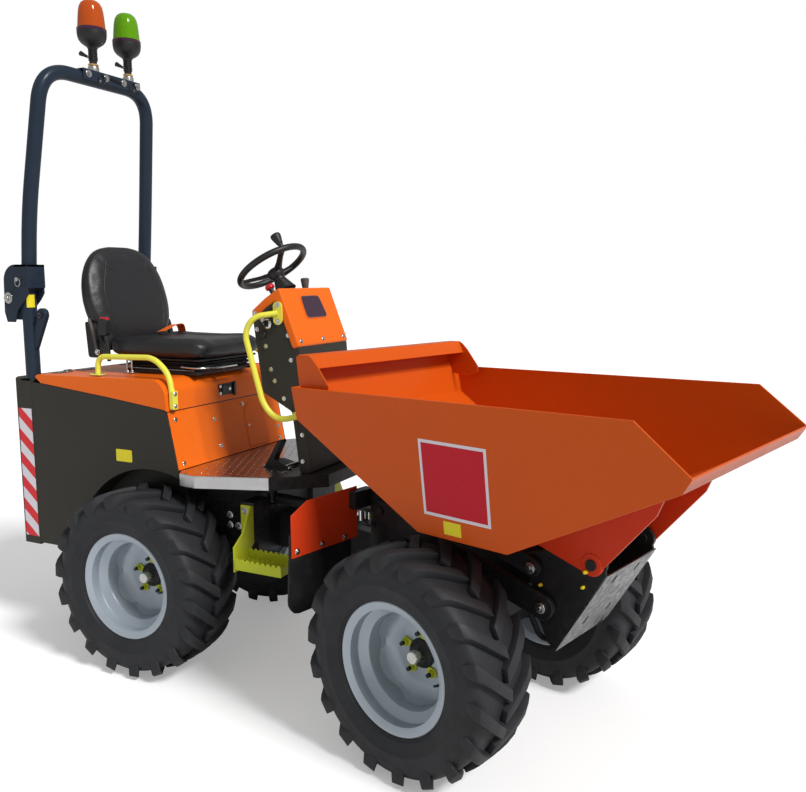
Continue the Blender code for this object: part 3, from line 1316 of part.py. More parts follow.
def ram(label, base, eye, bodies, radii, gaps, pin_axis):
    """Make a barrel and its rod between two pins.

    base and eye are points and bodies names the barrel's and the rod's body. The radii are
    the barrel's, the rod's and the base pin's. The gaps are the distance from the rod's eye
    back to the barrel's mouth, and from the base to the rod's inner end.
    """
    barrel_radius, rod_radius, pin_radius = radii
    mouth_gap, rod_gap = gaps
    base = Vector(base)
    eye = Vector(eye)
    heading = (eye - base).normalized()
    length = (eye - base).length
    mouth = length - mouth_gap
    eye_radius = pin_radius + 0.012
    half_width = 0.019
    across = Vector(pin_axis)
    bore = rod_radius + PIN_PLAY
    profile = (
        (0.0, 0.050),
        (bore, 0.050),
        (bore, mouth),
        (barrel_radius - 0.003, mouth),
        (barrel_radius, mouth - 0.004),
        (barrel_radius, 0.034),
        (barrel_radius * 0.7, eye_radius * 0.6),
        (0.0, eye_radius * 0.6),
    )
    barrel = turned(profile, base, heading, segments=14)
    ring = cylinder(base - across * half_width, base + across * half_width, eye_radius)
    hole = cylinder(
        base - across * 0.03, base + across * 0.03,
        pin_radius + PIN_PLAY, segments=PIN_SEGMENTS,
    )
    barrel = cut(fused([barrel, ring]), [hole])
    finish(barrel, f"{label}_barrel", bodies[0], "black_steel")

    rod = cylinder(base + heading * rod_gap, eye, rod_radius, segments=12)
    rod_eye = cylinder(eye - across * half_width, eye + across * half_width, 0.020)
    finish(fused([rod, rod_eye]), f"{label}_rod", bodies[1], "polished_rod")


def steer_eye_at_rest():
    """Return where the steering ram's rod eye is with the front half turned as it rests."""
    arm = Vector((STEER_RAM_EYE[0] - PIVOT_X, STEER_RAM_EYE[1], 0.0))
    arm.rotate(Matrix.Rotation(STEER_AT_REST, 3, "Z"))
    return (PIVOT_X + arm.x, arm.y, STEER_RAM_Z)


def rams():
    """Make the lifting, tipping and steering rams."""
    across = (0.0, 1.0, 0.0)
    upright = (0.0, 0.0, 1.0)
    ram("lift_ram", on_side(LIFT_RAM_BASE, 0.0), on_side(LIFT_RAM_EYE, 0.0),
        ("lift_barrel", "lift_rod"), (0.030, 0.0125, RAM_PIN_RADIUS), (0.050, 0.060), across)
    ram("tip_ram", on_side(TIP_RAM_BASE, 0.0), on_side(TIP_RAM_EYE, 0.0),
        ("tip_barrel", "tip_rod"), (0.028, 0.0125, RAM_PIN_RADIUS), (0.060, 0.060), across)
    ram("steer_ram", (*STEER_RAM_BASE, STEER_RAM_Z), steer_eye_at_rest(),
        ("steer_barrel", "steer_rod"), (0.022, 0.010, STEER_PIN_RADIUS), (0.090, 0.125), upright)


def main():
    """Build the whole machine."""
    empty_scene()
    make_bodies()
    wheels()
    axle("rear_axle", REAR, 0.0, AXLE_HEIGHT - 0.05, RAIL_LOW_Z - SEAT_GAP)
    axle("front_axle", FRONT, WHEELBASE, AXLE_HEIGHT - 0.04, 0.430)
    rear_frame()
    engine()
    side_panels()
    rear_weight()
    front_panel()
    floor()
    console()
    console_handles()
    pedal()
    steps()
    roll_bar_posts()
    hood()
    seat()
    bonnet_handles()
    roll_bar()
    beacons()
    steering_wheel()
    front_frame()
    mudguards()
    lift_arms()
    level_links()
    nose()
    skip()
    rams()
    bpy.data.collections.remove(collection("shapes_in_work"))


if __name__ == "__main__":
    main()
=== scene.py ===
"""Dressed model of an articulated site dumper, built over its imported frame.

Every sub-assembly is a class. Places are written in the machine's own coordinates, with both
halves in line: X forward from the rear axle, Y to the machine's left, Z up from the ground.
"""
import logging
import math
from dataclasses import dataclass
from dataclasses import field
from enum import Enum

import bmesh
import bpy
from mathutils import Matrix
from mathutils import Vector


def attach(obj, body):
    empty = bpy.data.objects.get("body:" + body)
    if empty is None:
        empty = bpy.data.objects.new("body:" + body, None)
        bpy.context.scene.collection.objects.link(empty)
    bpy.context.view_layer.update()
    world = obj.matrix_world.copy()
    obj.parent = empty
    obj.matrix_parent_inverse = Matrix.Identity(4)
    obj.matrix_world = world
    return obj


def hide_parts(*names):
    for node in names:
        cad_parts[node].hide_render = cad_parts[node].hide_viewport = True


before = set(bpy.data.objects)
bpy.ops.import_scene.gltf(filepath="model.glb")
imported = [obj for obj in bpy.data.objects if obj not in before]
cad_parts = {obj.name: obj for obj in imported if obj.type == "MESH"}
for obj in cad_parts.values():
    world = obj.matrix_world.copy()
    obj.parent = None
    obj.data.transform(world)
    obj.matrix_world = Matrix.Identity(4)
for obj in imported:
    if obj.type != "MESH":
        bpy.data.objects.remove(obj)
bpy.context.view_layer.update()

LOG = logging.getLogger("site_dumper")

Colour = tuple[float, float, float]
Place = tuple[float, float, float]
Flat = tuple[float, float]

ORIGIN: Place = (0.0, 0.0, 0.0)
UP: Place = (0.0, 0.0, 1.0)
SIDES = (("right", -1.0), ("left", 1.0))
BOX_FACES = [[3, 2, 1, 0], [4, 5, 6, 7], [0, 1, 5, 4], [1, 2, 6, 5], [2, 3, 7, 6], [3, 0, 4, 7]]


# Layout of the machine.


@dataclass(frozen=True)
class Layout:
    """Sizes that several sub-assemblies share, in metres and radians."""

    wheelbase: float = 1.417
    half_track: float = 0.423
    axle_height: float = 0.372
    pivot_x: float = 0.688
    steer_angle: float = math.radians(-14.84)
    middle: Flat = (0.788, -0.152)
    body_half_width: float = 0.366
    floor_top: float = 0.81
    console_half_width: float = 0.18
    panel_foot: Flat = (0.142, 0.8115)
    panel_top: Flat = (0.095, 1.0385)
    wheel_hub: Flat = (0.351, 1.61)
    wheel_tilt: float = math.radians(33.75)


LAYOUT = Layout()


class Half(Enum):
    """The two halves of the machine, which meet at the centre pivot."""

    REAR = "rear"
    FRONT = "front"

    def matrix(self) -> Matrix:
        """Return the matrix from the machine's coordinates to the frame's."""
        shift = Matrix.Translation((-LAYOUT.middle[0], -LAYOUT.middle[1], 0.0))
        if self is Half.REAR:
            return shift
        pivot = Matrix.Translation((LAYOUT.pivot_x, 0.0, 0.0))
        turn = Matrix.Rotation(LAYOUT.steer_angle, 4, "Z")
        return shift @ pivot @ turn @ pivot.inverted()


class Plane(Enum):
    """The plane in which an outline is drawn."""

    XY = "XY"
    XZ = "XZ"
    YZ = "YZ"

    def point(self, first: float, second: float, across: float) -> Vector:
        """Return the point at two outline coordinates and a distance across the plane."""
        if self is Plane.XY:
            return Vector((first, second, across))
        if self is Plane.XZ:
            return Vector((first, across, second))
        return Vector((across, first, second))


# Shader node groups: one effect each, shared by the finishes.


class EffectGroup:
    """A shader node group that is built once, with named inputs and outputs."""

    def __init__(self, name: str) -> None:
        """Start an empty group.

        Args:
            name: The group's name.
        """
        self.tree = bpy.data.node_groups.new(name, "ShaderNodeTree")
        self.entry = self.tree.nodes.new("NodeGroupInput")
        self.exit = self.tree.nodes.new("NodeGroupOutput")
        self.coordinates = self.tree.nodes.new("ShaderNodeTexCoord").outputs["Object"]

    def takes(self, name: str, kind: str, value: float | tuple[float, ...]) -> None:
        """Add a named input socket with its usual value."""
        socket = self.tree.interface.new_socket(name=name, in_out="INPUT", socket_type=kind)
        socket.default_value = value

    def gives(self, name: str, kind: str) -> None:
        """Add a named output socket."""
        self.tree.interface.new_socket(name=name, in_out="OUTPUT", socket_type=kind)

    def link(self, start: bpy.types.NodeSocket, end: bpy.types.NodeSocket) -> None:
        """Connect two sockets."""
        self.tree.links.new(start, end)

    def noise(self, scale: float, detail: float, rate: float = 0.5) -> bpy.types.Node:
        """Add a noise texture whose scale is a multiple of the group's Scale input.

        Args:
            scale: Multiple of the Scale input.
            detail: Number of octaves.
            rate: Roughness of the octaves.

        Returns:
            The noise node.
        """
        node = self.tree.nodes.new("ShaderNodeTexNoise")
        node.inputs["Detail"].default_value = detail
        node.inputs["Roughness"].default_value = rate
        times = self.maths("MULTIPLY", self.entry.outputs["Scale"], scale)
        self.link(times, node.inputs["Scale"])
        self.link(self.coordinates, node.inputs["Vector"])
        return node

    def maths(
        self,
        operation: str,
        first: bpy.types.NodeSocket,
        second: bpy.types.NodeSocket | float,
    ) -> bpy.types.NodeSocket:
        """Add a maths node and return its result."""
        node = self.tree.nodes.new("ShaderNodeMath")
        node.operation = operation
        self.link(first, node.inputs[0])
        if isinstance(second, float):
            node.inputs[1].default_value = second
        else:
            self.link(second, node.inputs[1])
        return node.outputs[0]

    def mask(self, value: bpy.types.NodeSocket, low: float, high: float) -> bpy.types.NodeSocket:
        """Return a value stretched so that low becomes 0 and high becomes 1, and clamped."""
        node = self.tree.nodes.new("ShaderNodeMapRange")
        node.inputs["From Min"].default_value = low
        node.inputs["From Max"].default_value = high
        self.link(value, node.inputs["Value"])
        return node.outputs["Result"]

    def mix(
        self,
        share: bpy.types.NodeSocket,
        first: bpy.types.NodeSocket,
        second: bpy.types.NodeSocket,
    ) -> bpy.types.NodeSocket:
        """Mix two colours and return the result."""
        node = self.tree.nodes.new("ShaderNodeMix")
        node.data_type = "RGBA"
        self.link(share, node.inputs["Factor"])
        self.link(first, node.inputs[6])
        self.link(second, node.inputs[7])
        return node.outputs[2]

    def bump(self, height: bpy.types.NodeSocket, distance: float) -> bpy.types.NodeSocket:
        """Return a normal bumped by a height, by the group's Strength input."""
        node = self.tree.nodes.new("ShaderNodeBump")
        node.inputs["Distance"].default_value = distance
        self.link(self.entry.outputs["Strength"], node.inputs["Strength"])
        self.link(height, node.inputs["Height"])
        return node.outputs["Normal"]


def weathering_group() -> bpy.types.NodeTree:
    """Build the group that fades a colour in patches and lays dirt and edge wear over it."""
    group = EffectGroup("weathering")
    for name, colour in (
        ("Base", (0.5, 0.5, 0.5, 1.0)),
        ("Fade", (0.6, 0.6, 0.6, 1.0)),
        ("Dirt", (0.2, 0.17, 0.13, 1.0)),
        ("Wear", (0.6, 0.6, 0.6, 1.0)),
    ):
        group.takes(name, "NodeSocketColor", colour)
    for name, value in (
        ("Fade Amount", 0.3), ("Dirt Amount", 0.1), ("Wear Amount", 0.1), ("Scale", 4.0),
    ):
        group.takes(name, "NodeSocketFloat", value)
    group.gives("Color", "NodeSocketColor")
    group.gives("Dirt Mask", "NodeSocketFloat")
    inputs = group.entry.outputs
    patches = group.mask(group.noise(1.0, 3.0).outputs["Fac"], 0.38, 0.64)
    faded = group.mix(
        group.maths("MULTIPLY", patches, inputs["Fade Amount"]), inputs["Base"], inputs["Fade"]
    )
    specks = group.mask(group.noise(6.0, 7.0, 0.68).outputs["Fac"], 0.50, 0.72)
    dirt = group.maths("MULTIPLY", specks, inputs["Dirt Amount"])
    dirty = group.mix(dirt, faded, inputs["Dirt"])
    geometry = group.tree.nodes.new("ShaderNodeNewGeometry")
    edge = group.mask(geometry.outputs["Pointiness"], 0.515, 0.60)
    scuffs = group.mask(group.noise(14.0, 5.0, 0.7).outputs["Fac"], 0.42, 0.60)
    worn = group.maths("MULTIPLY", group.maths("MULTIPLY", edge, scuffs), inputs["Wear Amount"])
    colour = group.mix(worn, dirty, inputs["Wear"])
    group.link(colour, group.exit.inputs["Color"])
    group.link(dirt, group.exit.inputs["Dirt Mask"])
    return group.tree


def surface_group() -> bpy.types.NodeTree:
    """Build the group that varies the roughness and gives a fine cast or sprayed surface."""
    group = EffectGroup("fine_surface")
    for name, value in (
        ("Roughness", 0.4), ("Variation", 0.1), ("Scale", 60.0), ("Strength", 0.2),
    ):
        group.takes(name, "NodeSocketFloat", value)
    group.gives("Roughness", "NodeSocketFloat")
    group.gives("Normal", "NodeSocketVector")
    inputs = group.entry.outputs
    clouds = group.maths("SUBTRACT", group.noise(0.12, 4.0).outputs["Fac"], 0.5)
    swing = group.maths("MULTIPLY", clouds, inputs["Variation"])
    group.link(group.maths("ADD", inputs["Roughness"], swing), group.exit.inputs["Roughness"])
    normal = group.bump(group.noise(1.0, 4.0, 0.6).outputs["Fac"], 0.0006)
    group.link(normal, group.exit.inputs["Normal"])
    return group.tree


def grain_group() -> bpy.types.NodeTree:
    """Build the group for the pebbled grain of vinyl and moulded rubber."""
    group = EffectGroup("pebble_grain")
    for name, value in (
        ("Roughness", 0.5), ("Variation", 0.1), ("Scale", 300.0), ("Strength", 0.4),
    ):
        group.takes(name, "NodeSocketFloat", value)
    group.gives("Roughness", "NodeSocketFloat")
    group.gives("Normal", "NodeSocketVector")
    inputs = group.entry.outputs
    cells = group.tree.nodes.new("ShaderNodeTexVoronoi")
    cells.feature = "DISTANCE_TO_EDGE"
    group.link(inputs["Scale"], cells.inputs["Scale"])
    group.link(group.coordinates, cells.inputs["Vector"])
    pebbles = group.mask(cells.outputs["Distance"], 0.0, 0.28)
    rolling = group.maths("ADD", pebbles, group.noise(0.25, 3.0).outputs["Fac"])
    group.link(group.bump(rolling, 0.0005), group.exit.inputs["Normal"])
    clouds = group.maths("SUBTRACT", group.noise(0.02, 3.0).outputs["Fac"], 0.5)
    swing = group.maths("MULTIPLY", clouds, inputs["Variation"])
    group.link(group.maths("ADD", inputs["Roughness"], swing), group.exit.inputs["Roughness"])
    return group.tree


def spangle_group() -> bpy.types.NodeTree:
    """Build the group for the crystal patches of galvanised and rolled metal."""
    group = EffectGroup("metal_spangle")
    group.takes("Base", "NodeSocketColor", (0.6, 0.6, 0.6, 1.0))
    group.takes("Shade", "NodeSocketColor", (0.45, 0.46, 0.48, 1.0))
    for name, value in (
        ("Roughness", 0.35), ("Variation", 0.25), ("Scale", 60.0), ("Strength", 0.15),
    ):
        group.takes(name, "NodeSocketFloat", value)
    group.gives("Color", "NodeSocketColor")
    group.gives("Roughness", "NodeSocketFloat")
    group.gives("Normal", "NodeSocketVector")
    inputs = group.entry.outputs
    cells = group.tree.nodes.new("ShaderNodeTexVoronoi")
    group.link(inputs["Scale"], cells.inputs["Scale"])
    group.link(group.coordinates, cells.inputs["Vector"])
    split = group.tree.nodes.new("ShaderNodeSeparateColor")
    group.link(cells.outputs["Color"], split.inputs["Color"])
    tone = split.outputs["Red"]
    clouds = group.noise(0.1, 5.0, 0.6).outputs["Fac"]
    blend = group.maths("MULTIPLY", tone, clouds)
    group.link(group.mix(blend, inputs["Base"], inputs["Shade"]), group.exit.inputs["Color"])
    swing = group.maths("MULTIPLY", group.maths("SUBTRACT", tone, 0.5), inputs["Variation"])
    group.link(group.maths("ADD", inputs["Roughness"], swing), group.exit.inputs["Roughness"])
    normal = group.bump(group.noise(3.0, 4.0).outputs["Fac"], 0.0004)
    group.link(normal, group.exit.inputs["Normal"])
    return group.tree


EFFECTS = {
    "weathering": weathering_group(),
    "fine_surface": surface_group(),
    "pebble_grain": grain_group(),
    "metal_spangle": spangle_group(),
}


# Finishes.


@dataclass(frozen=True)
class Look:
    """What every finish has.

    Attributes:
        name: The finish's name.
        slot: The record's material slot; not used.
        colour: Its main colour.
    """

    name: str
    slot: str
    colour: Colour

    def material(self) -> bpy.types.Material:
        """Return the finish's material, built when it is first asked for."""
        found = bpy.data.materials.get(f"look_{self.name}")
        if found is not None:
            return found
        made = bpy.data.materials.new(f"look_{self.name}")
        made.use_nodes = True
        self.dress(made.node_tree)
        return made

    def dress(self, tree: bpy.types.NodeTree) -> None:
        """Set the shader's values and add the effects."""
        raise NotImplementedError

    def effect(
        self, tree: bpy.types.NodeTree, name: str, values: dict[str, float | tuple[float, ...]]
    ) -> None:
        """Add an effect and plug what it gives into the shader.

        Args:
            tree: The material's nodes.
            name: The effect's name.
            values: The effect's inputs by name.
        """
        node = tree.nodes.new("ShaderNodeGroup")
        node.node_tree = EFFECTS[name]
        for socket, value in values.items():
            node.inputs[socket].default_value = value
        shader = tree.nodes["Principled BSDF"]
        for output, socket in (
            ("Color", "Base Color"), ("Roughness", "Roughness"), ("Normal", "Normal"),
        ):
            plug = node.outputs.get(output)
            if plug is not None:
                tree.links.new(plug, shader.inputs[socket])


@dataclass(frozen=True)
class Finish(Look):
    """A painted, moulded or cast finish with its sheen, its weathering and its grain.

    Attributes:
        fade: The colour of its lighter or darker patches.
        roughness: Mean roughness.
        metallic: Metallic value.
        coat: Weight of the clear coat.
        shine: Specular level of the surface under the coat.
        fade_amount: Share of the fade colour in the patches.
        dirt: Colour of the specks of dirt.
        dirt_amount: Share of dirt in the specks.
        wear: Colour of the worn edges.
        wear_amount: Share of the wear colour on the edges.
        patch_scale: Scale of the patches.
        grain: The group that gives the surface its grain.
        grain_scale: Scale of the grain.
        grain_strength: Strength of the grain's bump.
        variation: Swing of the roughness.
    """

    fade: Colour
    roughness: float = 0.4
    metallic: float = 0.0
    coat: float = 0.0
    shine: float = 0.28
    fade_amount: float = 0.18
    dirt: Colour = (0.20, 0.17, 0.13)
    dirt_amount: float = 0.04
    wear: Colour = (0.55, 0.55, 0.55)
    wear_amount: float = 0.0
    patch_scale: float = 4.0
    grain: str = "fine_surface"
    grain_scale: float = 220.0
    grain_strength: float = 0.12
    variation: float = 0.12

    def dress(self, tree: bpy.types.NodeTree) -> None:
        """Set the shader and give it the weathered colour and the grain."""
        inputs = tree.nodes["Principled BSDF"].inputs
        inputs["Metallic"].default_value = self.metallic
        inputs["Coat Weight"].default_value = self.coat
        inputs["Coat Roughness"].default_value = 0.12
        inputs["Specular IOR Level"].default_value = self.shine
        self.effect(tree, "weathering", {
            "Base": (*self.colour, 1.0), "Fade": (*self.fade, 1.0), "Dirt": (*self.dirt, 1.0),
            "Wear": (*self.wear, 1.0), "Fade Amount": self.fade_amount,
            "Dirt Amount": self.dirt_amount, "Wear Amount": self.wear_amount,
            "Scale": self.patch_scale,
        })
        self.effect(tree, self.grain, {
            "Roughness": self.roughness, "Variation": self.variation, "Scale": self.grain_scale,
            "Strength": self.grain_strength,
        })


@dataclass(frozen=True)
class BareMetal(Look):
    """A bare or plated metal whose crystal patches show."""

    shade: Colour
    roughness: float = 0.35
    variation: float = 0.25
    scale: float = 60.0
    strength: float = 0.15

    def dress(self, tree: bpy.types.NodeTree) -> None:
        """Set the shader and give it the crystal patches."""
        tree.nodes["Principled BSDF"].inputs["Metallic"].default_value = 1.0
        self.effect(tree, "metal_spangle", {
            "Base": (*self.colour, 1.0), "Shade": (*self.shade, 1.0), "Roughness": self.roughness,
            "Variation": self.variation, "Scale": self.scale, "Strength": self.strength,
        })


@dataclass(frozen=True)
class ClearLens(Look):
    """A tinted clear plastic that lets what is behind it show."""

    transmission: float = 0.35

    def dress(self, tree: bpy.types.NodeTree) -> None:
        """Set the shader and give it the fine surface of a moulding."""
        inputs = tree.nodes["Principled BSDF"].inputs
        inputs["Base Color"].default_value = (*self.colour, 1.0)
        inputs["Transmission Weight"].default_value = self.transmission
        inputs["IOR"].default_value = 1.3
        self.effect(tree, "fine_surface", {
            "Roughness": 0.12, "Variation": 0.05, "Scale": 90.0, "Strength": 0.05,
        })


ORANGE = Finish(
    "orange_paint", "orange_paint", (0.84, 0.145, 0.007), (0.78, 0.128, 0.007), roughness=0.36,
    coat=0.06, wear=(0.92, 0.38, 0.12), wear_amount=0.06, dirt_amount=0.02, shine=0.14,
)
SKIP_ORANGE = Finish(
    "skip_orange_paint", "orange_paint", (0.63, 0.090, 0.005), (0.57, 0.078, 0.005), roughness=0.34,
    coat=0.06, wear=(0.88, 0.34, 0.12), wear_amount=0.06, dirt_amount=0.02, shine=0.14,
)
# The skip's orange with painted shade: redder and darker, as the paint looks in shadow. It colours the
# skip's brackets, lugs, boss rings and the mudguards.
SKIP_ORANGE_IN_PAINTED_SHADE = Finish(
    "skip_orange_painted_shade", "orange_paint", (0.62, 0.044, 0.009), (0.56, 0.038, 0.008), roughness=0.34,
    coat=0.06, wear=(0.75, 0.16, 0.07), wear_amount=0.08, dirt_amount=0.03, shine=0.14,
)
DARK_PANEL = Finish(
    "dark_panel_paint", "dark_panel", (0.036, 0.034, 0.028), (0.042, 0.040, 0.033),
    roughness=0.46, wear=(0.12, 0.115, 0.10), wear_amount=0.08, dirt_amount=0.012, shine=0.14,
)
BLACK_STEEL = Finish(
    "black_steel_paint", "black_steel", (0.011, 0.011, 0.012), (0.018, 0.018, 0.019),
    roughness=0.42, wear=(0.16, 0.16, 0.16), wear_amount=0.12, dirt_amount=0.06,
)
ENGINE_IRON = Finish(
    "engine_iron", "engine_iron", (0.020, 0.020, 0.021), (0.030, 0.029, 0.028),
    roughness=0.6, grain_scale=120.0, grain_strength=0.4, dirt_amount=0.15,
)
BAR_BLUE = Finish(
    "roll_bar_paint", "roll_bar_blue", (0.016, 0.026, 0.043), (0.022, 0.034, 0.052),
    roughness=0.34, coat=0.08, wear=(0.12, 0.14, 0.17), wear_amount=0.06, dirt_amount=0.015, shine=0.14,
)
YELLOW = Finish(
    "yellow_powder_coat", "yellow_steel", (0.80, 0.76, 0.075), (0.74, 0.70, 0.06),
    roughness=0.38, coat=0.05, wear=(0.9, 0.9, 0.6), wear_amount=0.1, dirt_amount=0.03,
)
LIME = Finish(
    "lime_powder_coat", "lime_steel", (0.54, 0.60, 0.025), (0.46, 0.52, 0.020),
    roughness=0.42, wear=(0.7, 0.8, 0.3), wear_amount=0.1, dirt_amount=0.05,
)
RIM_SILVER = Finish(
    "rim_paint", "rim_silver", (0.42, 0.475, 0.53), (0.35, 0.40, 0.46), roughness=0.36,
    metallic=0.45, coat=0.0, wear=(0.85, 0.85, 0.85), wear_amount=0.1, shine=0.5,
)
RUBBER = Finish(
    "tyre_rubber", "tyre_rubber", (0.019, 0.020, 0.023), (0.030, 0.031, 0.033), roughness=0.58,
    dirt=(0.060, 0.056, 0.050), dirt_amount=0.12, wear=(0.060, 0.060, 0.062), wear_amount=0.12,
    grain_scale=160.0, grain_strength=0.35, variation=0.30, patch_scale=7.0, fade_amount=0.4,
)
FLAP_RUBBER = Finish(
    "flap_rubber", "orange_paint", (0.010, 0.010, 0.011), (0.015, 0.015, 0.016),
    roughness=0.55, grain_scale=200.0, grain_strength=0.2, dirt_amount=0.08,
)
VINYL = Finish(
    "seat_vinyl", "black_vinyl", (0.0105, 0.0105, 0.0125), (0.016, 0.016, 0.019), roughness=0.40,
    grain="pebble_grain", grain_scale=420.0, grain_strength=0.20, shine=0.5, dirt_amount=0.02,
)
BLACK_PLASTIC = Finish(
    "black_moulded_plastic", "black_plastic", (0.012, 0.012, 0.013), (0.018, 0.018, 0.019),
    roughness=0.42, grain="pebble_grain", grain_scale=500.0, grain_strength=0.14, shine=0.4,
)
KNOB_GREY = Finish(
    "grey_knob_plastic", "black_plastic", (0.10, 0.085, 0.080), (0.12, 0.10, 0.095),
    roughness=0.4,
)
BUTTON_RED = Finish(
    "red_button_plastic", "orange_paint", (0.52, 0.008, 0.016), (0.46, 0.007, 0.014),
    roughness=0.25, coat=0.3,
)
BELT_ORANGE = Finish(
    "belt_webbing", "black_vinyl", (0.82, 0.15, 0.010), (0.70, 0.12, 0.009), roughness=0.7,
    grain="pebble_grain", grain_scale=900.0, grain_strength=0.5,
)
PLATE_BLACK = Finish(
    "blank_dark_plate", "black_plastic", (0.040, 0.012, 0.034), (0.048, 0.015, 0.040),
    roughness=0.2, coat=0.4,
)
PLATE_YELLOW = Finish(
    "blank_yellow_plate", "orange_paint", (0.84, 0.70, 0.02), (0.74, 0.62, 0.02), roughness=0.35,
)
SIGN_RED = Finish(
    "blank_red_sign", "orange_paint", (0.56, 0.005, 0.020), (0.51, 0.004, 0.018),
    roughness=0.3, coat=0.10, shine=0.14,
)
SIGN_WHITE = Finish(
    "white_reflective_strip", "orange_paint", (0.74, 0.71, 0.76), (0.68, 0.65, 0.70),
    roughness=0.35, coat=0.10,
)
STRIPE_RED = Finish(
    "red_reflective_strip", "orange_paint", (0.72, 0.012, 0.020), (0.64, 0.010, 0.018),
    roughness=0.35, coat=0.10,
)
ALUMINIUM = BareMetal(
    "rolled_aluminium", "bright_aluminium", (0.58, 0.57, 0.57), (0.52, 0.51, 0.52),
    roughness=0.24, variation=0.05, scale=22.0, strength=0.03,
)
GALVANISED = BareMetal(
    "galvanised_sheet", "galvanised", (0.17, 0.175, 0.185), (0.145, 0.15, 0.16), roughness=0.30,
)
ZINC = BareMetal(
    "zinc_plated_bolts", "polished_rod", (0.62, 0.62, 0.60), (0.50, 0.50, 0.48),
    roughness=0.26, variation=0.1, scale=180.0,
)
CHROME = BareMetal(
    "polished_rod", "polished_rod", (0.72, 0.72, 0.73), (0.66, 0.66, 0.68), roughness=0.10,
    variation=0.04, scale=50.0, strength=0.02,
)
BRASS = BareMetal(
    "brass_nuts", "polished_rod", (0.70, 0.46, 0.18), (0.60, 0.38, 0.14), roughness=0.3,
    variation=0.1, scale=150.0,
)
AMBER = ClearLens("amber_lens", "amber_lens", (0.62, 0.105, 0.012))
GREEN = ClearLens("green_lens", "green_lens", (0.15, 0.42, 0.005))


# Outlines and paths.


def arc(centre: Flat, radius: float, start: float, end: float, steps: int = 16) -> list[Flat]:
    """Return points on an arc.

    Args:
        centre: Centre of the arc.
        radius: Its radius.
        start: Angle of the first point, in degrees from the first axis.
        end: Angle of the last point.
        steps: Number of steps between them.

    Returns:
        The points, steps + 1 of them.
    """
    turns = [math.radians(start + (end - start) * i / steps) for i in range(steps + 1)]
    return [(centre[0] + radius * math.cos(a), centre[1] + radius * math.sin(a)) for a in turns]


def link_outline(
    start: Flat, end: Flat, start_radius: float, end_radius: float, steps: int = 20
) -> list[Flat]:
    """Return the outline round two bosses."""
    heading = math.degrees(math.atan2(end[1] - start[1], end[0] - start[0]))
    far = arc(end, end_radius, heading - 90.0, heading + 90.0, steps)
    near = arc(start, start_radius, heading + 90.0, heading + 270.0, steps)
    return far + near


def rounded(outline: list[Flat], radius: float, steps: int = 4) -> list[Flat]:
    """Round every corner of a closed outline.

    Args:
        outline: The corners.
        radius: Distance from the corner at which its curve starts.
        steps: Steps of each curve.

    Returns:
        The rounded outline.
    """
    result: list[Flat] = []
    for i, point in enumerate(outline):
        corner = Vector(point)
        before = Vector(outline[i - 1]) - corner
        after = Vector(outline[(i + 1) % len(outline)]) - corner
        reach = min(radius, before.length * 0.45, after.length * 0.45)
        start = corner + before.normalized() * reach
        end = corner + after.normalized() * reach
        for j in range(steps + 1):
            t = j / steps
            result.append(tuple(start * (1 - t) ** 2 + corner * 2 * t * (1 - t) + end * t ** 2))
    return result


def smooth_path(corners: list[Place], radius: float, steps: int = 8) -> list[Vector]:
    """Return a path through corners, each one rounded by a curve that starts at the radius."""
    path = [Vector(corners[0])]
    for before, place, after in zip(corners, corners[1:], corners[2:]):
        corner = Vector(place)
        back = Vector(before) - corner
        ahead = Vector(after) - corner
        reach = min(radius, back.length / 2.0, ahead.length / 2.0)
        start = corner + back.normalized() * reach
        end = corner + ahead.normalized() * reach
        for i in range(steps + 1):
            t = i / steps
            path.append(start * (1 - t) ** 2 + corner * 2 * t * (1 - t) + end * t ** 2)
    path.append(Vector(corners[-1]))
    return path


def rectangle(low_x: float, high_x: float, low_z: float, high_z: float) -> list[Flat]:
    """Return the outline of a rectangle."""
    return [(low_x, low_z), (high_x, low_z), (high_x, high_z), (low_x, high_z)]


def loop(centre: Vector, first: Vector, second: Vector, steps: int = 24) -> list[Vector]:
    """Return a closed ring of points about a centre, drawn from its two half axes."""
    turns = [2.0 * math.pi * i / steps for i in range(steps + 1)]
    return [centre + first * math.cos(turn) + second * math.sin(turn) for turn in turns]


def squared(value: float, power: float) -> float:
    """Return a sine or cosine raised to a power with its sign, which squares off an oval."""
    return math.copysign(abs(value) ** power, value)


def on_side(place: Flat, side: float) -> Place:
    """Return an (x, z) place as a point at a distance across the machine."""
    return (place[0], side, place[1])


def mirrored(right_side: list[Flat]) -> list[Flat]:
    """Complete a plan outline from the points of its right side."""
    return list(right_side) + [(x, -y) for x, y in reversed(right_side)]


# Meshes.


def stand(name: str, mesh: bpy.types.Mesh) -> bpy.types.Object:
    """Return a new object of the scene that carries a mesh."""
    thing = bpy.data.objects.new(name, mesh)
    bpy.context.scene.collection.objects.link(thing)
    return thing


def evaluated_mesh(thing: bpy.types.Object) -> bpy.types.Mesh:
    """Return a new plain mesh of what an object's modifiers give."""
    bpy.context.view_layer.update()
    graph = bpy.context.evaluated_depsgraph_get()
    return bpy.data.meshes.new_from_object(thing.evaluated_get(graph))


def flatten(thing: bpy.types.Object) -> None:
    """Replace an object's mesh by what its modifiers give, and drop them."""
    plain = evaluated_mesh(thing)
    thing.modifiers.clear()
    old = thing.data
    thing.data = plain
    bpy.data.meshes.remove(old)


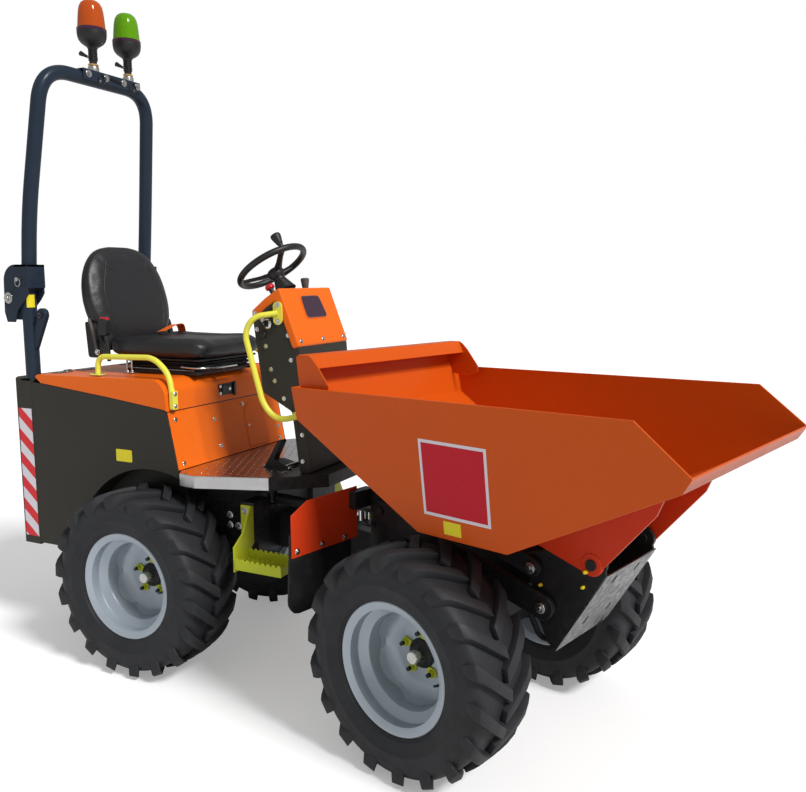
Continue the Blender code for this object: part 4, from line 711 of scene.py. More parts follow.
@dataclass
class Shape:
    """A mesh under construction in the machine's coordinates, with one slot per finish."""

    finishes: list[Look] = field(default_factory=list)
    mesh: bmesh.types.BMesh = field(default_factory=bmesh.new)

    def slot_of(self, finish: Look) -> int:
        """Return the material index of a finish, adding it if it is new."""
        if finish not in self.finishes:
            self.finishes.append(finish)
        return self.finishes.index(finish)

    def add(self, points: list[Vector], faces: list[list[int]], finish: Look) -> None:
        """Add faces over new points.

        Args:
            points: The new points.
            faces: Lists of numbers of those points.
            finish: The faces' finish.
        """
        index = self.slot_of(finish)
        made = [self.mesh.verts.new(point) for point in points]
        for face in faces:
            self.mesh.faces.new([made[i] for i in face]).material_index = index

    def box(self, low: Place, high: Place, finish: Look) -> None:
        """Add a box between two corners."""
        (x0, y0, z0), (x1, y1, z1) = (
            tuple(min(a, b) for a, b in zip(low, high)),
            tuple(max(a, b) for a, b in zip(low, high)),
        )
        points = [Vector((x, y, z)) for z in (z0, z1) for x, y in rectangle(x0, x1, y0, y1)]
        self.add(points, BOX_FACES, finish)

    def prism(
        self, outline: list[Flat], low: float, high: float, finish: Look, plane: Plane = Plane.XZ
    ) -> None:
        """Add a plate: a flat outline with thickness."""
        count = len(outline)
        points = [plane.point(a, b, across) for across in (low, high) for a, b in outline]
        area = sum(
            outline[i - 1][0] * outline[i][1] - outline[i][0] * outline[i - 1][1]
            for i in range(count)
        )
        turned_over = (area < 0.0) != (plane is Plane.XZ)
        faces = [list(range(count))[::-1], list(range(count, 2 * count))]
        faces += [[i, (i + 1) % count, count + (i + 1) % count, count + i] for i in range(count)]
        if turned_over:
            faces = [face[::-1] for face in faces]
        self.add(points, faces, finish)

    def lathe(
        self,
        profile: list[Flat],
        place: Place | Vector,
        axis: Place | Vector,
        finish: Look,
        segments: int = 48,
        closed: bool = False,
    ) -> None:
        """Turn a profile of (radius, distance along the axis) points about an axis.

        Args:
            profile: The points, whose ends lie on the axis unless the profile is closed.
            place: Point from which the distance counts.
            axis: Direction of the axis.
            finish: The finish.
            segments: Steps round the axis.
            closed: Whether the profile's last point joins its first.
        """
        turn = Vector(UP).rotation_difference(Vector(axis)).to_matrix()
        origin = Vector(place)
        index = self.slot_of(finish)
        rings: list[list[bmesh.types.BMVert]] = []
        for radius, along in profile:
            steps = 1 if radius < 1e-7 else segments
            ring = []
            for i in range(steps):
                angle = 2.0 * math.pi * i / segments
                point = Vector((radius * math.cos(angle), radius * math.sin(angle), along))
                ring.append(self.mesh.verts.new(origin + turn @ point))
            rings.append(ring)
        pairs = list(zip(rings, rings[1:]))
        if closed:
            pairs.append((rings[-1], rings[0]))
        made = []
        for first, second in pairs:
            for i in range(segments):
                corners = []
                for ring, at in ((first, i), (first, i + 1), (second, i + 1), (second, i)):
                    corner = ring[at % len(ring)]
                    if corner not in corners:
                        corners.append(corner)
                if len(corners) > 2:
                    face = self.mesh.faces.new(corners)
                    face.material_index = index
                    made.append(face)
        bmesh.ops.recalc_face_normals(self.mesh, faces=made)

    def rod(
        self,
        start: Place | Vector,
        end: Place | Vector,
        radius: float,
        finish: Look,
        end_radius: float | None = None,
        segments: int = 32,
    ) -> None:
        """Add a cylinder or a cone between two points."""
        line = Vector(end) - Vector(start)
        last = radius if end_radius is None else end_radius
        profile = [(0.0, 0.0), (radius, 0.0), (last, line.length), (0.0, line.length)]
        self.lathe(profile, start, line.normalized(), finish, segments)

    def bolt(
        self,
        place: Place | Vector,
        out: Place,
        radius: float = 0.007,
        finish: Look = ZINC,
        washer: float = 1.55,
    ) -> None:
        """Add a hexagon bolt head on its washer.

        Args:
            place: Foot of the head.
            out: Direction in which the head points.
            radius: Radius over the head's corners.
            finish: The finish.
            washer: Radius of the washer as a multiple of the head's, or 0 for none.
        """
        out_line = Vector(out).normalized()
        foot = Vector(place)
        if washer > 0.0:
            self.rod(foot, foot + out_line * radius * 0.28, radius * washer, finish, segments=20)
            foot = foot + out_line * radius * 0.26
        self.rod(foot, foot + out_line * radius * 0.72, radius, finish, radius * 0.96, segments=6)

    def pipe(self, path: list[Vector], radius: float, finish: Look, sides: int = 20) -> None:
        """Add a round bar along a path, with flat ends."""
        rings = []
        normal = Vector((0.0, 0.0, 0.0))
        for i, point in enumerate(path):
            ahead = path[min(i + 1, len(path) - 1)] - path[max(i - 1, 0)]
            ahead.normalize()
            if i == 0:
                normal = ahead.orthogonal().normalized()
            normal = (normal - ahead * normal.dot(ahead)).normalized()
            other = ahead.cross(normal)
            ring = []
            for j in range(sides):
                angle = 2.0 * math.pi * j / sides
                offset = normal * math.cos(angle) + other * math.sin(angle)
                ring.append(self.mesh.verts.new(point + offset * radius))
            rings.append(ring)
        self.join_rings(rings, finish)

    def join_rings(self, rings: list[list[bmesh.types.BMVert]], finish: Look) -> None:
        """Join rings of points by side faces and close both ends.

        Args:
            rings: The rings, all with the same number of points.
            finish: The finish.
        """
        index = self.slot_of(finish)
        count = len(rings[0])
        for first, second in zip(rings, rings[1:]):
            for i in range(count):
                j = (i + 1) % count
                corners = [first[i], first[j], second[j], second[i]]
                self.mesh.faces.new(corners).material_index = index
        self.mesh.faces.new(rings[0][::-1]).material_index = index
        self.mesh.faces.new(rings[-1]).material_index = index

    def to_mesh(self, name: str) -> bpy.types.Mesh:
        """Return everything as a new mesh with its finishes' materials, and free the shape."""
        mesh = bpy.data.meshes.new(name)
        self.mesh.to_mesh(mesh)
        self.mesh.free()
        for finish in self.finishes:
            mesh.materials.append(finish.material())
        return mesh


@dataclass
class Piece:
    """How a finished shape joins the model.

    Attributes:
        name: The piece's name.
        body: The body that it rides on.
        half: The half of the machine in whose coordinates it was made.
        replaces: The CAD nodes that it stands for.
        bevel: Width of the rounding on its edges, or 0 for none.
        bevel_segments: Segments of that rounding.
        subdivision: Levels of subdivision.
        sharp: Angle from which an edge is shown sharp, in degrees.
    """

    name: str
    body: str
    half: Half = Half.REAR
    replaces: tuple[str, ...] = ()
    bevel: float = 0.0
    bevel_segments: int = 2
    subdivision: int = 0
    sharp: float = 32.0

    def make(self, shape: Shape) -> bpy.types.Object:
        """Turn a shape into an object that stands at the origin and rides on its body.

        Args:
            shape: The finished shape.

        Returns:
            The object.
        """
        shape.mesh.transform(self.half.matrix())
        mesh = shape.to_mesh(self.name)
        thing = stand(self.name, mesh)
        if self.bevel > 0.0:
            rounding = thing.modifiers.new("rounded_edges", "BEVEL")
            rounding.width = self.bevel
            rounding.segments = self.bevel_segments
            rounding.limit_method = "ANGLE"
            rounding.angle_limit = math.radians(35.0)
            rounding.miter_outer = "MITER_ARC"
        if self.subdivision > 0:
            smoothing = thing.modifiers.new("smoothing", "SUBSURF")
            smoothing.levels = self.subdivision
            smoothing.render_levels = self.subdivision
        mesh.shade_smooth()
        mesh.set_sharp_from_angle(angle=math.radians(self.sharp))
        if self.bevel > 0.0:
            normals = thing.modifiers.new("flat_faces", "WEIGHTED_NORMAL")
            normals.keep_sharp = True
        return settle(thing, self.body, self.replaces)


def settle(
    thing: bpy.types.Object, body: str, replaced: tuple[str, ...] = ()
) -> bpy.types.Object:
    """Apply an object's modifiers and let it ride on its body.

    Args:
        thing: The object, which stands at the origin.
        body: The body.
        replaced: The CAD nodes that it stands for.

    Returns:
        The same object with a plain mesh.
    """
    if thing.modifiers:
        flatten(thing)
        thing.data.name = thing.name
    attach(thing, body)
    if replaced:
        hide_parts(*replaced)
    LOG.info("%s rides on %s with %d faces", thing.name, body, len(thing.data.polygons))
    return thing


# Geometry Nodes patterns.


class PatternTree:
    """A Geometry Nodes tree that is built once and used through modifiers."""

    def __init__(self, name: str) -> None:
        """Start a tree with a geometry input and output."""
        self.tree = bpy.data.node_groups.new(name, "GeometryNodeTree")
        for way in ("INPUT", "OUTPUT"):
            self.tree.interface.new_socket(
                name="Geometry", in_out=way, socket_type="NodeSocketGeometry"
            )
        self.entry = self.tree.nodes.new("NodeGroupInput")
        self.exit = self.tree.nodes.new("NodeGroupOutput")
        self.identifiers: dict[str, str] = {}

    def takes(self, name: str, kind: str, value: float | int | None = None) -> None:
        """Add a named input."""
        socket = self.tree.interface.new_socket(name=name, in_out="INPUT", socket_type=kind)
        if value is not None:
            socket.default_value = value
        self.identifiers[name] = socket.identifier

    def node(self, kind: str) -> bpy.types.Node:
        """Add a node."""
        return self.tree.nodes.new(kind)

    def link(self, start: bpy.types.NodeSocket, end: bpy.types.NodeSocket) -> None:
        """Connect two sockets."""
        self.tree.links.new(start, end)

    def ends_with(self, instances: bpy.types.NodeSocket) -> None:
        """Realize the instances, set their material and pass them out."""
        realize = self.node("GeometryNodeRealizeInstances")
        dress = self.node("GeometryNodeSetMaterial")
        self.link(instances, realize.inputs["Geometry"])
        self.link(realize.outputs["Geometry"], dress.inputs["Geometry"])
        self.link(self.entry.outputs["Material"], dress.inputs["Material"])
        self.link(dress.outputs["Geometry"], self.exit.inputs["Geometry"])

    def apply(self, thing: bpy.types.Object, values: dict[str, object]) -> bpy.types.Mesh:
        """Run the tree on an object and return the plain mesh that it gives.

        Args:
            thing: The object whose mesh goes in. It is removed.
            values: The tree's inputs by name.

        Returns:
            The mesh.
        """
        modifier = thing.modifiers.new("pattern", "NODES")
        modifier.node_group = self.tree
        for name, value in values.items():
            modifier[self.identifiers[name]] = value
        mesh = evaluated_mesh(thing)
        bpy.data.objects.remove(thing)
        return mesh


def ring_tree() -> PatternTree:
    """Build the tree that repeats a mesh round the Z axis."""
    pattern = PatternTree("repeat_in_ring")
    pattern.takes("Count", "NodeSocketInt", 12)
    pattern.takes("First Angle", "NodeSocketFloat", 0.0)
    pattern.takes("Material", "NodeSocketMaterial")
    points = pattern.node("GeometryNodePoints")
    pattern.link(pattern.entry.outputs["Count"], points.inputs["Count"])
    number = pattern.node("GeometryNodeInputIndex")
    step = pattern.node("ShaderNodeMath")
    step.operation = "DIVIDE"
    step.inputs[0].default_value = 2.0 * math.pi
    pattern.link(pattern.entry.outputs["Count"], step.inputs[1])
    angle = pattern.node("ShaderNodeMath")
    angle.operation = "MULTIPLY_ADD"
    pattern.link(number.outputs["Index"], angle.inputs[0])
    pattern.link(step.outputs[0], angle.inputs[1])
    pattern.link(pattern.entry.outputs["First Angle"], angle.inputs[2])
    turn = pattern.node("ShaderNodeCombineXYZ")
    pattern.link(angle.outputs[0], turn.inputs["Z"])
    place = pattern.node("GeometryNodeInstanceOnPoints")
    pattern.link(points.outputs[0], place.inputs["Points"])
    pattern.link(pattern.entry.outputs["Geometry"], place.inputs["Instance"])
    pattern.link(turn.outputs["Vector"], place.inputs["Rotation"])
    pattern.ends_with(place.outputs["Instances"])
    return pattern


def stud_tree() -> PatternTree:
    """Build the tree that sets a small turned stud on every point, along its facing."""
    pattern = PatternTree("studs_on_points")
    pattern.takes("Radius", "NodeSocketFloat", 0.006)
    pattern.takes("Height", "NodeSocketFloat", 0.004)
    pattern.takes("Sides", "NodeSocketInt", 6)
    pattern.takes("Washer Radius", "NodeSocketFloat", 0.009)
    pattern.takes("Washer Height", "NodeSocketFloat", 0.0015)
    pattern.takes("Material", "NodeSocketMaterial")
    join = pattern.node("GeometryNodeJoinGeometry")
    for radius, height, sides in (
        ("Radius", "Height", "Sides"), ("Washer Radius", "Washer Height", None),
    ):
        cone = pattern.node("GeometryNodeMeshCone")
        if sides is None:
            cone.inputs["Vertices"].default_value = 20
        else:
            pattern.link(pattern.entry.outputs[sides], cone.inputs["Vertices"])
        narrower = pattern.node("ShaderNodeMath")
        narrower.operation = "MULTIPLY"
        narrower.inputs[1].default_value = 0.86
        pattern.link(pattern.entry.outputs[radius], narrower.inputs[0])
        pattern.link(narrower.outputs[0], cone.inputs["Radius Top"])
        pattern.link(pattern.entry.outputs[radius], cone.inputs["Radius Bottom"])
        pattern.link(pattern.entry.outputs[height], cone.inputs["Depth"])
        pattern.link(cone.outputs["Mesh"], join.inputs["Geometry"])
    facing = pattern.node("GeometryNodeInputNamedAttribute")
    facing.data_type = "FLOAT_VECTOR"
    facing.inputs["Name"].default_value = "facing"
    align = pattern.node("FunctionNodeAlignRotationToVector")
    align.axis = "Z"
    pattern.link(facing.outputs["Attribute"], align.inputs["Vector"])
    place = pattern.node("GeometryNodeInstanceOnPoints")
    pattern.link(pattern.entry.outputs["Geometry"], place.inputs["Points"])
    pattern.link(join.outputs["Geometry"], place.inputs["Instance"])
    pattern.link(align.outputs["Rotation"], place.inputs["Rotation"])
    pattern.ends_with(place.outputs["Instances"])
    return pattern


PATTERNS = {"ring": ring_tree(), "studs": stud_tree()}


@dataclass
class Studs:
    """Like fasteners or dimples on listed places.

    Attributes:
        name: The piece's name.
        body: The body that it rides on.
        finish: The finish.
        radius: Radius of the head.
        height: Height of the head.
        sides: Sides of the head.
        washer_radius: Radius of the washer.
        washer_height: Height of the washer.
        half: The half of the machine in whose coordinates the places are.
        places: The places and the direction in which each head points.
    """

    name: str
    body: str
    finish: Look = ZINC
    radius: float = 0.0065
    height: float = 0.0045
    sides: int = 6
    washer_radius: float = 0.0095
    washer_height: float = 0.0012
    half: Half = Half.REAR
    places: list[tuple[Vector, Vector]] = field(default_factory=list)

    def at(self, place: Place | Vector, facing: Place | Vector) -> None:
        """Add a place and the direction in which its head points."""
        self.places.append((Vector(place), Vector(facing).normalized()))

    def make(self) -> bpy.types.Object:
        """Build the studs and return them as one object."""
        points = bpy.data.meshes.new(self.name)
        points.from_pydata([place for place, _ in self.places], [], [])
        facing = points.attributes.new("facing", "FLOAT_VECTOR", "POINT")
        facing.data.foreach_set("vector", [value for _, out in self.places for value in out])
        mesh = PATTERNS["studs"].apply(stand(self.name, points), {
            "Radius": self.radius, "Height": self.height, "Sides": self.sides,
            "Washer Radius": self.washer_radius, "Washer Height": self.washer_height,
            "Material": self.finish.material(),
        })
        mesh.transform(self.half.matrix())
        mesh.shade_smooth()
        mesh.set_sharp_from_angle(angle=math.radians(30.0))
        return settle(stand(self.name, mesh), self.body)


# Wheels.


class Corner(Enum):
    """The four wheels, named as their bodies are."""

    REAR_RIGHT = "rear_right"
    REAR_LEFT = "rear_left"
    FRONT_RIGHT = "front_right"
    FRONT_LEFT = "front_left"

    @property
    def half(self) -> Half:
        """Return the half that carries the wheel."""
        return Half.FRONT if "front" in self.value else Half.REAR

    @property
    def outward(self) -> float:
        """Return the direction across the machine in which the wheel faces."""
        return -1.0 if "right" in self.value else 1.0

    @property
    def centre(self) -> Vector:
        """Return the wheel's centre in the machine's coordinates."""
        x = LAYOUT.wheelbase if self.half is Half.FRONT else 0.0
        return Vector((x, self.outward * LAYOUT.half_track, LAYOUT.axle_height))

    @property
    def matrix(self) -> Matrix:
        """Return the matrix that sets a wheel made about the Z axis on its axle, facing out."""
        turn = Vector(UP).rotation_difference(Vector((0.0, self.outward, 0.0)))
        return Matrix.Translation(self.centre) @ turn.to_matrix().to_4x4()


@dataclass
class Tyre:
    """A traction tyre with a bar tread.

    Attributes:
        corner: Where it sits.
        radius: Radius over the bars.
        half_width: Half of its width; not used.
        bars_a_side: Number of bars on each side of the middle.
        bar_depth: Height of the bars at the middle.
        segments: Steps of the casing round the axle.
    """

    corner: Corner
    radius: float = 0.372
    half_width: float = 0.132
    bars_a_side: int = 18
    bar_depth: float = 0.024
    segments: int = 96

    def carcass(self) -> list[Flat]:
        """Return the closed profile of the casing as (radius, distance across) points."""
        tread = self.radius - self.bar_depth
        side = [
            (0.1985, 0.1045), (0.206, 0.1085), (0.214, 0.1095), (0.2155, 0.1125), (0.221, 0.1150),
            (0.2225, 0.1180), (0.240, 0.1245), (0.262, 0.1285), (0.264, 0.1300), (0.270, 0.1300),
            (0.272, 0.1288), (0.296, 0.1290), (0.316, 0.1262), (0.332, 0.118), (0.342, 0.104),
            (tread - 0.002, 0.080), (tread, 0.050), (tread, 0.0),
        ]
        inner = [(0.330, 0.0), (0.326, 0.085), (0.305, 0.115), (0.215, 0.0925)]
        outer = side + [(radius, -along) for radius, along in reversed(side[:-1])]
        lining = [(radius, -along) for radius, along in reversed(inner)] + inner[1:]
        return outer + lining

    def bar(self, side: float) -> bpy.types.Object:
        """Build one tread bar about the Z axis, running from the middle to one shoulder.

        Args:
            side: 1 for the bars on the outward side, -1 for the others.

        Returns:
            The bar as an object.
        """
        # Columns: distance across, radius of the top, radius of the foot, lag in degrees,
        # half width of the top in degrees, half width of the foot in degrees.
        stations = (
            (-0.010, 0.3705, 0.338, -1.5, 3.0, 3.6),
            (0.004, 0.3720, 0.338, 0.2, 3.1, 3.8),
            (0.045, 0.3720, 0.336, 5.2, 3.2, 3.9),
            (0.085, 0.3710, 0.332, 10.6, 3.4, 4.1),
            (0.112, 0.3665, 0.322, 14.6, 3.7, 4.5),
            (0.1295, 0.3560, 0.310, 17.0, 3.9, 4.7),
            (0.1320, 0.3340, 0.300, 17.8, 3.6, 4.4),
            (0.1290, 0.3060, 0.290, 18.4, 2.4, 3.2),
        )
        shape = Shape()
        rows = []
        for across, top, foot, lag, top_half, foot_half in stations:
            inward = 0.012 if across > 0.12 else 0.0
            row = []
            for radius, offset, shift in (
                (foot, -foot_half, inward), (top, -top_half, 0.0), (top, top_half, 0.0),
                (foot, foot_half, inward),
            ):
                angle = math.radians(lag + offset) * -self.corner.outward
                row.append(shape.mesh.verts.new((
                    radius * math.cos(angle), radius * math.sin(angle), side * (across - shift),
                )))
            rows.append(row)
        shape.join_rings(rows, RUBBER)
        bmesh.ops.recalc_face_normals(shape.mesh, faces=shape.mesh.faces)
        thing = stand("tread_bar", shape.to_mesh("tread_bar"))
        rounding = thing.modifiers.new("worn_edges", "BEVEL")
        rounding.width = 0.0018
        rounding.segments = 2
        rounding.limit_method = "ANGLE"
        rounding.angle_limit = math.radians(40.0)
        return thing

    def build(self) -> bpy.types.Object:
        """Build the tyre with its bars and return it."""
        shape = Shape()
        shape.lathe(self.carcass(), ORIGIN, UP, RUBBER, self.segments, closed=True)
        pitch = 2.0 * math.pi / self.bars_a_side
        for side, first in ((1.0, 0.0), (-1.0, pitch / 2.0)):
            bars = PATTERNS["ring"].apply(self.bar(side), {
                "Count": self.bars_a_side, "First Angle": first, "Material": RUBBER.material(),
            })
            shape.mesh.from_mesh(bars)
            bpy.data.meshes.remove(bars)
        shape.mesh.transform(self.corner.matrix)
        name = f"tyre_{self.corner.value}"
        piece = Piece(
            f"{name}_dressed", f"wheel_{self.corner.value}", self.corner.half, (name,), sharp=38.0
        )
        return piece.make(shape)


@dataclass
class Rim:
    """A deep dished rim with a lobed disc, wheel nuts, nut pointers and a hub cap."""

    corner: Corner
    disc_face: float = -0.043
    nut_circle: float = 0.070
    nuts: int = 5
    first_nut: float = math.radians(20.0)

    def profile(self) -> list[Flat]:
        """Return the rim's section as (radius, distance along the axle) points."""
        return [
            (0.1840, 0.1015), (0.1905, 0.1045), (0.2050, 0.1110), (0.2090, 0.1120), (0.2120, 0.1100),
            (0.2125, 0.1065), (0.2085, 0.1055), (0.1985, 0.1055), (0.1960, 0.1000), (0.1945, 0.0680),
            (0.1920, 0.0600), (0.1640, 0.0420), (0.1605, 0.0360), (0.1600, -0.0660),
            (0.1640, -0.0740), (0.1945, -0.0950), (0.1985, -0.1055), (0.2125, -0.1075),
            (0.2120, -0.1110), (0.2060, -0.1120), (0.1860, -0.1040), (0.1820, -0.0980),
            (0.1570, -0.0800), (0.1545, -0.0740), (0.1545, 0.0380), (0.1570, 0.0440),
            (0.1850, 0.0640), (0.1870, 0.0700),
        ]

    def disc(self, shape: Shape) -> None:
        """Add the disc, whose edge waves between the places where it is welded to the rim."""
        face = self.disc_face
        rows = (
            (0.038, face), (0.050, face), (0.098, face), (0.118, face + 0.003),
            (0.134, face + 0.012), (0.146, face + 0.030), (0.1535, face + 0.052),
        )
        segments = 96
        lobes = 6
        index = shape.slot_of(RIM_SILVER)
        rings = []
        for wall in (0.0, -0.008):
            for radius, along in rows if wall == 0.0 else reversed(rows):
                ring = []
                for i in range(segments):
                    angle = 2.0 * math.pi * i / segments
                    wave = 0.5 + 0.5 * math.cos(lobes * angle)
                    reach = max(radius - 0.13, 0.0) / 0.0235
                    height = along + wall - 0.022 * wave ** 2 * reach
                    ring.append(shape.mesh.verts.new(
                        (radius * math.cos(angle), radius * math.sin(angle), height)
                    ))
                rings.append(ring)
        rings.append(rings[0])
        made = []
        for first, second in zip(rings, rings[1:]):
            for i in range(segments):
                j = (i + 1) % segments
                face_made = shape.mesh.faces.new([first[i], first[j], second[j], second[i]])
                face_made.material_index = index
                made.append(face_made)
        bmesh.ops.recalc_face_normals(shape.mesh, faces=made)

    def pointer(self, shape: Shape, angle: float) -> None:
        """Add one nut with its stud and the lime pointer that shows if it turns."""
        face = self.disc_face
        out = Vector((math.cos(angle), math.sin(angle), 0.0))
        spot = out * self.nut_circle
        heading = angle + math.radians(200.0)
        tip = Vector((math.cos(heading), math.sin(heading), 0.0))
        across = Vector((-tip.y, tip.x, 0.0))
        outline = []
        for i in range(13):
            turn = math.radians(60.0 + 240.0 * i / 12)
            outline.append(spot + (tip * math.cos(turn) + across * math.sin(turn)) * 0.0165)
        outline.append(spot + tip * 0.034)
        flat = [(point.x, point.y) for point in outline]
        shape.prism(flat, face + 0.001, face + 0.006, LIME, Plane.XY)
        base = Vector((spot.x, spot.y, face))
        up = Vector(UP)
        shape.rod(base + up * 0.004, base + up * 0.018, 0.0125, LIME, 0.0115, 6)
        shape.rod(base + up * 0.016, base + up * 0.030, 0.0075, BLACK_STEEL, 0.0070, 16)

    def build(self) -> bpy.types.Object:
        """Build the rim and return it."""
        shape = Shape()
        shape.lathe(self.profile(), ORIGIN, UP, RIM_SILVER, 96, closed=True)
        self.disc(shape)
        face = self.disc_face
        hub = [
            (0.0, face + 0.020), (0.030, face + 0.020), (0.034, face + 0.017), (0.046, face + 0.012),
            (0.0485, face + 0.008), (0.0485, face - 0.011), (0.0, face - 0.011),
        ]
        shape.lathe(hub, ORIGIN, UP, BLACK_STEEL, 48)
        cap = [
            (0.0, face + 0.056), (0.019, face + 0.056), (0.0215, face + 0.053), (0.0215, face + 0.019),
            (0.0, face + 0.019),
        ]
        shape.lathe(cap, ORIGIN, UP, ZINC, 40)
        for i in range(self.nuts):
            self.pointer(shape, self.first_nut + 2.0 * math.pi * i / self.nuts)
        valve = (0.178, 0.0, 0.090)
        shape.rod(valve, (0.168, 0.0, 0.108), 0.0045, BLACK_PLASTIC, 0.0035, 12)
        shape.mesh.transform(self.corner.matrix)
        name = f"rim_{self.corner.value}"
        piece = Piece(
            f"{name}_dressed", f"wheel_{self.corner.value}", self.corner.half, (name,), sharp=28.0
        )
        return piece.make(shape)


# Rear bodywork.


@dataclass
class SidePanels:
    """The dark panels with a wheel arch and its lining on each side of the engine."""

    arch_radius: float = 0.43
    arch_inner: float = 0.272
    sheet: float = 0.004
    rear_x: float = -0.657
    base_z: float = 0.41
    front_foot: Flat = LAYOUT.panel_foot
    front_top: Flat = LAYOUT.panel_top
    seam: tuple[Flat, ...] = ((0.074, 1.046), (-0.199, 1.077), (-0.656, 1.122))

    def opening(self, radius: float, steps: int = 60) -> list[Flat]:
        """Return the arch's edge from its rear foot to its front end."""
        foot = 180.0 - math.degrees(math.asin((self.base_z - LAYOUT.axle_height) / radius))
        front = math.degrees(math.acos(self.front_foot[0] / radius))
        return arc((0.0, LAYOUT.axle_height), radius, foot, front, steps)

    def build(self) -> None:
        """Build both panels, their arch linings and inner walls, and the blank plate on the right one."""
        arch = self.opening(self.arch_radius)
        skin = [(self.rear_x, self.base_z), *arch, self.front_foot, self.front_top, *self.seam]
        behind = self.opening(self.arch_radius + self.sheet)
        lining = arch + behind[::-1]
        wall_front = self.front_foot[0] - 0.04
        wall = [(-0.50, 0.46), (-0.50, 0.90), (wall_front, 0.90), (wall_front, 0.46)]
        half = LAYOUT.body_half_width
        for name, side in SIDES:
            shape = Shape()
            shape.prism(skin, side * (half - self.sheet), side * half, DARK_PANEL)
            shape.prism(lining, side * self.arch_inner, side * (half - self.sheet / 2), DARK_PANEL)
            shape.prism(wall, side * (self.arch_inner - self.sheet), side * self.arch_inner, DARK_PANEL)
            node = f"side_panel_{name}"
            Piece(f"{node}_dressed", "rear_chassis", replaces=(node,), bevel=0.0011).make(shape)
        plate = Shape()
        plate.prism(
            rounded(rectangle(-0.183, -0.098, 0.822, 0.872), 0.005),
            -half - 0.0008, -half + 0.0004, PLATE_YELLOW,
        )
        Piece("blank_side_plate", "rear_chassis").make(plate)


@dataclass
class RearWeight:
    """The rear end plate with its cut corners, hinge knuckles, side stripes and bolts."""

    rear_x: float = -0.7925
    corner_x: float = -0.752
    corner_y: float = 0.325
    front_x: float = -0.6573
    base_z: float = 0.40
    top_z: float = 1.136
    wall: float = 0.018
    stripe_low: float = 0.435
    stripe_high: float = 1.005
    stripes: int = 11

    def shell(self) -> Shape:
        """Return the wrapped plate with its lid and hinge knuckles."""
        half = LAYOUT.body_half_width
        shape = Shape()
        outer = mirrored([(self.rear_x, -self.corner_y), (self.corner_x, -half), (self.front_x, -half)])
        ring = mirrored([(self.front_x, -half), (self.corner_x, -half), (self.rear_x, -self.corner_y)])
        inner_rear = self.rear_x + self.wall
        inner = mirrored([
            (self.front_x, -half + self.wall),
            (self.corner_x + self.wall / 2, -half + self.wall),
            (inner_rear, -self.corner_y + 0.01),
        ])
        wall = ring + inner[::-1]
        shape.prism(wall, self.base_z, self.top_z - 0.004, DARK_PANEL, Plane.XY)
        shape.prism(outer, self.top_z - 0.010, self.top_z, DARK_PANEL, Plane.XY)
        lid_front = -0.643
        shape.box((-0.72, -half, self.top_z - 0.012), (lid_front, half, self.top_z), DARK_PANEL)
        for low, high in ((-0.215, -0.175), (0.175, 0.215)):
            knuckle = link_outline((lid_front - 0.004, self.top_z - 0.006), (-0.628, 1.150), 0.006, 0.011)
            shape.prism(knuckle, low, high, DARK_PANEL)
        return shape

    def corner_stripes(self) -> None:
        """Lay the slanting red and white strip on both sides, next to the rear edge."""
        half = LAYOUT.body_half_width
        rear = self.corner_x + 0.008
        front = self.front_x - 0.008
        slant = 0.066
        pitch = (self.stripe_high - self.stripe_low) / self.stripes
        for name, side in SIDES:
            shape = Shape()
            shape.slot_of(SIGN_WHITE)
            for i in range(-2, self.stripes + 2):
                finish = STRIPE_RED if i % 2 else SIGN_WHITE
                near = self.stripe_low + i * pitch
                outline = self.clipped([
                    (rear, near + slant), (front, near), (front, near + pitch),
                    (rear, near + pitch + slant),
                ])
                if len(outline) > 2:
                    shape.prism(outline, side * (half - 0.0004), side * (half + 0.0007), finish)
            Piece(f"corner_stripes_{name}", "rear_chassis").make(shape)

    def clipped(self, outline: list[Flat]) -> list[Flat]:
        """Return an outline cut off below and above the strip."""
        for limit, sign in ((self.stripe_low, 1.0), (self.stripe_high, -1.0)):
            kept: list[Flat] = []
            for i, (x, z) in enumerate(outline):
                before_x, before_z = outline[i - 1]
                inside = (z - limit) * sign >= 0.0
                if inside != ((before_z - limit) * sign >= 0.0):
                    share = (limit - before_z) / (z - before_z)
                    kept.append((before_x + (x - before_x) * share, limit))
                if inside:
                    kept.append((x, z))
            outline = kept
        return outline

    def build(self) -> None:
        """Build the plate, the stripes and the fasteners."""
        Piece("rear_weight_dressed", "rear_chassis", replaces=("rear_weight",), bevel=0.003).make(
            self.shell()
        )
        self.corner_stripes()
        bolts = Studs(
            "rear_weight_bolts", "rear_chassis", radius=0.011, height=0.0038, washer_radius=0.017
        )
        for y in (-0.22, 0.22):
            for z in (0.50, 0.93):
                bolts.at((self.rear_x + 0.0004, y, z), (-1.0, 0.0, 0.0))
        bolts.make()


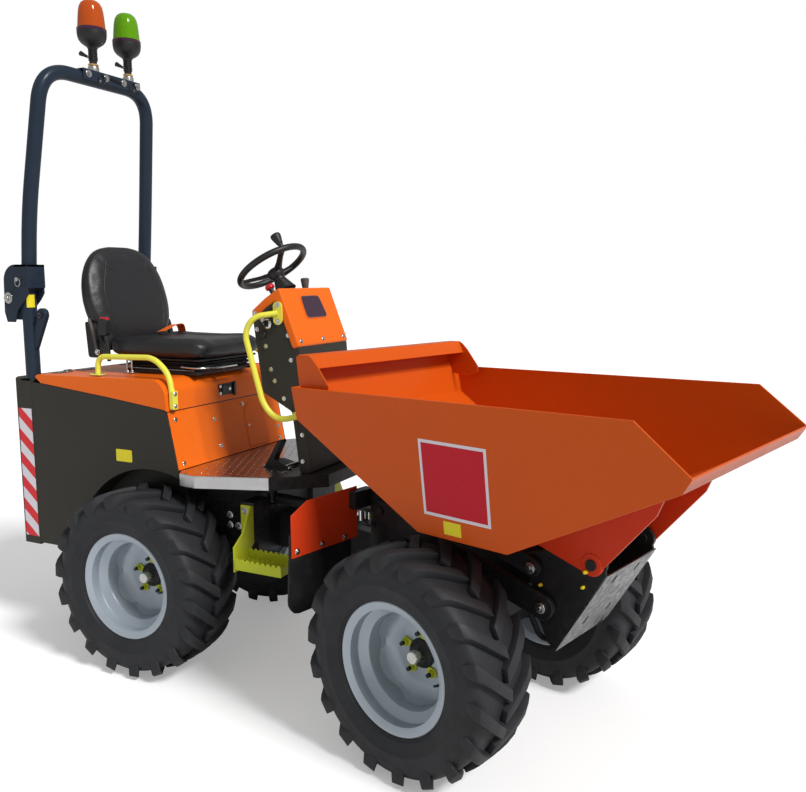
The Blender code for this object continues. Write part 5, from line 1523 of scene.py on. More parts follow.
@dataclass
class FrontPanel:
    """The sloping orange panel in front of the operator's legs, with an embossed arch."""

    foot: Flat = LAYOUT.panel_foot
    top: Flat = LAYOUT.panel_top
    sheet: float = 0.004
    half: float = 0.3615

    def spot(self, y: float, share: float, lift: float = 0.0) -> Vector:
        """Return the point on the panel at a distance across and a share of its height."""
        x = self.foot[0] + (self.top[0] - self.foot[0]) * share
        z = self.foot[1] + (self.top[1] - self.foot[1]) * share
        return Vector((x, y, z)) + self.out() * lift

    def out(self) -> Vector:
        """Return the direction in which the panel faces."""
        slope = Vector((self.top[0] - self.foot[0], 0.0, self.top[1] - self.foot[1])).normalized()
        return Vector((slope.z, 0.0, -slope.x))

    def emboss(self, shape: Shape, low: float, high: float) -> None:
        """Raise the round-topped service cover on the panel's left half."""
        middle = (low + high) / 2.0
        radius = (high - low) / 2.0
        height = 0.231
        outline = [(low, 0.04), (high, 0.04)]
        for i in range(17):
            turn = math.pi * i / 16
            outline.append((middle + radius * math.cos(turn), 0.62 + radius * math.sin(turn) / height))
        points = [self.spot(y, share, -0.001) for y, share in outline]
        inner = []
        for y, share in outline:
            inward = Vector((middle - y, (0.45 - share) * height))
            inward = inward.normalized() * 0.004
            inner.append(self.spot(y + inward.x, share + inward.y / height, 0.0032))
        count = len(outline)
        faces = [[i, (i + 1) % count, count + (i + 1) % count, count + i] for i in range(count)]
        faces.append(list(range(count, 2 * count)))
        shape.add(points + inner, faces, ORANGE)

    def build(self) -> None:
        """Build the panel with its cover and screws."""
        shape = Shape()
        outline = [
            (self.foot[0] - self.sheet, self.foot[1]), self.foot, self.top,
            (self.top[0] - self.sheet, self.top[1]),
        ]
        shape.prism(outline, -self.half, self.half, ORANGE)
        self.emboss(shape, 0.095, 0.235)
        Piece("front_panel_dressed", "rear_chassis", replaces=("front_panel",), bevel=0.0012).make(shape)
        screws = Studs(
            "front_panel_screws", "rear_chassis", radius=0.0062, height=0.004, washer_radius=0.0098
        )
        for y, share in (
            (-0.325, 0.86), (-0.325, 0.10), (-0.10, 0.72), (-0.09, 0.22), (0.10, 0.88), (0.115, 0.46),
            (0.325, 0.92), (0.325, 0.30), (0.325, 0.06),
        ):
            screws.at(self.spot(y, share, 0.0008), self.out())
        screws.make()


@dataclass
class Floor:
    """The tread plate floor with pressed dimples and the black plate in front of it."""

    depth: float = 0.05
    split_x: float = 0.53
    split_y: float = 0.308
    pitch: float = 0.034

    def tray(self, right_side: list[Flat], finish: Look, name: str, node: str) -> None:
        """Build one shallow tray with a folded rim."""
        outline = mirrored(right_side)
        top = LAYOUT.floor_top
        shape = Shape()
        shape.prism(outline, top - 0.004, top, finish, Plane.XY)
        count = len(outline)
        centre = Vector((sum(p[0] for p in outline) / count, 0.0))
        for i in range(count):
            first, second = Vector(outline[i]), Vector(outline[(i + 1) % count])
            if (second - first).length < 0.02:
                continue
            normal = Vector((second.y - first.y, first.x - second.x)).normalized()
            if normal.dot(centre - first) < 0.0:
                normal = -normal
            inner_first = first + normal * 0.004
            inner_second = second + normal * 0.004
            strip = [tuple(first), tuple(second), tuple(inner_second), tuple(inner_first)]
            shape.prism(strip, top - self.depth, top - 0.002, finish, Plane.XY)
        Piece(name, "rear_chassis", replaces=(node,), bevel=0.0014).make(shape)

    def inside(self, x: float, y: float) -> bool:
        """Tell whether a dimple has room at a place on the floor."""
        if abs(y) < 0.20 and x > 0.40:
            return False
        edge = 0.402 - (x - 0.248) / (self.split_x - 0.248) * (0.402 - self.split_y)
        reach = min(0.385, edge) - 0.018
        return 0.17 < x < self.split_x - 0.012 and abs(y) < reach

    def build(self) -> None:
        """Build both trays and the dimples."""
        tread = [(0.1435, -0.355), (0.17, -0.393), (0.248, -0.402), (self.split_x, -self.split_y)]
        self.tray(tread, ALUMINIUM, "floor_tread_dressed", "floor_tread")
        black = [(self.split_x + 0.0005, -self.split_y), (0.706, -0.16)]
        self.tray(black, BLACK_STEEL, "floor_nose_dressed", "floor_nose")
        dimples = Studs(
            "floor_dimples", "rear_chassis", ALUMINIUM, radius=0.0035, height=0.0013, sides=14,
            washer_radius=0.0058, washer_height=0.0007,
        )
        for i in range(12):
            for j in range(25):
                x = 0.165 + self.pitch * i + 0.5 * self.pitch * (j % 2)
                y = (j - 12) * self.pitch
                if self.inside(x, y):
                    dimples.at((x, y, LAYOUT.floor_top - 0.0002), (0.0, 0.0, 1.0))
        dimples.make()


@dataclass
class Console:
    """The dark column with its orange cover, switches, buttons and blank label."""

    outline: tuple[Flat, ...] = (
        (0.587, 0.8105), (0.640, 0.8105), (0.612, 1.05), (0.593, 1.301), (0.508, 1.523),
        (0.442, 1.48), (0.378, 1.428), (0.421, 1.118), (0.556, 1.048),
    )
    cap: tuple[Flat, ...] = (
        (0.374, 1.434), (0.440, 1.486), (0.510, 1.529), (0.599, 1.302),
        (0.566, 1.292), (0.494, 1.478), (0.444, 1.448), (0.392, 1.404),
    )
    half: float = LAYOUT.console_half_width
    wheel_tilt: float = LAYOUT.wheel_tilt
    hub: Flat = LAYOUT.wheel_hub

    def column(self) -> None:
        """Build the column's folded sheet and the steering mast with its boot."""
        shape = Shape()
        shape.prism(rounded(list(self.outline), 0.010, 3), -self.half, self.half, DARK_PANEL)
        tilt = Vector((-math.sin(self.wheel_tilt), 0.0, math.cos(self.wheel_tilt)))
        hub = Vector(on_side(self.hub, 0.0))
        shape.rod(hub - tilt * 0.16, hub - tilt * 0.0553, 0.024, BLACK_PLASTIC)
        boot = [(0.0, 0.0), (0.046, 0.0)]
        for i in range(7):
            boot.append((0.044 - 0.0028 * i, 0.006 + 0.0075 * i))
            boot.append((0.040 - 0.0028 * i, 0.010 + 0.0075 * i))
        boot.append((0.0, 0.058))
        shape.lathe(boot, hub - tilt * 0.118, tilt, BLACK_PLASTIC, 40)
        Piece(
            "console_column_dressed", "rear_chassis", replaces=("console_column",), bevel=0.0015
        ).make(shape)

    def cover(self) -> None:
        """Build the orange cap with its rounded edges."""
        shape = Shape()
        side_edge = self.half + 0.004
        shape.prism(rounded(list(self.cap), 0.013, 5), -side_edge, side_edge, ORANGE)
        Piece(
            "console_cover_dressed", "rear_chassis", replaces=("console_cover",), bevel=0.011,
            bevel_segments=5, sharp=50.0,
        ).make(shape)

    def front_spot(self, y: float, share: float, lift: float = 0.0) -> Vector:
        """Return the point on the cover's front face at a distance across and a share up it."""
        foot = Vector((0.599, 0.0, 1.302))
        top = Vector((0.510, 0.0, 1.529))
        slope = (top - foot).normalized()
        out = Vector((slope.z, 0.0, -slope.x))
        return foot + (top - foot) * share + Vector((0.0, y, 0.0)) + out * lift

    def front_plate(
        self, shape: Shape, corners: list[Flat], low: float, high: float, finish: Look
    ) -> None:
        """Add a thin plate on the cover's front face; corners are (y, share) places."""
        ring = [self.front_spot(y, share, low) for y, share in corners]
        ring += [self.front_spot(y, share, high) for y, share in corners]
        count = len(corners)
        faces = [[i, (i + 1) % count, count + (i + 1) % count, count + i] for i in range(count)]
        faces.append(list(range(count, 2 * count)))
        shape.add(ring, faces, finish)

    def label(self) -> None:
        """Build the blank label with its raised rounded frame."""
        height = 0.2438

        def ring(grow: float) -> list[Flat]:
            """Return the label's rounded outline, grown by a distance."""
            corners = [
                (-0.062 - grow, 0.475 * height - grow), (0.081 + grow, 0.475 * height - grow),
                (0.066 + grow, 0.830 * height + grow), (-0.060 - grow, 0.830 * height + grow),
            ]
            return [(y, z / height) for y, z in rounded(corners, 0.016 + grow, 5)]

        shape = Shape()
        self.front_plate(shape, ring(0.006), -0.001, 0.0025, ORANGE)
        self.front_plate(shape, ring(0.003), -0.001, 0.0034, KNOB_GREY)
        self.front_plate(shape, ring(0.0), -0.001, 0.0042, PLATE_BLACK)
        Piece("blank_console_label", "rear_chassis").make(shape)

    def controls(self) -> None:
        """Build the lever, the stop button, the gauge housing, the ignition switch and a plug."""
        shape = Shape()
        lever_foot = Vector((0.446, 0.10, 1.4890))
        lever_top = lever_foot + Vector((-0.004, 0.0, 0.076))
        knob = lever_foot + (lever_top - lever_foot) * 0.38
        shape.rod(lever_foot, knob, 0.006, CHROME, segments=20)
        line = lever_top - knob
        grip = [
            (0.0, 0.0), (0.009, 0.0), (0.0130, 0.006), (0.0180, line.length - 0.009),
            (0.0165, line.length - 0.002), (0.008, line.length), (0.0, line.length),
        ]
        shape.lathe(grip, knob, line.normalized(), KNOB_GREY, 32)
        gaiter = [(0.0, 0.0), (0.020, 0.0), (0.019, 0.004), (0.009, 0.012), (0.0, 0.012)]
        shape.lathe(gaiter, lever_foot, (-0.474, 0.0, 0.880), BLACK_PLASTIC, 32)
        stop_foot = Vector((0.450, -0.125, 1.4920))
        out = Vector((-0.546, 0.0, 0.838))
        collar = [
            (0.0, 0.0), (0.0145, 0.0), (0.0145, 0.010), (0.010, 0.014), (0.010, 0.036), (0.0, 0.036),
        ]
        shape.lathe(collar, stop_foot, out, BLACK_PLASTIC, 32)
        button = [
            (0.0, 0.034), (0.014, 0.034), (0.0185, 0.038), (0.0190, 0.046), (0.0160, 0.052),
            (0.008, 0.0545), (0.0, 0.055),
        ]
        shape.lathe(button, stop_foot, out, BUTTON_RED, 40)
        gauge = Vector((0.452, 0.035, 1.486))
        shape.box(
            gauge - Vector((0.020, 0.045, 0.0)), gauge + Vector((0.024, 0.045, 0.034)), BLACK_PLASTIC
        )
        side = -self.half
        switch = (0.452, side, 1.388)
        outward = (0.0, -1.0, 0.0)
        bezel = [
            (0.0, 0.0), (0.021, 0.0), (0.021, 0.005), (0.017, 0.009), (0.014, 0.010), (0.0, 0.010),
        ]
        shape.lathe(bezel, switch, outward, CHROME, 40)
        barrel = [(0.0, 0.008), (0.010, 0.008), (0.009, 0.016), (0.0, 0.016)]
        shape.lathe(barrel, switch, outward, BLACK_PLASTIC, 28)
        shape.box((0.449, side - 0.026, 1.374), (0.455, side - 0.014, 1.402), BLACK_PLASTIC)
        plug = [(0.0, 0.0), (0.013, 0.0), (0.013, 0.008), (0.0, 0.009)]
        shape.lathe(plug, (0.432, side, 1.345), outward, BLACK_PLASTIC, 28)
        Piece("console_controls", "rear_chassis", bevel=0.0012).make(shape)

    def screws(self) -> None:
        """Set the screws of the cover and of the column's side plates."""
        screws = Studs(
            "console_screws", "rear_chassis", radius=0.0062, height=0.0042, washer_radius=0.0095
        )
        out = (self.front_spot(0.0, 0.5, 1.0) - self.front_spot(0.0, 0.5)).normalized()
        for y in (-0.158, 0.0, 0.158):
            screws.at(self.front_spot(y, 0.09, 0.0007), out)
        for side in (-1.0, 1.0):
            for x, z in (
                (0.400, 1.365), (0.428, 1.402), (0.440, 1.300), (0.462, 1.210), (0.478, 1.165),
                (0.520, 1.098), (0.545, 1.345), (0.556, 1.250), (0.601, 0.960), (0.601, 0.855),
            ):
                screws.at((x, side * (self.half + 0.0008), z), (0.0, side, 0.0))
            screws.at((0.395, side * (self.half + 0.0046), 1.428), (0.0, side, 0.0))
        screws.make()

    def build(self) -> None:
        """Build the whole console."""
        self.column()
        self.cover()
        self.label()
        self.controls()
        self.screws()


@dataclass
class GrabHandles:
    """The yellow bent handles beside the console and the low rails beside the seat."""

    console_half: float = LAYOUT.console_half_width

    def console_handle(self, name: str, side: float) -> None:
        """Build one console handle with its oval flange and foot."""
        foot_y = self.console_half + 0.0305
        corners = [
            (0.505, side * (foot_y - 0.022), 1.430), (0.425, side * 0.235, 1.418),
            (0.385, side * 0.240, 1.355), (0.462, side * 0.235, 1.075),
            (0.520, side * 0.225, 1.018), (0.600, side * (foot_y - 0.012), 1.036),
        ]
        shape = Shape()
        shape.pipe(smooth_path(corners, 0.060, 12), 0.0115, YELLOW, 24)
        shape.prism(
            link_outline((0.505, 1.405), (0.505, 1.455), 0.020, 0.020),
            side * (self.console_half + 0.0042), side * (self.console_half + 0.0105), YELLOW,
        )
        shape.box(
            (0.575, side * (self.console_half + 0.0003), 1.022), (0.605, side * 0.200, 1.050), YELLOW
        )
        node = f"console_handle_{name}"
        Piece(f"{node}_dressed", "rear_chassis", replaces=(node,), bevel=0.0016).make(shape)
        bolts = Studs(f"{node}_bolts", "rear_chassis", radius=0.0075, height=0.005, washer_radius=0.011)
        for z in (1.398, 1.462):
            bolts.at((0.505, side * (self.console_half + 0.0108), z), (0.0, side, 0.0))
        bolts.make()

    def rail(self, name: str, side: float) -> None:
        """Build one low rail with its foot and bolted strap."""
        half = LAYOUT.body_half_width
        y = side * (half - 0.041)
        strap_y = side * (half - 0.026)
        corners = [
            (-0.305, y, 1.164), (-0.300, y, 1.243), (0.000, y, 1.250),
            (0.085, side * (half - 0.031), 1.190), (0.108, strap_y, 1.075),
        ]
        shape = Shape()
        shape.pipe(smooth_path(corners, 0.045, 10), 0.0115, YELLOW, 24)
        foot = rounded(rectangle(-0.335, -0.275, y - 0.022, y + 0.022), 0.009)
        shape.prism(foot, 1.1663, 1.1712, YELLOW, Plane.XY)
        strap = rounded(rectangle(strap_y - 0.014, strap_y + 0.014, 1.050, 1.125), 0.007)
        shape.prism(strap, 0.0985, 0.1185, YELLOW, Plane.YZ)
        node = f"bonnet_handle_{name}"
        Piece(f"{node}_dressed", "bonnet", replaces=(node,), bevel=0.0015).make(shape)
        bolts = Studs(f"{node}_bolts", "bonnet", radius=0.0058, height=0.0035, washer_radius=0.0088)
        for z in (1.063, 1.112):
            bolts.at((0.1192, strap_y, z), (1.0, 0.0, 0.0))
        for x in (-0.326, -0.283):
            bolts.at((x, y, 1.1716), (0.0, 0.0, 1.0))
        bolts.make()

    def build(self) -> None:
        """Build the four handles."""
        for name, side in SIDES:
            self.console_handle(name, side)
            self.rail(name, side)


@dataclass
class FootControls:
    """The pedal and the serrated mounting steps.

    Attributes:
        teeth: Number of teeth on each strip of a step.
        tooth_height: Height of the teeth.
        tooth_curve: One tooth, as (share of the pitch, height over the gap) points.
    """

    teeth: int = 9
    tooth_height: float = 0.009
    tooth_curve: tuple[Flat, ...] = (
        (0.14, 0.0055), (0.24, 0.0085), (0.32, 0.009), (0.52, 0.009), (0.60, 0.0085),
        (0.72, 0.005), (0.84, 0.0),
    )

    def pedal(self) -> None:
        """Build the pedal: base plate, tall fin-shaped treadle, hinge tube and spring."""
        foot = LAYOUT.floor_top + 0.0003
        shape = Shape()
        base = rounded(rectangle(0.395, 0.525, -0.160, -0.060), 0.012)
        shape.prism(base, foot, foot + 0.005, BLACK_STEEL, Plane.XY)
        fin = [
            (0.400, foot + 0.0005), (0.520, foot + 0.0005), (0.520, 0.818), (0.447, 0.846), (0.484, 0.918),
            (0.480, 0.925), (0.468, 0.923),
        ]
        shape.prism(rounded(fin, 0.004, 3), -0.155, -0.116, BLACK_STEEL)
        heel = [(0.404, foot + 0.0005), (0.518, foot + 0.0005), (0.518, 0.815), (0.430, 0.834)]
        shape.prism(rounded(heel, 0.005, 3), -0.116, -0.066, BLACK_STEEL)
        shape.rod((0.506, -0.154, 0.822), (0.506, -0.068, 0.822), 0.0055, ZINC, segments=20)
        for i in range(8):
            x = 0.4085 + 0.0072 * i
            z = 0.822 + 0.0116 * i
            shape.box((x, -0.153, z), (x + 0.004, -0.118, z + 0.0035), BLACK_PLASTIC)
        Piece("pedal_dressed", "rear_chassis", replaces=("pedal",), bevel=0.002).make(shape)
        bolts = Studs("pedal_bolts", "rear_chassis", radius=0.0065, height=0.005, washer_radius=0.010)
        for x, y in ((0.400, -0.155), (0.518, -0.154), (0.518, -0.066)):
            bolts.at((x + 0.003, y, foot + 0.0055), (0.0, 0.0, 1.0))
        bolts.make()

    def serrated(self, low_x: float, high_x: float, low_z: float, high_z: float) -> list[Flat]:
        """Return the side outline of a strip with round-topped teeth."""
        pitch = (high_x - low_x) / self.teeth
        outline = [(low_x, low_z), (high_x, low_z)]
        for tooth in range(self.teeth):
            start = high_x - tooth * pitch
            outline.append((start, high_z - self.tooth_height))
            for share, rise in self.tooth_curve:
                outline.append((start - share * pitch, high_z - self.tooth_height + rise))
        outline.append((low_x, high_z - self.tooth_height))
        return outline

    def step(self, name: str, side: float) -> None:
        """Build one step with its hanger plate, teeth, sole and bolts."""
        inner = 0.3005
        shape = Shape()
        pad = rounded(rectangle(0.392, 0.448, 0.545, 0.69), 0.006)
        shape.prism(pad, side * inner, side * (inner + 0.005), LIME)
        web = [
            (side * inner, 0.545), (side * inner, 0.69), (side * (inner + 0.02), 0.69), (side * 0.37, 0.60),
            (side * 0.425, 0.56), (side * 0.425, 0.463), (side * 0.38, 0.463),
        ]
        shape.prism(web, 0.444, 0.450, LIME, Plane.YZ)
        shape.prism(self.serrated(0.446, 0.660, 0.474, 0.519), side * 0.420, side * 0.425, LIME)
        shape.prism(self.serrated(0.446, 0.660, 0.475, 0.534), side * 0.335, side * 0.340, LIME)
        shape.box((0.447, side * 0.3355, 0.4755), (0.659, side * 0.4245, 0.4800), LIME)
        shape.box((0.655, side * 0.3355, 0.4755), (0.6598, side * 0.4245, 0.5100), LIME)
        for y in (0.362, 0.398):
            strip = self.serrated(0.452, 0.652, 0.480, 0.505)
            shape.prism(strip, side * (y - 0.002), side * (y + 0.002), LIME)
        node = f"step_{name}"
        Piece(f"{node}_dressed", "rear_chassis", replaces=(node,), bevel=0.0012).make(shape)
        bolts = Studs(f"{node}_bolts", "rear_chassis", radius=0.0095, height=0.007, washer_radius=0.014)
        for z in (0.567, 0.668):
            bolts.at((0.412, side * (inner + 0.0058), z), (0.0, side, 0.0))
        bolts.make()

    def build(self) -> None:
        """Build the pedal and both steps."""
        self.pedal()
        for name, side in SIDES:
            self.step(name, side)


# Roll bar and beacons.


@dataclass
class RollBar:
    """The fixed posts with their catches, the folding hoop with its hinge boxes and carrier."""

    post_x: float = -0.674
    post_y: float = 0.336
    tube_radius: float = 0.030
    fold: Flat = (-0.743, 1.481)
    top: Flat = (-0.563, 2.430)
    top_half: float = 0.299
    corner_radius: float = 0.14

    def post(self, name: str, side: float) -> None:
        """Build one fixed post with its foot, hinge lug, bridge and stowing catch."""
        y = side * self.post_y
        shape = Shape()
        foot = Vector((self.post_x, y, 1.1363))
        shape.rod(foot, (self.post_x, y, 1.512), self.tube_radius, BAR_BLUE, segments=40)
        shape.rod(foot, (self.post_x, y, 1.1423), 0.0355, BAR_BLUE, 0.0305, 40)
        shape.prism(link_outline((-0.762, 1.405), self.fold, 0.018, 0.022), y - 0.026, y + 0.026, BAR_BLUE)
        shape.box((-0.755, y - 0.026, 1.388), (self.post_x, y + 0.026, 1.500), BAR_BLUE)
        catch = link_outline((-0.645, 1.275), (-0.595, 1.410), 0.012, 0.028)
        shape.prism(catch, y - 0.010, y + 0.010, BAR_BLUE)
        node = f"roll_post_{name}"
        Piece(f"{node}_dressed", "rear_chassis", replaces=(node,), bevel=0.0022).make(shape)
        fitting = Shape()
        pin = Vector((-0.600, y + side * 0.0105, 1.408))
        out = Vector((0.0, side, 0.0))
        fitting.rod(pin - out * 0.022, pin + out * 0.006, 0.009, ZINC, segments=24)
        fitting.bolt(pin + out * 0.002, out, 0.009, BLACK_STEEL, 1.3)
        Piece(f"post_fittings_{name}", "rear_chassis").make(fitting)

    def hoop(self) -> None:
        """Build the hoop with its hinge boxes and their pivot pins, and then its carrier."""
        shape = Shape()
        corners = [
            (self.post_x + 0.006, -self.post_y, 1.525), (self.post_x + 0.033, -self.post_y, 1.841),
            (self.top[0], -self.top_half, self.top[1]), (self.top[0], self.top_half, self.top[1]),
            (self.post_x + 0.033, self.post_y, 1.841), (self.post_x + 0.006, self.post_y, 1.525),
        ]
        shape.pipe(smooth_path(corners, self.corner_radius, 16), self.tube_radius, BAR_BLUE, 36)
        cheek = [(-0.626, 1.500), (-0.626, 1.622), (-0.690, 1.622)]
        cheek += arc((-0.700, 1.552), 0.070, 90.0, 180.0, 14)
        cheek += [(-0.775, 1.42), (-0.762, 1.378), (-0.715, 1.378), (-0.695, 1.43), (-0.650, 1.47)]
        for side in (-1.0, 1.0):
            for offset in (-0.0395, 0.0395):
                y = side * self.post_y + offset
                shape.prism(cheek, y - 0.0035, y + 0.0035, BAR_BLUE)
            y = side * self.post_y
            shape.rod(on_side(self.fold, y - 0.046), on_side(self.fold, y + 0.046), 0.0125, ZINC)
            shape.box((-0.627, y - 0.043, 1.523), (-0.620, y + 0.043, 1.622), BAR_BLUE)
            shape.box((-0.703, y - 0.043, 1.611), (-0.620, y + 0.043, 1.622), BAR_BLUE)
        Piece("roll_bar_dressed", "roll_bar", replaces=("roll_bar",), bevel=0.0016).make(shape)
        self.carrier()

    def carrier(self) -> None:
        """Build the folded channel on the top tube, with its bolts, rings and short chain."""
        shape = Shape()
        x, z = self.top
        reach = self.tube_radius + 0.0012
        sheet = 0.003
        face = x + reach + sheet
        foot = z - 0.012
        channel = [
            (x - reach - sheet, foot), (x - reach - sheet, z + 0.0335), (face, z + 0.0335),
            (face, foot), (x + reach, foot), (x + reach, z + 0.0305), (x - reach, z + 0.0305),
            (x - reach, foot),
        ]
        shape.prism(channel, -0.110, 0.222, BAR_BLUE)
        for y in (-0.080, 0.018, 0.122, 0.206):
            shape.bolt((face - 0.0004, y, z + 0.014), (1.0, 0.0, 0.0), 0.010)
        for y in (-0.012, 0.172):
            hook = Vector((face + 0.0042, y, z + 0.002))
            ring = loop(hook, Vector((0.002, 0.0165, 0.0)), Vector((0.0, 0.0, 0.020)))
            shape.pipe(ring, 0.0024, BLACK_STEEL, 10)
        for i in range(5):
            link = Vector((face + 0.0030, 0.048 + 0.0125 * i, z + 0.016 - 0.0016 * i))
            ring = loop(link, Vector((0.0, 0.0070, 0.0)), Vector((0.0, 0.0, 0.0040)), 12)
            shape.pipe(ring, 0.0018, BLACK_STEEL, 8)
        Piece("beacon_carrier", "roll_bar", bevel=0.0008).make(shape)

    def hinge_fittings(self) -> None:
        """Build the hinge boxes' bolts and ringed lock pins, and the blank label on one post."""
        shape = Shape()
        for side in (-1.0, 1.0):
            y = side * (self.post_y + 0.043)
            out = Vector((0.0, side, 0.0))
            shape.bolt(on_side(self.fold, y), out, 0.0155)
            shape.rod(on_side(self.fold, y), on_side(self.fold, y + side * 0.019), 0.0062, ZINC)
            lock = Vector((-0.668, y, 1.560))
            shape.rod(lock, lock + out * 0.020, 0.009, ZINC, segments=24)
            middle = lock + Vector((0.0, side * 0.014, -0.013))
            ring = loop(middle, Vector((0.015, 0.0, 0.0)), Vector((0.0, 0.0, 0.017)))
            shape.pipe(ring, 0.0017, ZINC, 8)
        Piece("hinge_box_fittings", "roll_bar", bevel=0.0006).make(shape)
        plate = Shape()
        label = arc((self.post_x, -self.post_y), self.tube_radius + 0.0006, -58.0, 6.0, 14)
        label += arc((self.post_x, -self.post_y), self.tube_radius - 0.001, 6.0, -58.0, 14)
        plate.prism(label, 1.441, 1.495, PLATE_YELLOW, Plane.XY)
        Piece("blank_post_label", "rear_chassis").make(plate)

    def clamp_plates(self) -> None:
        """Build the bolted saddle clamps under the beacons."""
        shape = Shape()
        for y in (-0.02, 0.185):
            saddle = arc(self.top, self.tube_radius + 0.0035, -20.0, 200.0, 20)
            saddle += arc(self.top, self.tube_radius + 0.0002, 200.0, -20.0, 20)
            shape.prism(saddle, y - 0.019, y + 0.019, GALVANISED)
            for offset in (-1.0, 1.0):
                x = self.top[0] + offset * (self.tube_radius + 0.0022)
                shape.bolt((x, y, self.top[1] - 0.006), (offset, 0.0, 0.0), 0.006)
        Piece("beacon_saddles", "roll_bar", bevel=0.0006).make(shape)

    def build(self) -> None:
        """Build the posts, the hoop and the fittings."""
        for name, side in SIDES:
            self.post(name, side)
        self.hoop()
        self.hinge_fittings()
        self.clamp_plates()


@dataclass
class Beacon:
    """One beacon on its flexible stem and spigot, with upright ribs in its lens."""

    name: str
    y: float
    lens: ClearLens
    ribs: int = 24
    foot: Place = (-0.563, 0.0, 2.460)

    def rib_ring(self) -> bpy.types.Mesh:
        """Return the lens's upright ribs, repeated round the Z axis."""
        rib = Shape()
        profile = [
            (0.0530, 0.180), (0.0574, 0.180), (0.0550, 0.214), (0.0530, 0.236), (0.0500, 0.236),
            (0.0530, 0.214),
        ]
        rib.prism(profile, -0.0014, 0.0014, self.lens)
        return PATTERNS["ring"].apply(stand("lens_rib", rib.to_mesh("lens_rib")), {
            "Count": self.ribs, "First Angle": 0.1, "Material": self.lens.material(),
        })

    def build(self) -> None:
        """Build the beacon's lens, its bowl, stem and spigot."""
        place = (self.foot[0], self.y, self.foot[2])
        shape = Shape()
        lens = [
            (0.0, 0.3075), (0.014, 0.3068), (0.028, 0.3030), (0.0400, 0.2940), (0.0480, 0.2790),
            (0.0525, 0.2580), (0.0552, 0.2300), (0.0575, 0.2000), (0.0590, 0.1860), (0.0612, 0.1830),
            (0.0618, 0.1740), (0.0570, 0.1740), (0.0550, 0.2000), (0.0522, 0.2300), (0.0492, 0.2570),
            (0.0450, 0.2760), (0.0375, 0.2895), (0.0265, 0.2975), (0.0, 0.3020),
        ]
        shape.lathe(lens, place, UP, self.lens, 64)
        band = [
            (0.0575, 0.1735), (0.0624, 0.1735), (0.0624, 0.1860), (0.0608, 0.1875), (0.0575, 0.1875),
        ]
        shape.lathe(band, place, UP, PLATE_BLACK, 64, closed=True)
        ribs = self.rib_ring()
        ribs.transform(Matrix.Translation(place))
        shape.mesh.from_mesh(ribs)
        bpy.data.meshes.remove(ribs)
        shape.lathe(
            [(0.0, 0.174), (0.022, 0.174), (0.019, 0.180), (0.019, 0.262), (0.012, 0.268), (0.0, 0.268)],
            place, UP, BLACK_PLASTIC, 32,
        )
        bowl = [
            (0.0, 0.1735), (0.0615, 0.1735), (0.0620, 0.1650), (0.0600, 0.1500), (0.0560, 0.1380),
            (0.0480, 0.1270), (0.0360, 0.1180), (0.0250, 0.1110), (0.0200, 0.1040),
        ]
        for i in range(6):
            z = 0.100 - 0.0085 * i
            bowl += [(0.0195, z), (0.0195, z - 0.004), (0.0168, z - 0.0052)]
        bowl += [(0.0160, 0.046), (0.0150, 0.032), (0.0, 0.032)]
        shape.lathe(bowl, place, UP, BLACK_PLASTIC, 56)
        foot = [
            (0.0, 0.0335), (0.0160, 0.0335), (0.0185, 0.0300), (0.0235, 0.0250), (0.0240, 0.0230),
            (0.0240, 0.0010), (0.0, 0.0010),
        ]
        shape.lathe(foot, place, UP, ZINC, 40)
        nut = [
            (0.0, 0.0), (0.021, 0.0), (0.0225, 0.002), (0.0225, 0.007), (0.021, 0.009), (0.0, 0.009),
        ]
        shape.lathe(nut, (place[0], self.y, place[2] + 0.030), UP, BRASS, 6)
        wing = Vector((place[0] - 0.006, self.y - 0.015, place[2] + 0.066))
        for start, end, radius, finish, end_radius in (
            ((0.0, 0.0, 0.0), (0.0, -0.016, 0.0), 0.006, ZINC, 0.006),
            ((0.0, -0.010, 0.0), (0.0, -0.048, 0.006), 0.0050, BLACK_PLASTIC, 0.0105),
            ((0.0, 0.028, 0.0), (0.0, 0.042, 0.003), 0.0055, ZINC, 0.0085),
        ):
            shape.rod(wing + Vector(start), wing + Vector(end), radius, finish, end_radius, 20)
        node = f"beacon_{self.name}"
        Piece(f"{node}_dressed", "roll_bar", replaces=(node,), sharp=30.0).make(shape)


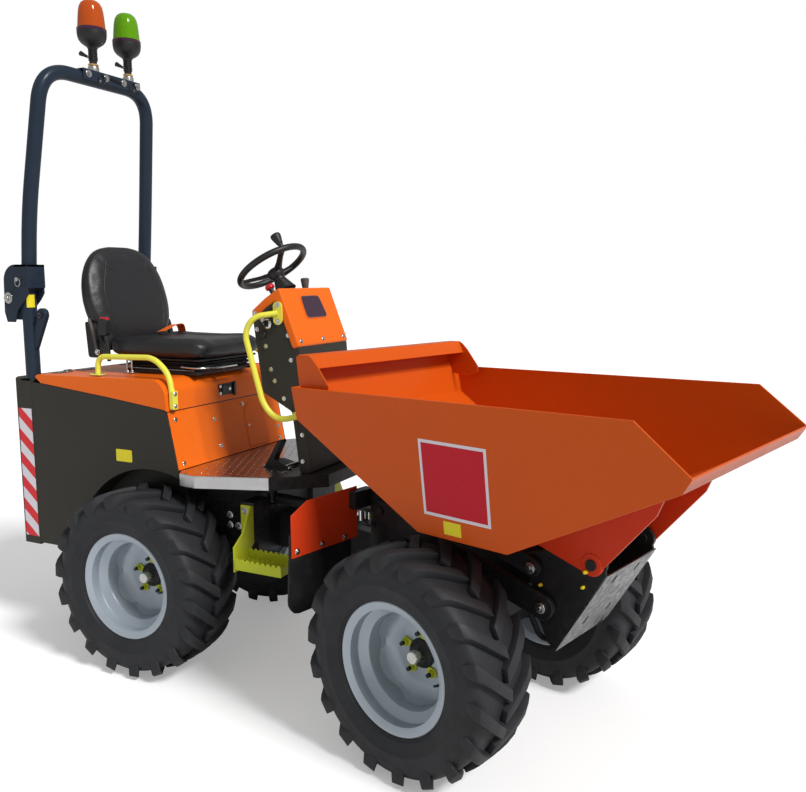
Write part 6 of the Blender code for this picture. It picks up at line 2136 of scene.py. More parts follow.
@dataclass
class SteeringWheel:
    """The three-spoke wheel with a soft rim, a hub cap and a spinner knob.

    Attributes:
        hub: Place of its middle, as (x, z).
        tilt: Lean of its axis towards the seat.
        ring_radius: Radius of the rim's middle line.
        grip_radius: Radius of the rim's section.
        spoke_rows: Distance from the axis, half width, low edge and high edge of each section
            of a spoke.
        spoke_sides: Sides of a spoke's section.
        spoke_square: Power that squares off a spoke's section.
    """

    hub: Flat = LAYOUT.wheel_hub
    tilt: float = LAYOUT.wheel_tilt
    ring_radius: float = 0.144
    grip_radius: float = 0.014
    spoke_rows: tuple[tuple[float, float, float, float], ...] = (
        (0.012, 0.021, -0.042, -0.020), (0.034, 0.0185, -0.036, -0.018),
        (0.065, 0.0140, -0.026, -0.012), (0.100, 0.0125, -0.015, -0.001),
        (0.126, 0.0145, -0.008, 0.006), (0.140, 0.0190, -0.006, 0.007),
    )
    spoke_sides: int = 12
    spoke_square: float = 0.7

    def spoke(self, shape: Shape, angle: float) -> None:
        """Add one spoke, which rises and widens from the hub to the rim."""
        heading = Vector((math.cos(angle), math.sin(angle), 0.0))
        aside = Vector((-heading.y, heading.x, 0.0))
        rings = []
        for distance, half, low, high in self.spoke_rows:
            section = []
            for i in range(self.spoke_sides):
                turn = 2.0 * math.pi * i / self.spoke_sides
                reach = squared(math.cos(turn), self.spoke_square) * half
                swing = squared(math.sin(turn), self.spoke_square) * (high - low) / 2
                rise = Vector((0.0, 0.0, (low + high) / 2 + swing))
                section.append(shape.mesh.verts.new(heading * distance + aside * reach + rise))
            rings.append(section)
        shape.join_rings(rings, BLACK_PLASTIC)

    def build(self) -> None:
        """Build the wheel in its own plane and tilt it into place."""
        shape = Shape()
        ring = []
        for i in range(20):
            turn = 2.0 * math.pi * i / 20
            swell = 0.92 if math.cos(turn) < -0.4 else 1.0
            ring.append((
                self.ring_radius + self.grip_radius * 0.93 * math.sin(turn),
                self.grip_radius * math.cos(turn) * swell,
            ))
        shape.lathe(ring, ORIGIN, UP, BLACK_PLASTIC, 96, closed=True)
        hub = [
            (0.0, -0.012), (0.020, -0.0125), (0.028, -0.015), (0.0335, -0.020), (0.0340, -0.038),
            (0.030, -0.048), (0.026, -0.055), (0.0, -0.055),
        ]
        shape.lathe(hub, ORIGIN, UP, BLACK_PLASTIC, 48)
        cap = [(0.0, -0.0105), (0.018, -0.011), (0.020, -0.0135), (0.0, -0.0135)]
        shape.lathe(cap, ORIGIN, UP, PLATE_BLACK, 40)
        for degrees in (-30.0, 90.0, 210.0):
            self.spoke(shape, math.radians(degrees))
        knob = [
            (0.0, 0.006), (0.0105, 0.006), (0.0105, 0.020), (0.0130, 0.024), (0.0145, 0.030),
            (0.0205, 0.052), (0.0215, 0.060), (0.0190, 0.066), (0.010, 0.0678), (0.0, 0.068),
        ]
        knob_turn = math.radians(-30.0)
        knob_place = Vector((math.cos(knob_turn), math.sin(knob_turn), 0.0)) * self.ring_radius
        shape.lathe(knob, knob_place, UP, BLACK_PLASTIC, 40)
        place = Matrix.Translation(on_side(self.hub, 0.0)) @ Matrix.Rotation(-self.tilt, 4, "Y")
        shape.mesh.transform(place)
        Piece(
            "steering_wheel_dressed", "steering", replaces=("steering_wheel",), sharp=40.0
        ).make(shape)


# Bonnet and seat.


@dataclass
class Bonnet:
    """The folded orange bonnet with its gasket, latch, hinge rod and bolts."""

    top_rear: Flat = (-0.631, 1.156)
    front_edge: Flat = (0.020, 1.096)
    edge_radius: float = 0.070
    lift: float = 0.004
    skin: float = 0.005

    def side_view(self) -> list[Flat]:
        """Return the bonnet's side outline."""
        lower = [
            (self.top_rear[0], self.top_rear[1] - 0.012), (-0.600, 1.1165 + self.lift),
            (-0.199, 1.077 + self.lift), (0.074, 1.046 + self.lift), (0.095, 1.0385 + self.lift),
        ]
        nose = arc(self.front_edge, self.edge_radius, 8.0, 90.0, 18)
        return lower + nose + [(self.top_rear[0] + 0.01, self.top_rear[1])]

    def shell(self) -> None:
        """Build the shell, whose rear edge leaves room for the hinge knuckles."""
        half = LAYOUT.body_half_width
        outline = self.side_view()
        shape = Shape()
        for side in (-1.0, 1.0):
            shape.prism(outline, side * (half - self.skin), side * half, ORANGE)
        top = outline[5:]
        inner = [(x - 0.004 * math.cos(math.radians(45)), z - self.skin) for x, z in top]
        sheet = top + inner[::-1]
        shape.prism(sheet, -half + 0.002, half - 0.002, ORANGE)
        front = [(0.095, 1.0425), (0.0893, 1.106), (0.0843, 1.106), (0.090, 1.0425)]
        shape.prism(front, -half + 0.002, half - 0.002, ORANGE)
        rear = [(-0.631, 1.144), (-0.631, 1.150), (-0.6215, 1.156), (-0.6215, 1.150), (-0.626, 1.144)]
        for low, high in ((-half + 0.002, -0.217), (-0.173, 0.173), (0.217, half - 0.002)):
            shape.prism(rear, low, high, ORANGE)
        shape.rod((-0.628, -0.25, 1.150), (-0.628, 0.25, 1.150), 0.006, ZINC)
        Piece(
            "bonnet_dressed", "bonnet", replaces=("bonnet",), bevel=0.0045, bevel_segments=3
        ).make(shape)

    def gasket(self) -> None:
        """Build the black gasket under the bonnet's edge."""
        half = LAYOUT.body_half_width
        shape = Shape()
        seam = [
            (-0.652, 1.1200), (-0.199, 1.0775), (0.074, 1.0465), (0.074, 1.0495),
            (-0.199, 1.0805), (-0.652, 1.1230),
        ]
        for side in (-1.0, 1.0):
            shape.prism(seam, side * (half - 0.010), side * (half - 0.001), BLACK_PLASTIC)
        shape.box((0.076, -half + 0.006, 1.0392), (0.093, half - 0.006, 1.0424), BLACK_PLASTIC)
        Piece("bonnet_gasket", "rear_chassis").make(shape)

    def hinge_leaves(self) -> None:
        """Build the four bolted hinge leaves along the rear edge."""
        shape = Shape()
        bolts = Studs("bonnet_hinge_bolts", "bonnet", radius=0.006, height=0.004, washer_radius=0.009)
        for low, high in ((-0.30, -0.225), (-0.165, -0.09), (0.09, 0.165), (0.225, 0.30)):
            shape.box((-0.612, low, 1.1562), (-0.560, high, 1.1592), GALVANISED)
            for y in (low + 0.016, high - 0.016):
                bolts.at((-0.582, y, 1.1598), UP)
        Piece("bonnet_hinge_leaves", "bonnet", bevel=0.001).make(shape)
        bolts.make()

    def latch(self) -> None:
        """Build the latch on the front face: dish, cover, paddle and key barrel."""
        latch = Shape()
        front_x = 0.0905
        dish = rounded(rectangle(-0.045, 0.062, 1.066, 1.114), 0.008)
        latch.prism(dish, front_x - 0.004, front_x + 0.0035, BLACK_STEEL, Plane.YZ)
        cover = rounded(rectangle(-0.028, 0.034, 1.074, 1.106), 0.006)
        latch.prism(cover, front_x + 0.002, front_x + 0.0085, BLACK_PLASTIC, Plane.YZ)
        paddle = rounded(rectangle(0.046, 0.060, 1.058, 1.120), 0.006)
        latch.prism(paddle, front_x + 0.002, front_x + 0.0125, BLACK_PLASTIC, Plane.YZ)
        latch.rod((front_x + 0.008, 0.018, 1.090), (front_x + 0.0115, 0.018, 1.090), 0.0075, ZINC)
        Piece("bonnet_latch", "bonnet", bevel=0.0015).make(latch)
        screws = Studs("bonnet_latch_screws", "bonnet", radius=0.005, height=0.003, washer_radius=0.0075)
        for z in (1.075, 1.105):
            screws.at((front_x + 0.004, -0.037, z), (1.0, 0.0, 0.0))
        screws.make()

    def build(self) -> None:
        """Build the bonnet and its fittings."""
        self.shell()
        self.gasket()
        self.hinge_leaves()
        self.latch()


@dataclass
class Seat:
    """The padded seat on its bellows, with its belt, side plates and levers."""

    base_z: float = 1.1663
    half: float = 0.235
    seam_radius: float = 0.0022

    def loft(
        self,
        rows: list[tuple[float, float, float, float, float]],
        finish: Look,
        upright: bool,
        dish: float = 0.0,
    ) -> Shape:
        """Return a closed body through superellipse sections.

        Args:
            rows: Station, low edge, high edge, half width and squareness of each section.
            finish: The finish.
            upright: True if the stations are heights and the edges lie along X, False if the
                stations lie along X and the edges are heights.
            dish: Depth of the hollow between the side bolsters.

        Returns:
            The shape.
        """
        count = 72
        shape = Shape()
        rings = []
        for number, (station, low, high, half, square) in enumerate(rows):
            share = number / (len(rows) - 1)
            hollow = dish * max(0.0, min(1.0, share * 5.0, (1.0 - share) * 3.5 - 0.15))
            ring = []
            for i in range(count):
                turn = 2.0 * math.pi * i / count
                edge = squared(math.cos(turn), square)
                reach = squared(math.sin(turn), square)
                middle = (low + high) / 2.0 + (high - low) / 2.0 * edge
                if edge > 0.0:
                    flank = min(1.0, max(0.0, (abs(reach) - 0.48) / 0.34))
                    middle -= hollow * edge * (1.0 - flank * flank * (3.0 - 2.0 * flank))
                if upright:
                    ring.append(shape.mesh.verts.new((middle, half * reach, station)))
                else:
                    ring.append(shape.mesh.verts.new((station, half * reach, middle)))
            rings.append(ring)
        shape.join_rings(rings, finish)
        bmesh.ops.recalc_face_normals(shape.mesh, faces=shape.mesh.faces)
        return shape

    def dense(self, rows: list[tuple[float, ...]], steps: int) -> list[tuple[float, ...]]:
        """Return smoothly interpolated rows, steps of them for each given interval."""
        result = []
        last = len(rows) - 1
        for i in range(last):
            before, start = rows[max(i - 1, 0)], rows[i]
            end, after = rows[i + 1], rows[min(i + 2, last)]
            for j in range(steps):
                t = j / steps
                row = []
                for p0, p1, p2, p3 in zip(before, start, end, after):
                    value = 0.5 * (
                        2 * p1 + (p2 - p0) * t + (2 * p0 - 5 * p1 + 4 * p2 - p3) * t * t
                        + (3 * p1 - p0 - 3 * p2 + p3) * t ** 3
                    )
                    row.append(value)
                result.append(tuple(row))
        result.append(rows[-1])
        return result

    def inflate(self, shape: Shape, name: str, node: str, cap: float) -> bpy.types.Object:
        """Swell a pad with a short cloth simulation and return the finished object.

        Args:
            shape: The pad, slightly smaller than the finished one.
            name: The piece's name.
            node: The CAD node that it stands for.
            cap: The furthest that a point may move.

        Returns:
            The pad.
        """
        shape.mesh.transform(Half.REAR.matrix())
        pad = stand(name, shape.to_mesh(name))
        remesh = pad.modifiers.new("even_faces", "REMESH")
        remesh.mode = "VOXEL"
        remesh.voxel_size = 0.006
        flatten(pad)
        before = [vertex.co.copy() for vertex in pad.data.vertices]
        cloth = pad.modifiers.new("filling", "CLOTH")
        cloth.settings.use_pressure = True
        cloth.settings.uniform_pressure_force = 4.0
        cloth.settings.effector_weights.gravity = 0.0
        cloth.settings.quality = 4
        scene = bpy.context.scene
        for number in range(1, 21):
            scene.frame_set(number)
        flatten(pad)
        scene.frame_set(1)
        for vertex, start in zip(pad.data.vertices, before):
            move = vertex.co - start
            if move.length > cap:
                vertex.co = start + move.normalized() * cap
        ease = pad.modifiers.new("ease", "SMOOTH")
        ease.factor = 0.5
        ease.iterations = 10
        flatten(pad)
        smooth = pad.modifiers.new("smooth", "SUBSURF")
        smooth.levels = 1
        smooth.render_levels = 1
        pad.data.shade_smooth()
        pad.data.materials.clear()
        pad.data.materials.append(VINYL.material())
        settle(pad, "bonnet", (node,))
        return pad

    def cushion(self) -> bpy.types.Object:
        """Build the seat cushion with its waterfall front and side bolsters."""
        rows = [
            (-0.366, 1.262, 1.304, 0.170, 0.50), (-0.352, 1.242, 1.316, 0.205, 0.42),
            (-0.300, 1.237, 1.318, 0.222, 0.40), (-0.180, 1.237, 1.315, 0.226, 0.40),
            (-0.050, 1.237, 1.314, 0.228, 0.40), (0.060, 1.237, 1.318, 0.224, 0.42),
            (0.118, 1.239, 1.312, 0.210, 0.46), (0.142, 1.247, 1.296, 0.180, 0.55),
            (0.148, 1.258, 1.284, 0.140, 0.65),
        ]
        shape = self.loft(self.dense(rows, 3), VINYL, upright=False, dish=0.012)
        return self.inflate(shape, "seat_cushion_dressed", "seat_cushion", 0.006)

    def backrest(self) -> bpy.types.Object:
        """Build the tall backrest with its rounded head and side bolsters."""
        front_x = -0.3703
        rows = [
            (1.248, front_x - 0.006, -0.442, 0.196, 0.5), (1.330, front_x - 0.006, -0.464, 0.201, 0.45),
            (1.385, front_x - 0.013, -0.478, 0.228, 0.45), (1.460, -0.402, -0.492, 0.240, 0.45),
            (1.550, -0.425, -0.504, 0.231, 0.45), (1.620, -0.444, -0.512, 0.204, 0.48),
            (1.670, -0.460, -0.516, 0.162, 0.52), (1.696, -0.472, -0.514, 0.114, 0.6),
            (1.708, -0.484, -0.504, 0.056, 0.7),
        ]
        shape = self.loft(self.dense(rows, 4), VINYL, upright=True, dish=0.026)
        return self.inflate(shape, "seat_back_dressed", "seat_back", 0.005)

    def seam(
        self, pad: bpy.types.Object, path: list[Vector], cast: Vector, name: str, closed: bool
    ) -> None:
        """Lay a sewn seam on a pad: a fine welt that follows its surface.

        Args:
            pad: The pad.
            path: Points in the machine's coordinates near the surface.
            cast: Direction from the points towards the surface.
            name: The piece's name.
            closed: Whether the last point joins the first.
        """
        matrix = Half.REAR.matrix()
        line = matrix.to_3x3() @ cast
        laid = []
        for point in path:
            origin = matrix @ point - line * 0.08
            hit, place, normal, _ = pad.ray_cast(origin, line)
            if hit:
                laid.append(place - normal * self.seam_radius * 0.35)
        if closed and laid:
            laid.append(laid[0])
        shape = Shape()
        shape.pipe(laid, self.seam_radius, VINYL, 8)
        shape.mesh.transform(matrix.inverted())
        Piece(name, "bonnet", sharp=60.0).make(shape)

    def seams(self, cushion: bpy.types.Object, back: bpy.types.Object) -> None:
        """Sew the oval head panel, the bolster lines and the cushion's panels."""
        head = []
        half = 0.118
        for i in range(49):
            turn = 2.0 * math.pi * i / 48
            y = half * squared(math.cos(turn), 0.8)
            arch = 0.008 * (1 - (y / half) ** 2)
            head.append(Vector((-0.35, y, 1.630 + 0.040 * squared(math.sin(turn), 0.8) + arch)))
        backwards = Vector((-1.0, 0.0, 0.0))
        self.seam(back, head, backwards, "head_panel_seam", True)
        for name, side in SIDES:
            corners = [
                (-0.30, side * 0.120, 1.262), (-0.30, side * 0.140, 1.345), (-0.30, side * 0.168, 1.420),
                (-0.30, side * 0.165, 1.520), (-0.30, side * 0.140, 1.585), (-0.30, side * 0.119, 1.628),
            ]
            self.seam(back, smooth_path(corners, 0.05, 8), backwards, f"bolster_seam_{name}", False)
            corners = [
                (-0.355, side * 0.10, 1.40), (-0.25, side * 0.125, 1.40), (-0.05, side * 0.140, 1.40),
                (0.07, side * 0.150, 1.40), (0.135, side * 0.130, 1.40),
            ]
            path = smooth_path(corners, 0.06, 10)
            self.seam(cushion, path, Vector((0.0, 0.0, -1.0)), f"cushion_seam_{name}", False)

    def suspension(self) -> None:
        """Build the bellows, the slide rails, the height knob, the lever and the seat pan."""
        shape = Shape()
        base = self.base_z
        folds = 3
        rows = [
            (base + 0.006 + i * 0.0088, 0.0 if i % 2 == 0 else 0.016) for i in range(folds * 2 + 1)
        ]
        rings = []
        for z, grow in [(base, 0.0), *rows, (1.2319, 0.0)]:
            outline = rectangle(-0.284 - grow, 0.092 + grow, -0.172 - grow, 0.172 + grow)
            rings.append([shape.mesh.verts.new((x, y, z)) for x, y in rounded(outline, 0.040, 6)])
        shape.join_rings(rings, BLACK_PLASTIC)
        for side in (-1.0, 1.0):
            shape.box((-0.28, side * 0.158, base + 0.001), (0.10, side * 0.186, base + 0.013), BLACK_STEEL)
            shape.box((-0.27, side * 0.162, base + 0.012), (0.08, side * 0.182, base + 0.021), ZINC)
        shape.box((-0.30, -0.19, 1.2240), (0.115, 0.19, 1.2328), BLACK_STEEL)
        Piece(
            "seat_suspension_dressed", "bonnet", replaces=("seat_suspension",), bevel=0.0022
        ).make(shape)
        fitting = Shape()
        fitting.rod((0.085, -0.07, 1.205), (0.128, -0.07, 1.196), 0.0065, ZINC)
        fitting.rod((0.116, -0.07, 1.199), (0.142, -0.07, 1.193), 0.013, BLACK_PLASTIC, 0.011)
        lever = [(0.02, -0.19, 1.200), (0.10, -0.195, 1.197), (0.140, -0.12, 1.195), (0.140, 0.02, 1.195)]
        fitting.pipe(smooth_path(lever, 0.04, 8), 0.004, ZINC, 14)
        for x in (-0.262, -0.235):
            fitting.rod((x, -0.205, base + 0.0005), (x, -0.205, 1.238), 0.0042, ZINC)
            fitting.bolt((x, -0.205, base + 0.0003), UP, 0.0085)
        Piece("seat_fittings", "bonnet", bevel=0.0006).make(fitting)

    def buckle(self) -> None:
        """Build the belt's buckle with its stalk and red button."""
        shape = Shape()
        y = -0.247
        stalk = smooth_path([(-0.320, y, 1.215), (-0.322, y, 1.275), (-0.335, y, 1.330)], 0.03, 8)
        shape.pipe(stalk, 0.008, BLACK_PLASTIC, 16)
        body = rounded([(-0.362, 1.325), (-0.318, 1.325), (-0.312, 1.392), (-0.356, 1.396)], 0.010)
        shape.prism(body, y - 0.016, y + 0.012, BLACK_PLASTIC)
        button = rounded([(-0.354, 1.388), (-0.316, 1.385), (-0.315, 1.399), (-0.353, 1.402)], 0.004)
        shape.prism(button, y - 0.012, y + 0.008, BUTTON_RED)
        Piece("belt_buckle", "bonnet", bevel=0.002).make(shape)

    def side_plates(self) -> None:
        """Build the plates beside the backrest's foot and the recliner lever."""
        shape = Shape()
        arm = rounded([
            (-0.455, 1.225), (-0.345, 1.225), (-0.345, 1.262), (-0.392, 1.300), (-0.412, 1.375),
            (-0.468, 1.380),
        ], 0.014)
        for side in (-1.0, 1.0):
            shape.prism(arm, side * 0.212, side * 0.232, BLACK_PLASTIC)
            shape.bolt((-0.400, side * 0.2325, 1.250), (0.0, side, 0.0), 0.009)
        lever = [(-0.400, -0.236, 1.262), (-0.404, -0.245, 1.330), (-0.424, -0.248, 1.392)]
        shape.pipe(smooth_path(lever, 0.03, 8), 0.0065, KNOB_GREY, 16)
        Piece("seat_side_plates", "bonnet", bevel=0.002).make(shape)

    def belt(self) -> None:
        """Build the orange belt that lies across the cushion's rear."""
        shape = Shape()
        path = smooth_path([
            (-0.345, 0.238, 1.300), (-0.325, 0.205, 1.350), (-0.300, 0.130, 1.352),
            (-0.290, 0.070, 1.335), (-0.285, 0.030, 1.3262),
        ], 0.05, 8)
        half_width = 0.023
        thickness = 0.0022
        lean = Vector((0.93, 0.0, 0.12)).normalized() * half_width
        rise = Vector((0.0, 0.0, thickness))
        edges = (-lean, -lean + rise, lean + rise, lean)
        rows = [[shape.mesh.verts.new(point + offset) for offset in edges] for point in path]
        shape.join_rings(rows, BELT_ORANGE)
        Piece("belt_webbing", "bonnet").make(shape)

    def build(self) -> None:
        """Build the whole seat."""
        cushion = self.cushion()
        back = self.backrest()
        self.seams(cushion, back)
        self.suspension()
        self.buckle()
        self.side_plates()
        self.belt()


# Machinery and running gear.


@dataclass
class Machinery:
    """The engine under the bonnet and the bolts on the rear frame."""

    def engine(self) -> None:
        """Build the engine block with its cover, fins, filler caps and pulley."""
        shape = Shape()
        block = rounded(rectangle(-0.518, -0.052, 0.5903, 0.86), 0.02)
        shape.prism(block, -0.175, 0.175, ENGINE_IRON)
        cover = rounded(rectangle(-0.48, -0.09, 0.855, 0.985), 0.03)
        shape.prism(cover, -0.14, 0.14, ENGINE_IRON)
        for i in range(9):
            x = -0.49 + 0.05 * i
            shape.box((x, -0.1845, 0.62), (x + 0.012, 0.1845, 0.84), ENGINE_IRON)
        for x in (-0.40, -0.28, -0.16):
            shape.rod((x, 0.0, 0.97), (x, 0.0, 0.9995), 0.032, ENGINE_IRON)
        pulley = [
            (0.0, 0.0), (0.07, 0.0), (0.07, 0.008), (0.060, 0.012), (0.070, 0.016), (0.070, 0.024),
            (0.0, 0.024),
        ]
        shape.lathe(pulley, (-0.052, 0.0, 0.76), (1.0, 0.0, 0.0), BLACK_STEEL, 48)
        Piece("engine_dressed", "rear_chassis", replaces=("engine_block",), bevel=0.003).make(shape)

    def frame_bolts(self) -> None:
        """Set the bolts on both sides of the rear frame."""
        rear = Studs("rear_frame_bolts", "rear_chassis", radius=0.010, height=0.007, washer_radius=0.015)
        for side in (-1.0, 1.0):
            for x, z in ((0.335, 0.600), (0.335, 0.640), (0.375, 0.600)):
                rear.at((x, side * 0.3006, z), (0.0, side, 0.0))
        rear.make()

    def build(self) -> None:
        """Build the engine and the bolts."""
        self.engine()
        self.frame_bolts()


@dataclass
class Mudguards:
    """The front guards with the rubber flaps bolted behind them.

    Attributes:
        rear_x: Where the flaps' rear faces are.
        flap_face: Where the flaps end and the guards start.
        guard_face: Where the guards' front faces are.
    """

    rear_x: float = 0.9500
    flap_face: float = 0.9556
    guard_face: float = 0.9592

    def build(self) -> None:
        """Build both guards with their flaps and bolts."""
        for name, side in SIDES:
            guard = [(side * y, z) for y, z in (
                (0.210, 0.622), (0.526, 0.618), (0.526, 0.768), (0.453, 0.807), (0.210, 0.812),
            )]
            shape = Shape()
            # The guard plate and its strap take the skip's orange with painted shade.
            shape.prism(guard, self.flap_face, self.guard_face, SKIP_ORANGE_IN_PAINTED_SHADE, Plane.YZ)
            flap = [(side * y, z) for y, z in (
                (0.240, 0.700), (0.240, 0.418), (0.252, 0.415), (0.495, 0.415), (0.516, 0.421),
                (0.532, 0.438), (0.541, 0.455), (0.542, 0.475), (0.530, 0.700),
            )]
            shape.prism(flap, self.rear_x, self.flap_face - 0.0002, FLAP_RUBBER, Plane.YZ)
            strap = [(side * y, z) for y, z in (
                (0.245, 0.628), (0.524, 0.624), (0.524, 0.650), (0.245, 0.652),
            )]
            shape.prism(strap, self.rear_x - 0.0024, self.rear_x - 0.0002, SKIP_ORANGE_IN_PAINTED_SHADE, Plane.YZ)
            node = f"mudguard_{name}"
            Piece(
                f"{node}_dressed", "front_chassis", Half.FRONT, replaces=(node,), bevel=0.0008
            ).make(shape)
            bolts = Studs(
                f"{node}_bolts", "front_chassis", radius=0.0065, height=0.0045, washer_radius=0.011,
                half=Half.FRONT,
            )
            for y in (0.275, 0.385, 0.500):
                bolts.at((self.guard_face + 0.0005, side * y, 0.637), (1.0, 0.0, 0.0))
                bolts.at((self.rear_x - 0.0030, side * y, 0.637), (-1.0, 0.0, 0.0))
            bolts.make()


@dataclass
class LiftGear:
    """The skip's lift arms and levelling links with their cross tubes and pins."""

    arm_start: Flat = (1.06, 0.73)
    arm_end: Flat = (1.74, 0.55)
    link_start: Flat = (1.02, 0.85)
    link_end: Flat = (1.70, 0.67)
    plate_y: float = 0.185

    def along(self, start: Flat, end: Flat, distance: float) -> Flat:
        """Return the place at a distance along the line between two pins."""
        line = Vector(end) - Vector(start)
        place = Vector(start) + line.normalized() * distance
        return (place.x, place.y)

    def arms(self) -> None:
        """Build the two arm plates, their bosses, cross tube and ram lugs."""
        shape = Shape()
        tube = self.along(self.arm_start, self.arm_end, 0.26)
        for side in (-1.0, 1.0):
            y = side * self.plate_y
            arm = link_outline(self.arm_start, self.arm_end, 0.040, 0.040, 24)
            shape.prism(arm, y - 0.010, y + 0.010, BLACK_STEEL)
        shape.rod(on_side(tube, -0.180), on_side(tube, 0.180), 0.022, BLACK_STEEL, segments=40)
        for offset in (-0.033, 0.033):
            lug = link_outline((1.24, 0.66), tube, 0.024, 0.026)
            shape.prism(lug, offset - 0.005, offset + 0.005, BLACK_STEEL)
        Piece(
            "lift_arms_dressed", "lift_arms", Half.FRONT, replaces=("lift_arms",), bevel=0.0015
        ).make(shape)

    def links(self) -> None:
        """Build the two levelling links and their cross tube."""
        shape = Shape()
        tube = self.along(self.link_start, self.link_end, 0.16)
        for side in (-1.0, 1.0):
            y = side * self.plate_y
            link = link_outline(self.link_start, self.link_end, 0.030, 0.030, 24)
            shape.prism(link, y - 0.007, y + 0.007, BLACK_STEEL)
        shape.rod(on_side(tube, -0.180), on_side(tube, 0.180), 0.018, BLACK_STEEL, segments=40)
        Piece(
            "level_links_dressed", "level_links", Half.FRONT, replaces=("level_links",), bevel=0.0015
        ).make(shape)

    def build(self) -> None:
        """Build the arms and the links."""
        self.arms()
        self.links()


@dataclass
class Nose:
    """The nose carriage with its pins, ringed bosses, capped grease points and hose.

    Attributes:
        plate_y: Distance of the side plates' middle from the machine's.
        plate_half: Half of their thickness.
        pins: The pins of the arms and of the links, as (x, z).
        boss: The boss of the skip's pin.
        caps: The grease caps.
    """

    plate_y: float = 0.160
    plate_half: float = 0.006
    pins: tuple[Flat, ...] = ((1.74, 0.55), (1.70, 0.67))
    boss: Flat = (1.905, 0.722)
    caps: tuple[Flat, ...] = ((1.870, 0.640), (1.722, 0.612))

    def outline(self) -> list[Flat]:
        """Return the side plate's outline."""
        outline = [(1.745, 0.43), (1.775, 0.412), (1.943, 0.690)]
        outline += arc(self.boss, 0.040, -30.0, 110.0, 18)
        outline += [
            (1.80, 0.735), (1.72, 0.722), (1.665, 0.700), (1.655, 0.650), (1.69, 0.600),
            (1.690, 0.53), (1.72, 0.49),
        ]
        return outline

    def carriage(self) -> None:
        """Build the plates, pins, cross bars and the hose between the plates."""
        shape = Shape()
        for side in (-1.0, 1.0):
            y = side * self.plate_y
            shape.prism(self.outline(), y - self.plate_half, y + self.plate_half, BLACK_STEEL)
            for pin in self.pins:
                shape.rod(on_side(pin, side * 0.160), on_side(pin, side * 0.203), 0.0175, ZINC, segments=32)
        shape.rod(on_side((1.74, 0.55), -0.160), on_side((1.74, 0.55), 0.160), 0.014, ZINC)
        for bar in ((1.775, 0.46), (1.82, 0.66)):
            shape.rod(on_side(bar, -0.160), on_side(bar, 0.160), 0.016, BLACK_STEEL)
        corners = [
            (1.715, -0.150, 0.615), (1.672, -0.150, 0.575), (1.672, -0.150, 0.500), (1.712, -0.150, 0.428),
            (1.764, -0.150, 0.432),
        ]
        shape.pipe(smooth_path(corners, 0.035, 10), 0.009, BLACK_PLASTIC, 20)
        Piece("nose_dressed", "nose", Half.FRONT, replaces=("nose",), bevel=0.0012).make(shape)

    def fittings(self) -> None:
        """Build the turned rings on the bosses and the yellow grease caps."""
        shape = Shape()
        caps = Shape()
        for side in (-1.0, 1.0):
            face = side * (self.plate_y + self.plate_half)
            out = (0.0, side, 0.0)
            for place in self.pins:
                end = on_side(place, side * 0.2028)
                disc = [(0.0, 0.0), (0.0135, 0.0), (0.0135, 0.0018), (0.0, 0.0018)]
                shape.lathe(disc, end, out, ZINC, 32)
                shape.bolt(on_side(place, side * 0.2044), out, 0.0075, ZINC, 0.0)
            rings = [
                (0.0, 0.0), (0.034, 0.0), (0.034, 0.004), (0.029, 0.004), (0.028, 0.002),
                (0.022, 0.002), (0.021, 0.005), (0.012, 0.0065), (0.0, 0.0065),
            ]
            shape.lathe(rings, on_side(self.boss, face - side * 0.0003), out, BLACK_STEEL, 48)
            cap = [(0.0, 0.0), (0.0055, 0.0), (0.0060, 0.006), (0.0045, 0.011), (0.0, 0.012)]
            for place in self.caps:
                caps.lathe(cap, on_side(place, face), out, PLATE_YELLOW, 24)
        Piece("nose_fittings", "nose", Half.FRONT, bevel=0.0006).make(shape)
        Piece("nose_grease_caps", "nose", Half.FRONT).make(caps)

    def build(self) -> None:
        """Build the carriage and its fittings."""
        self.carriage()
        self.fittings()


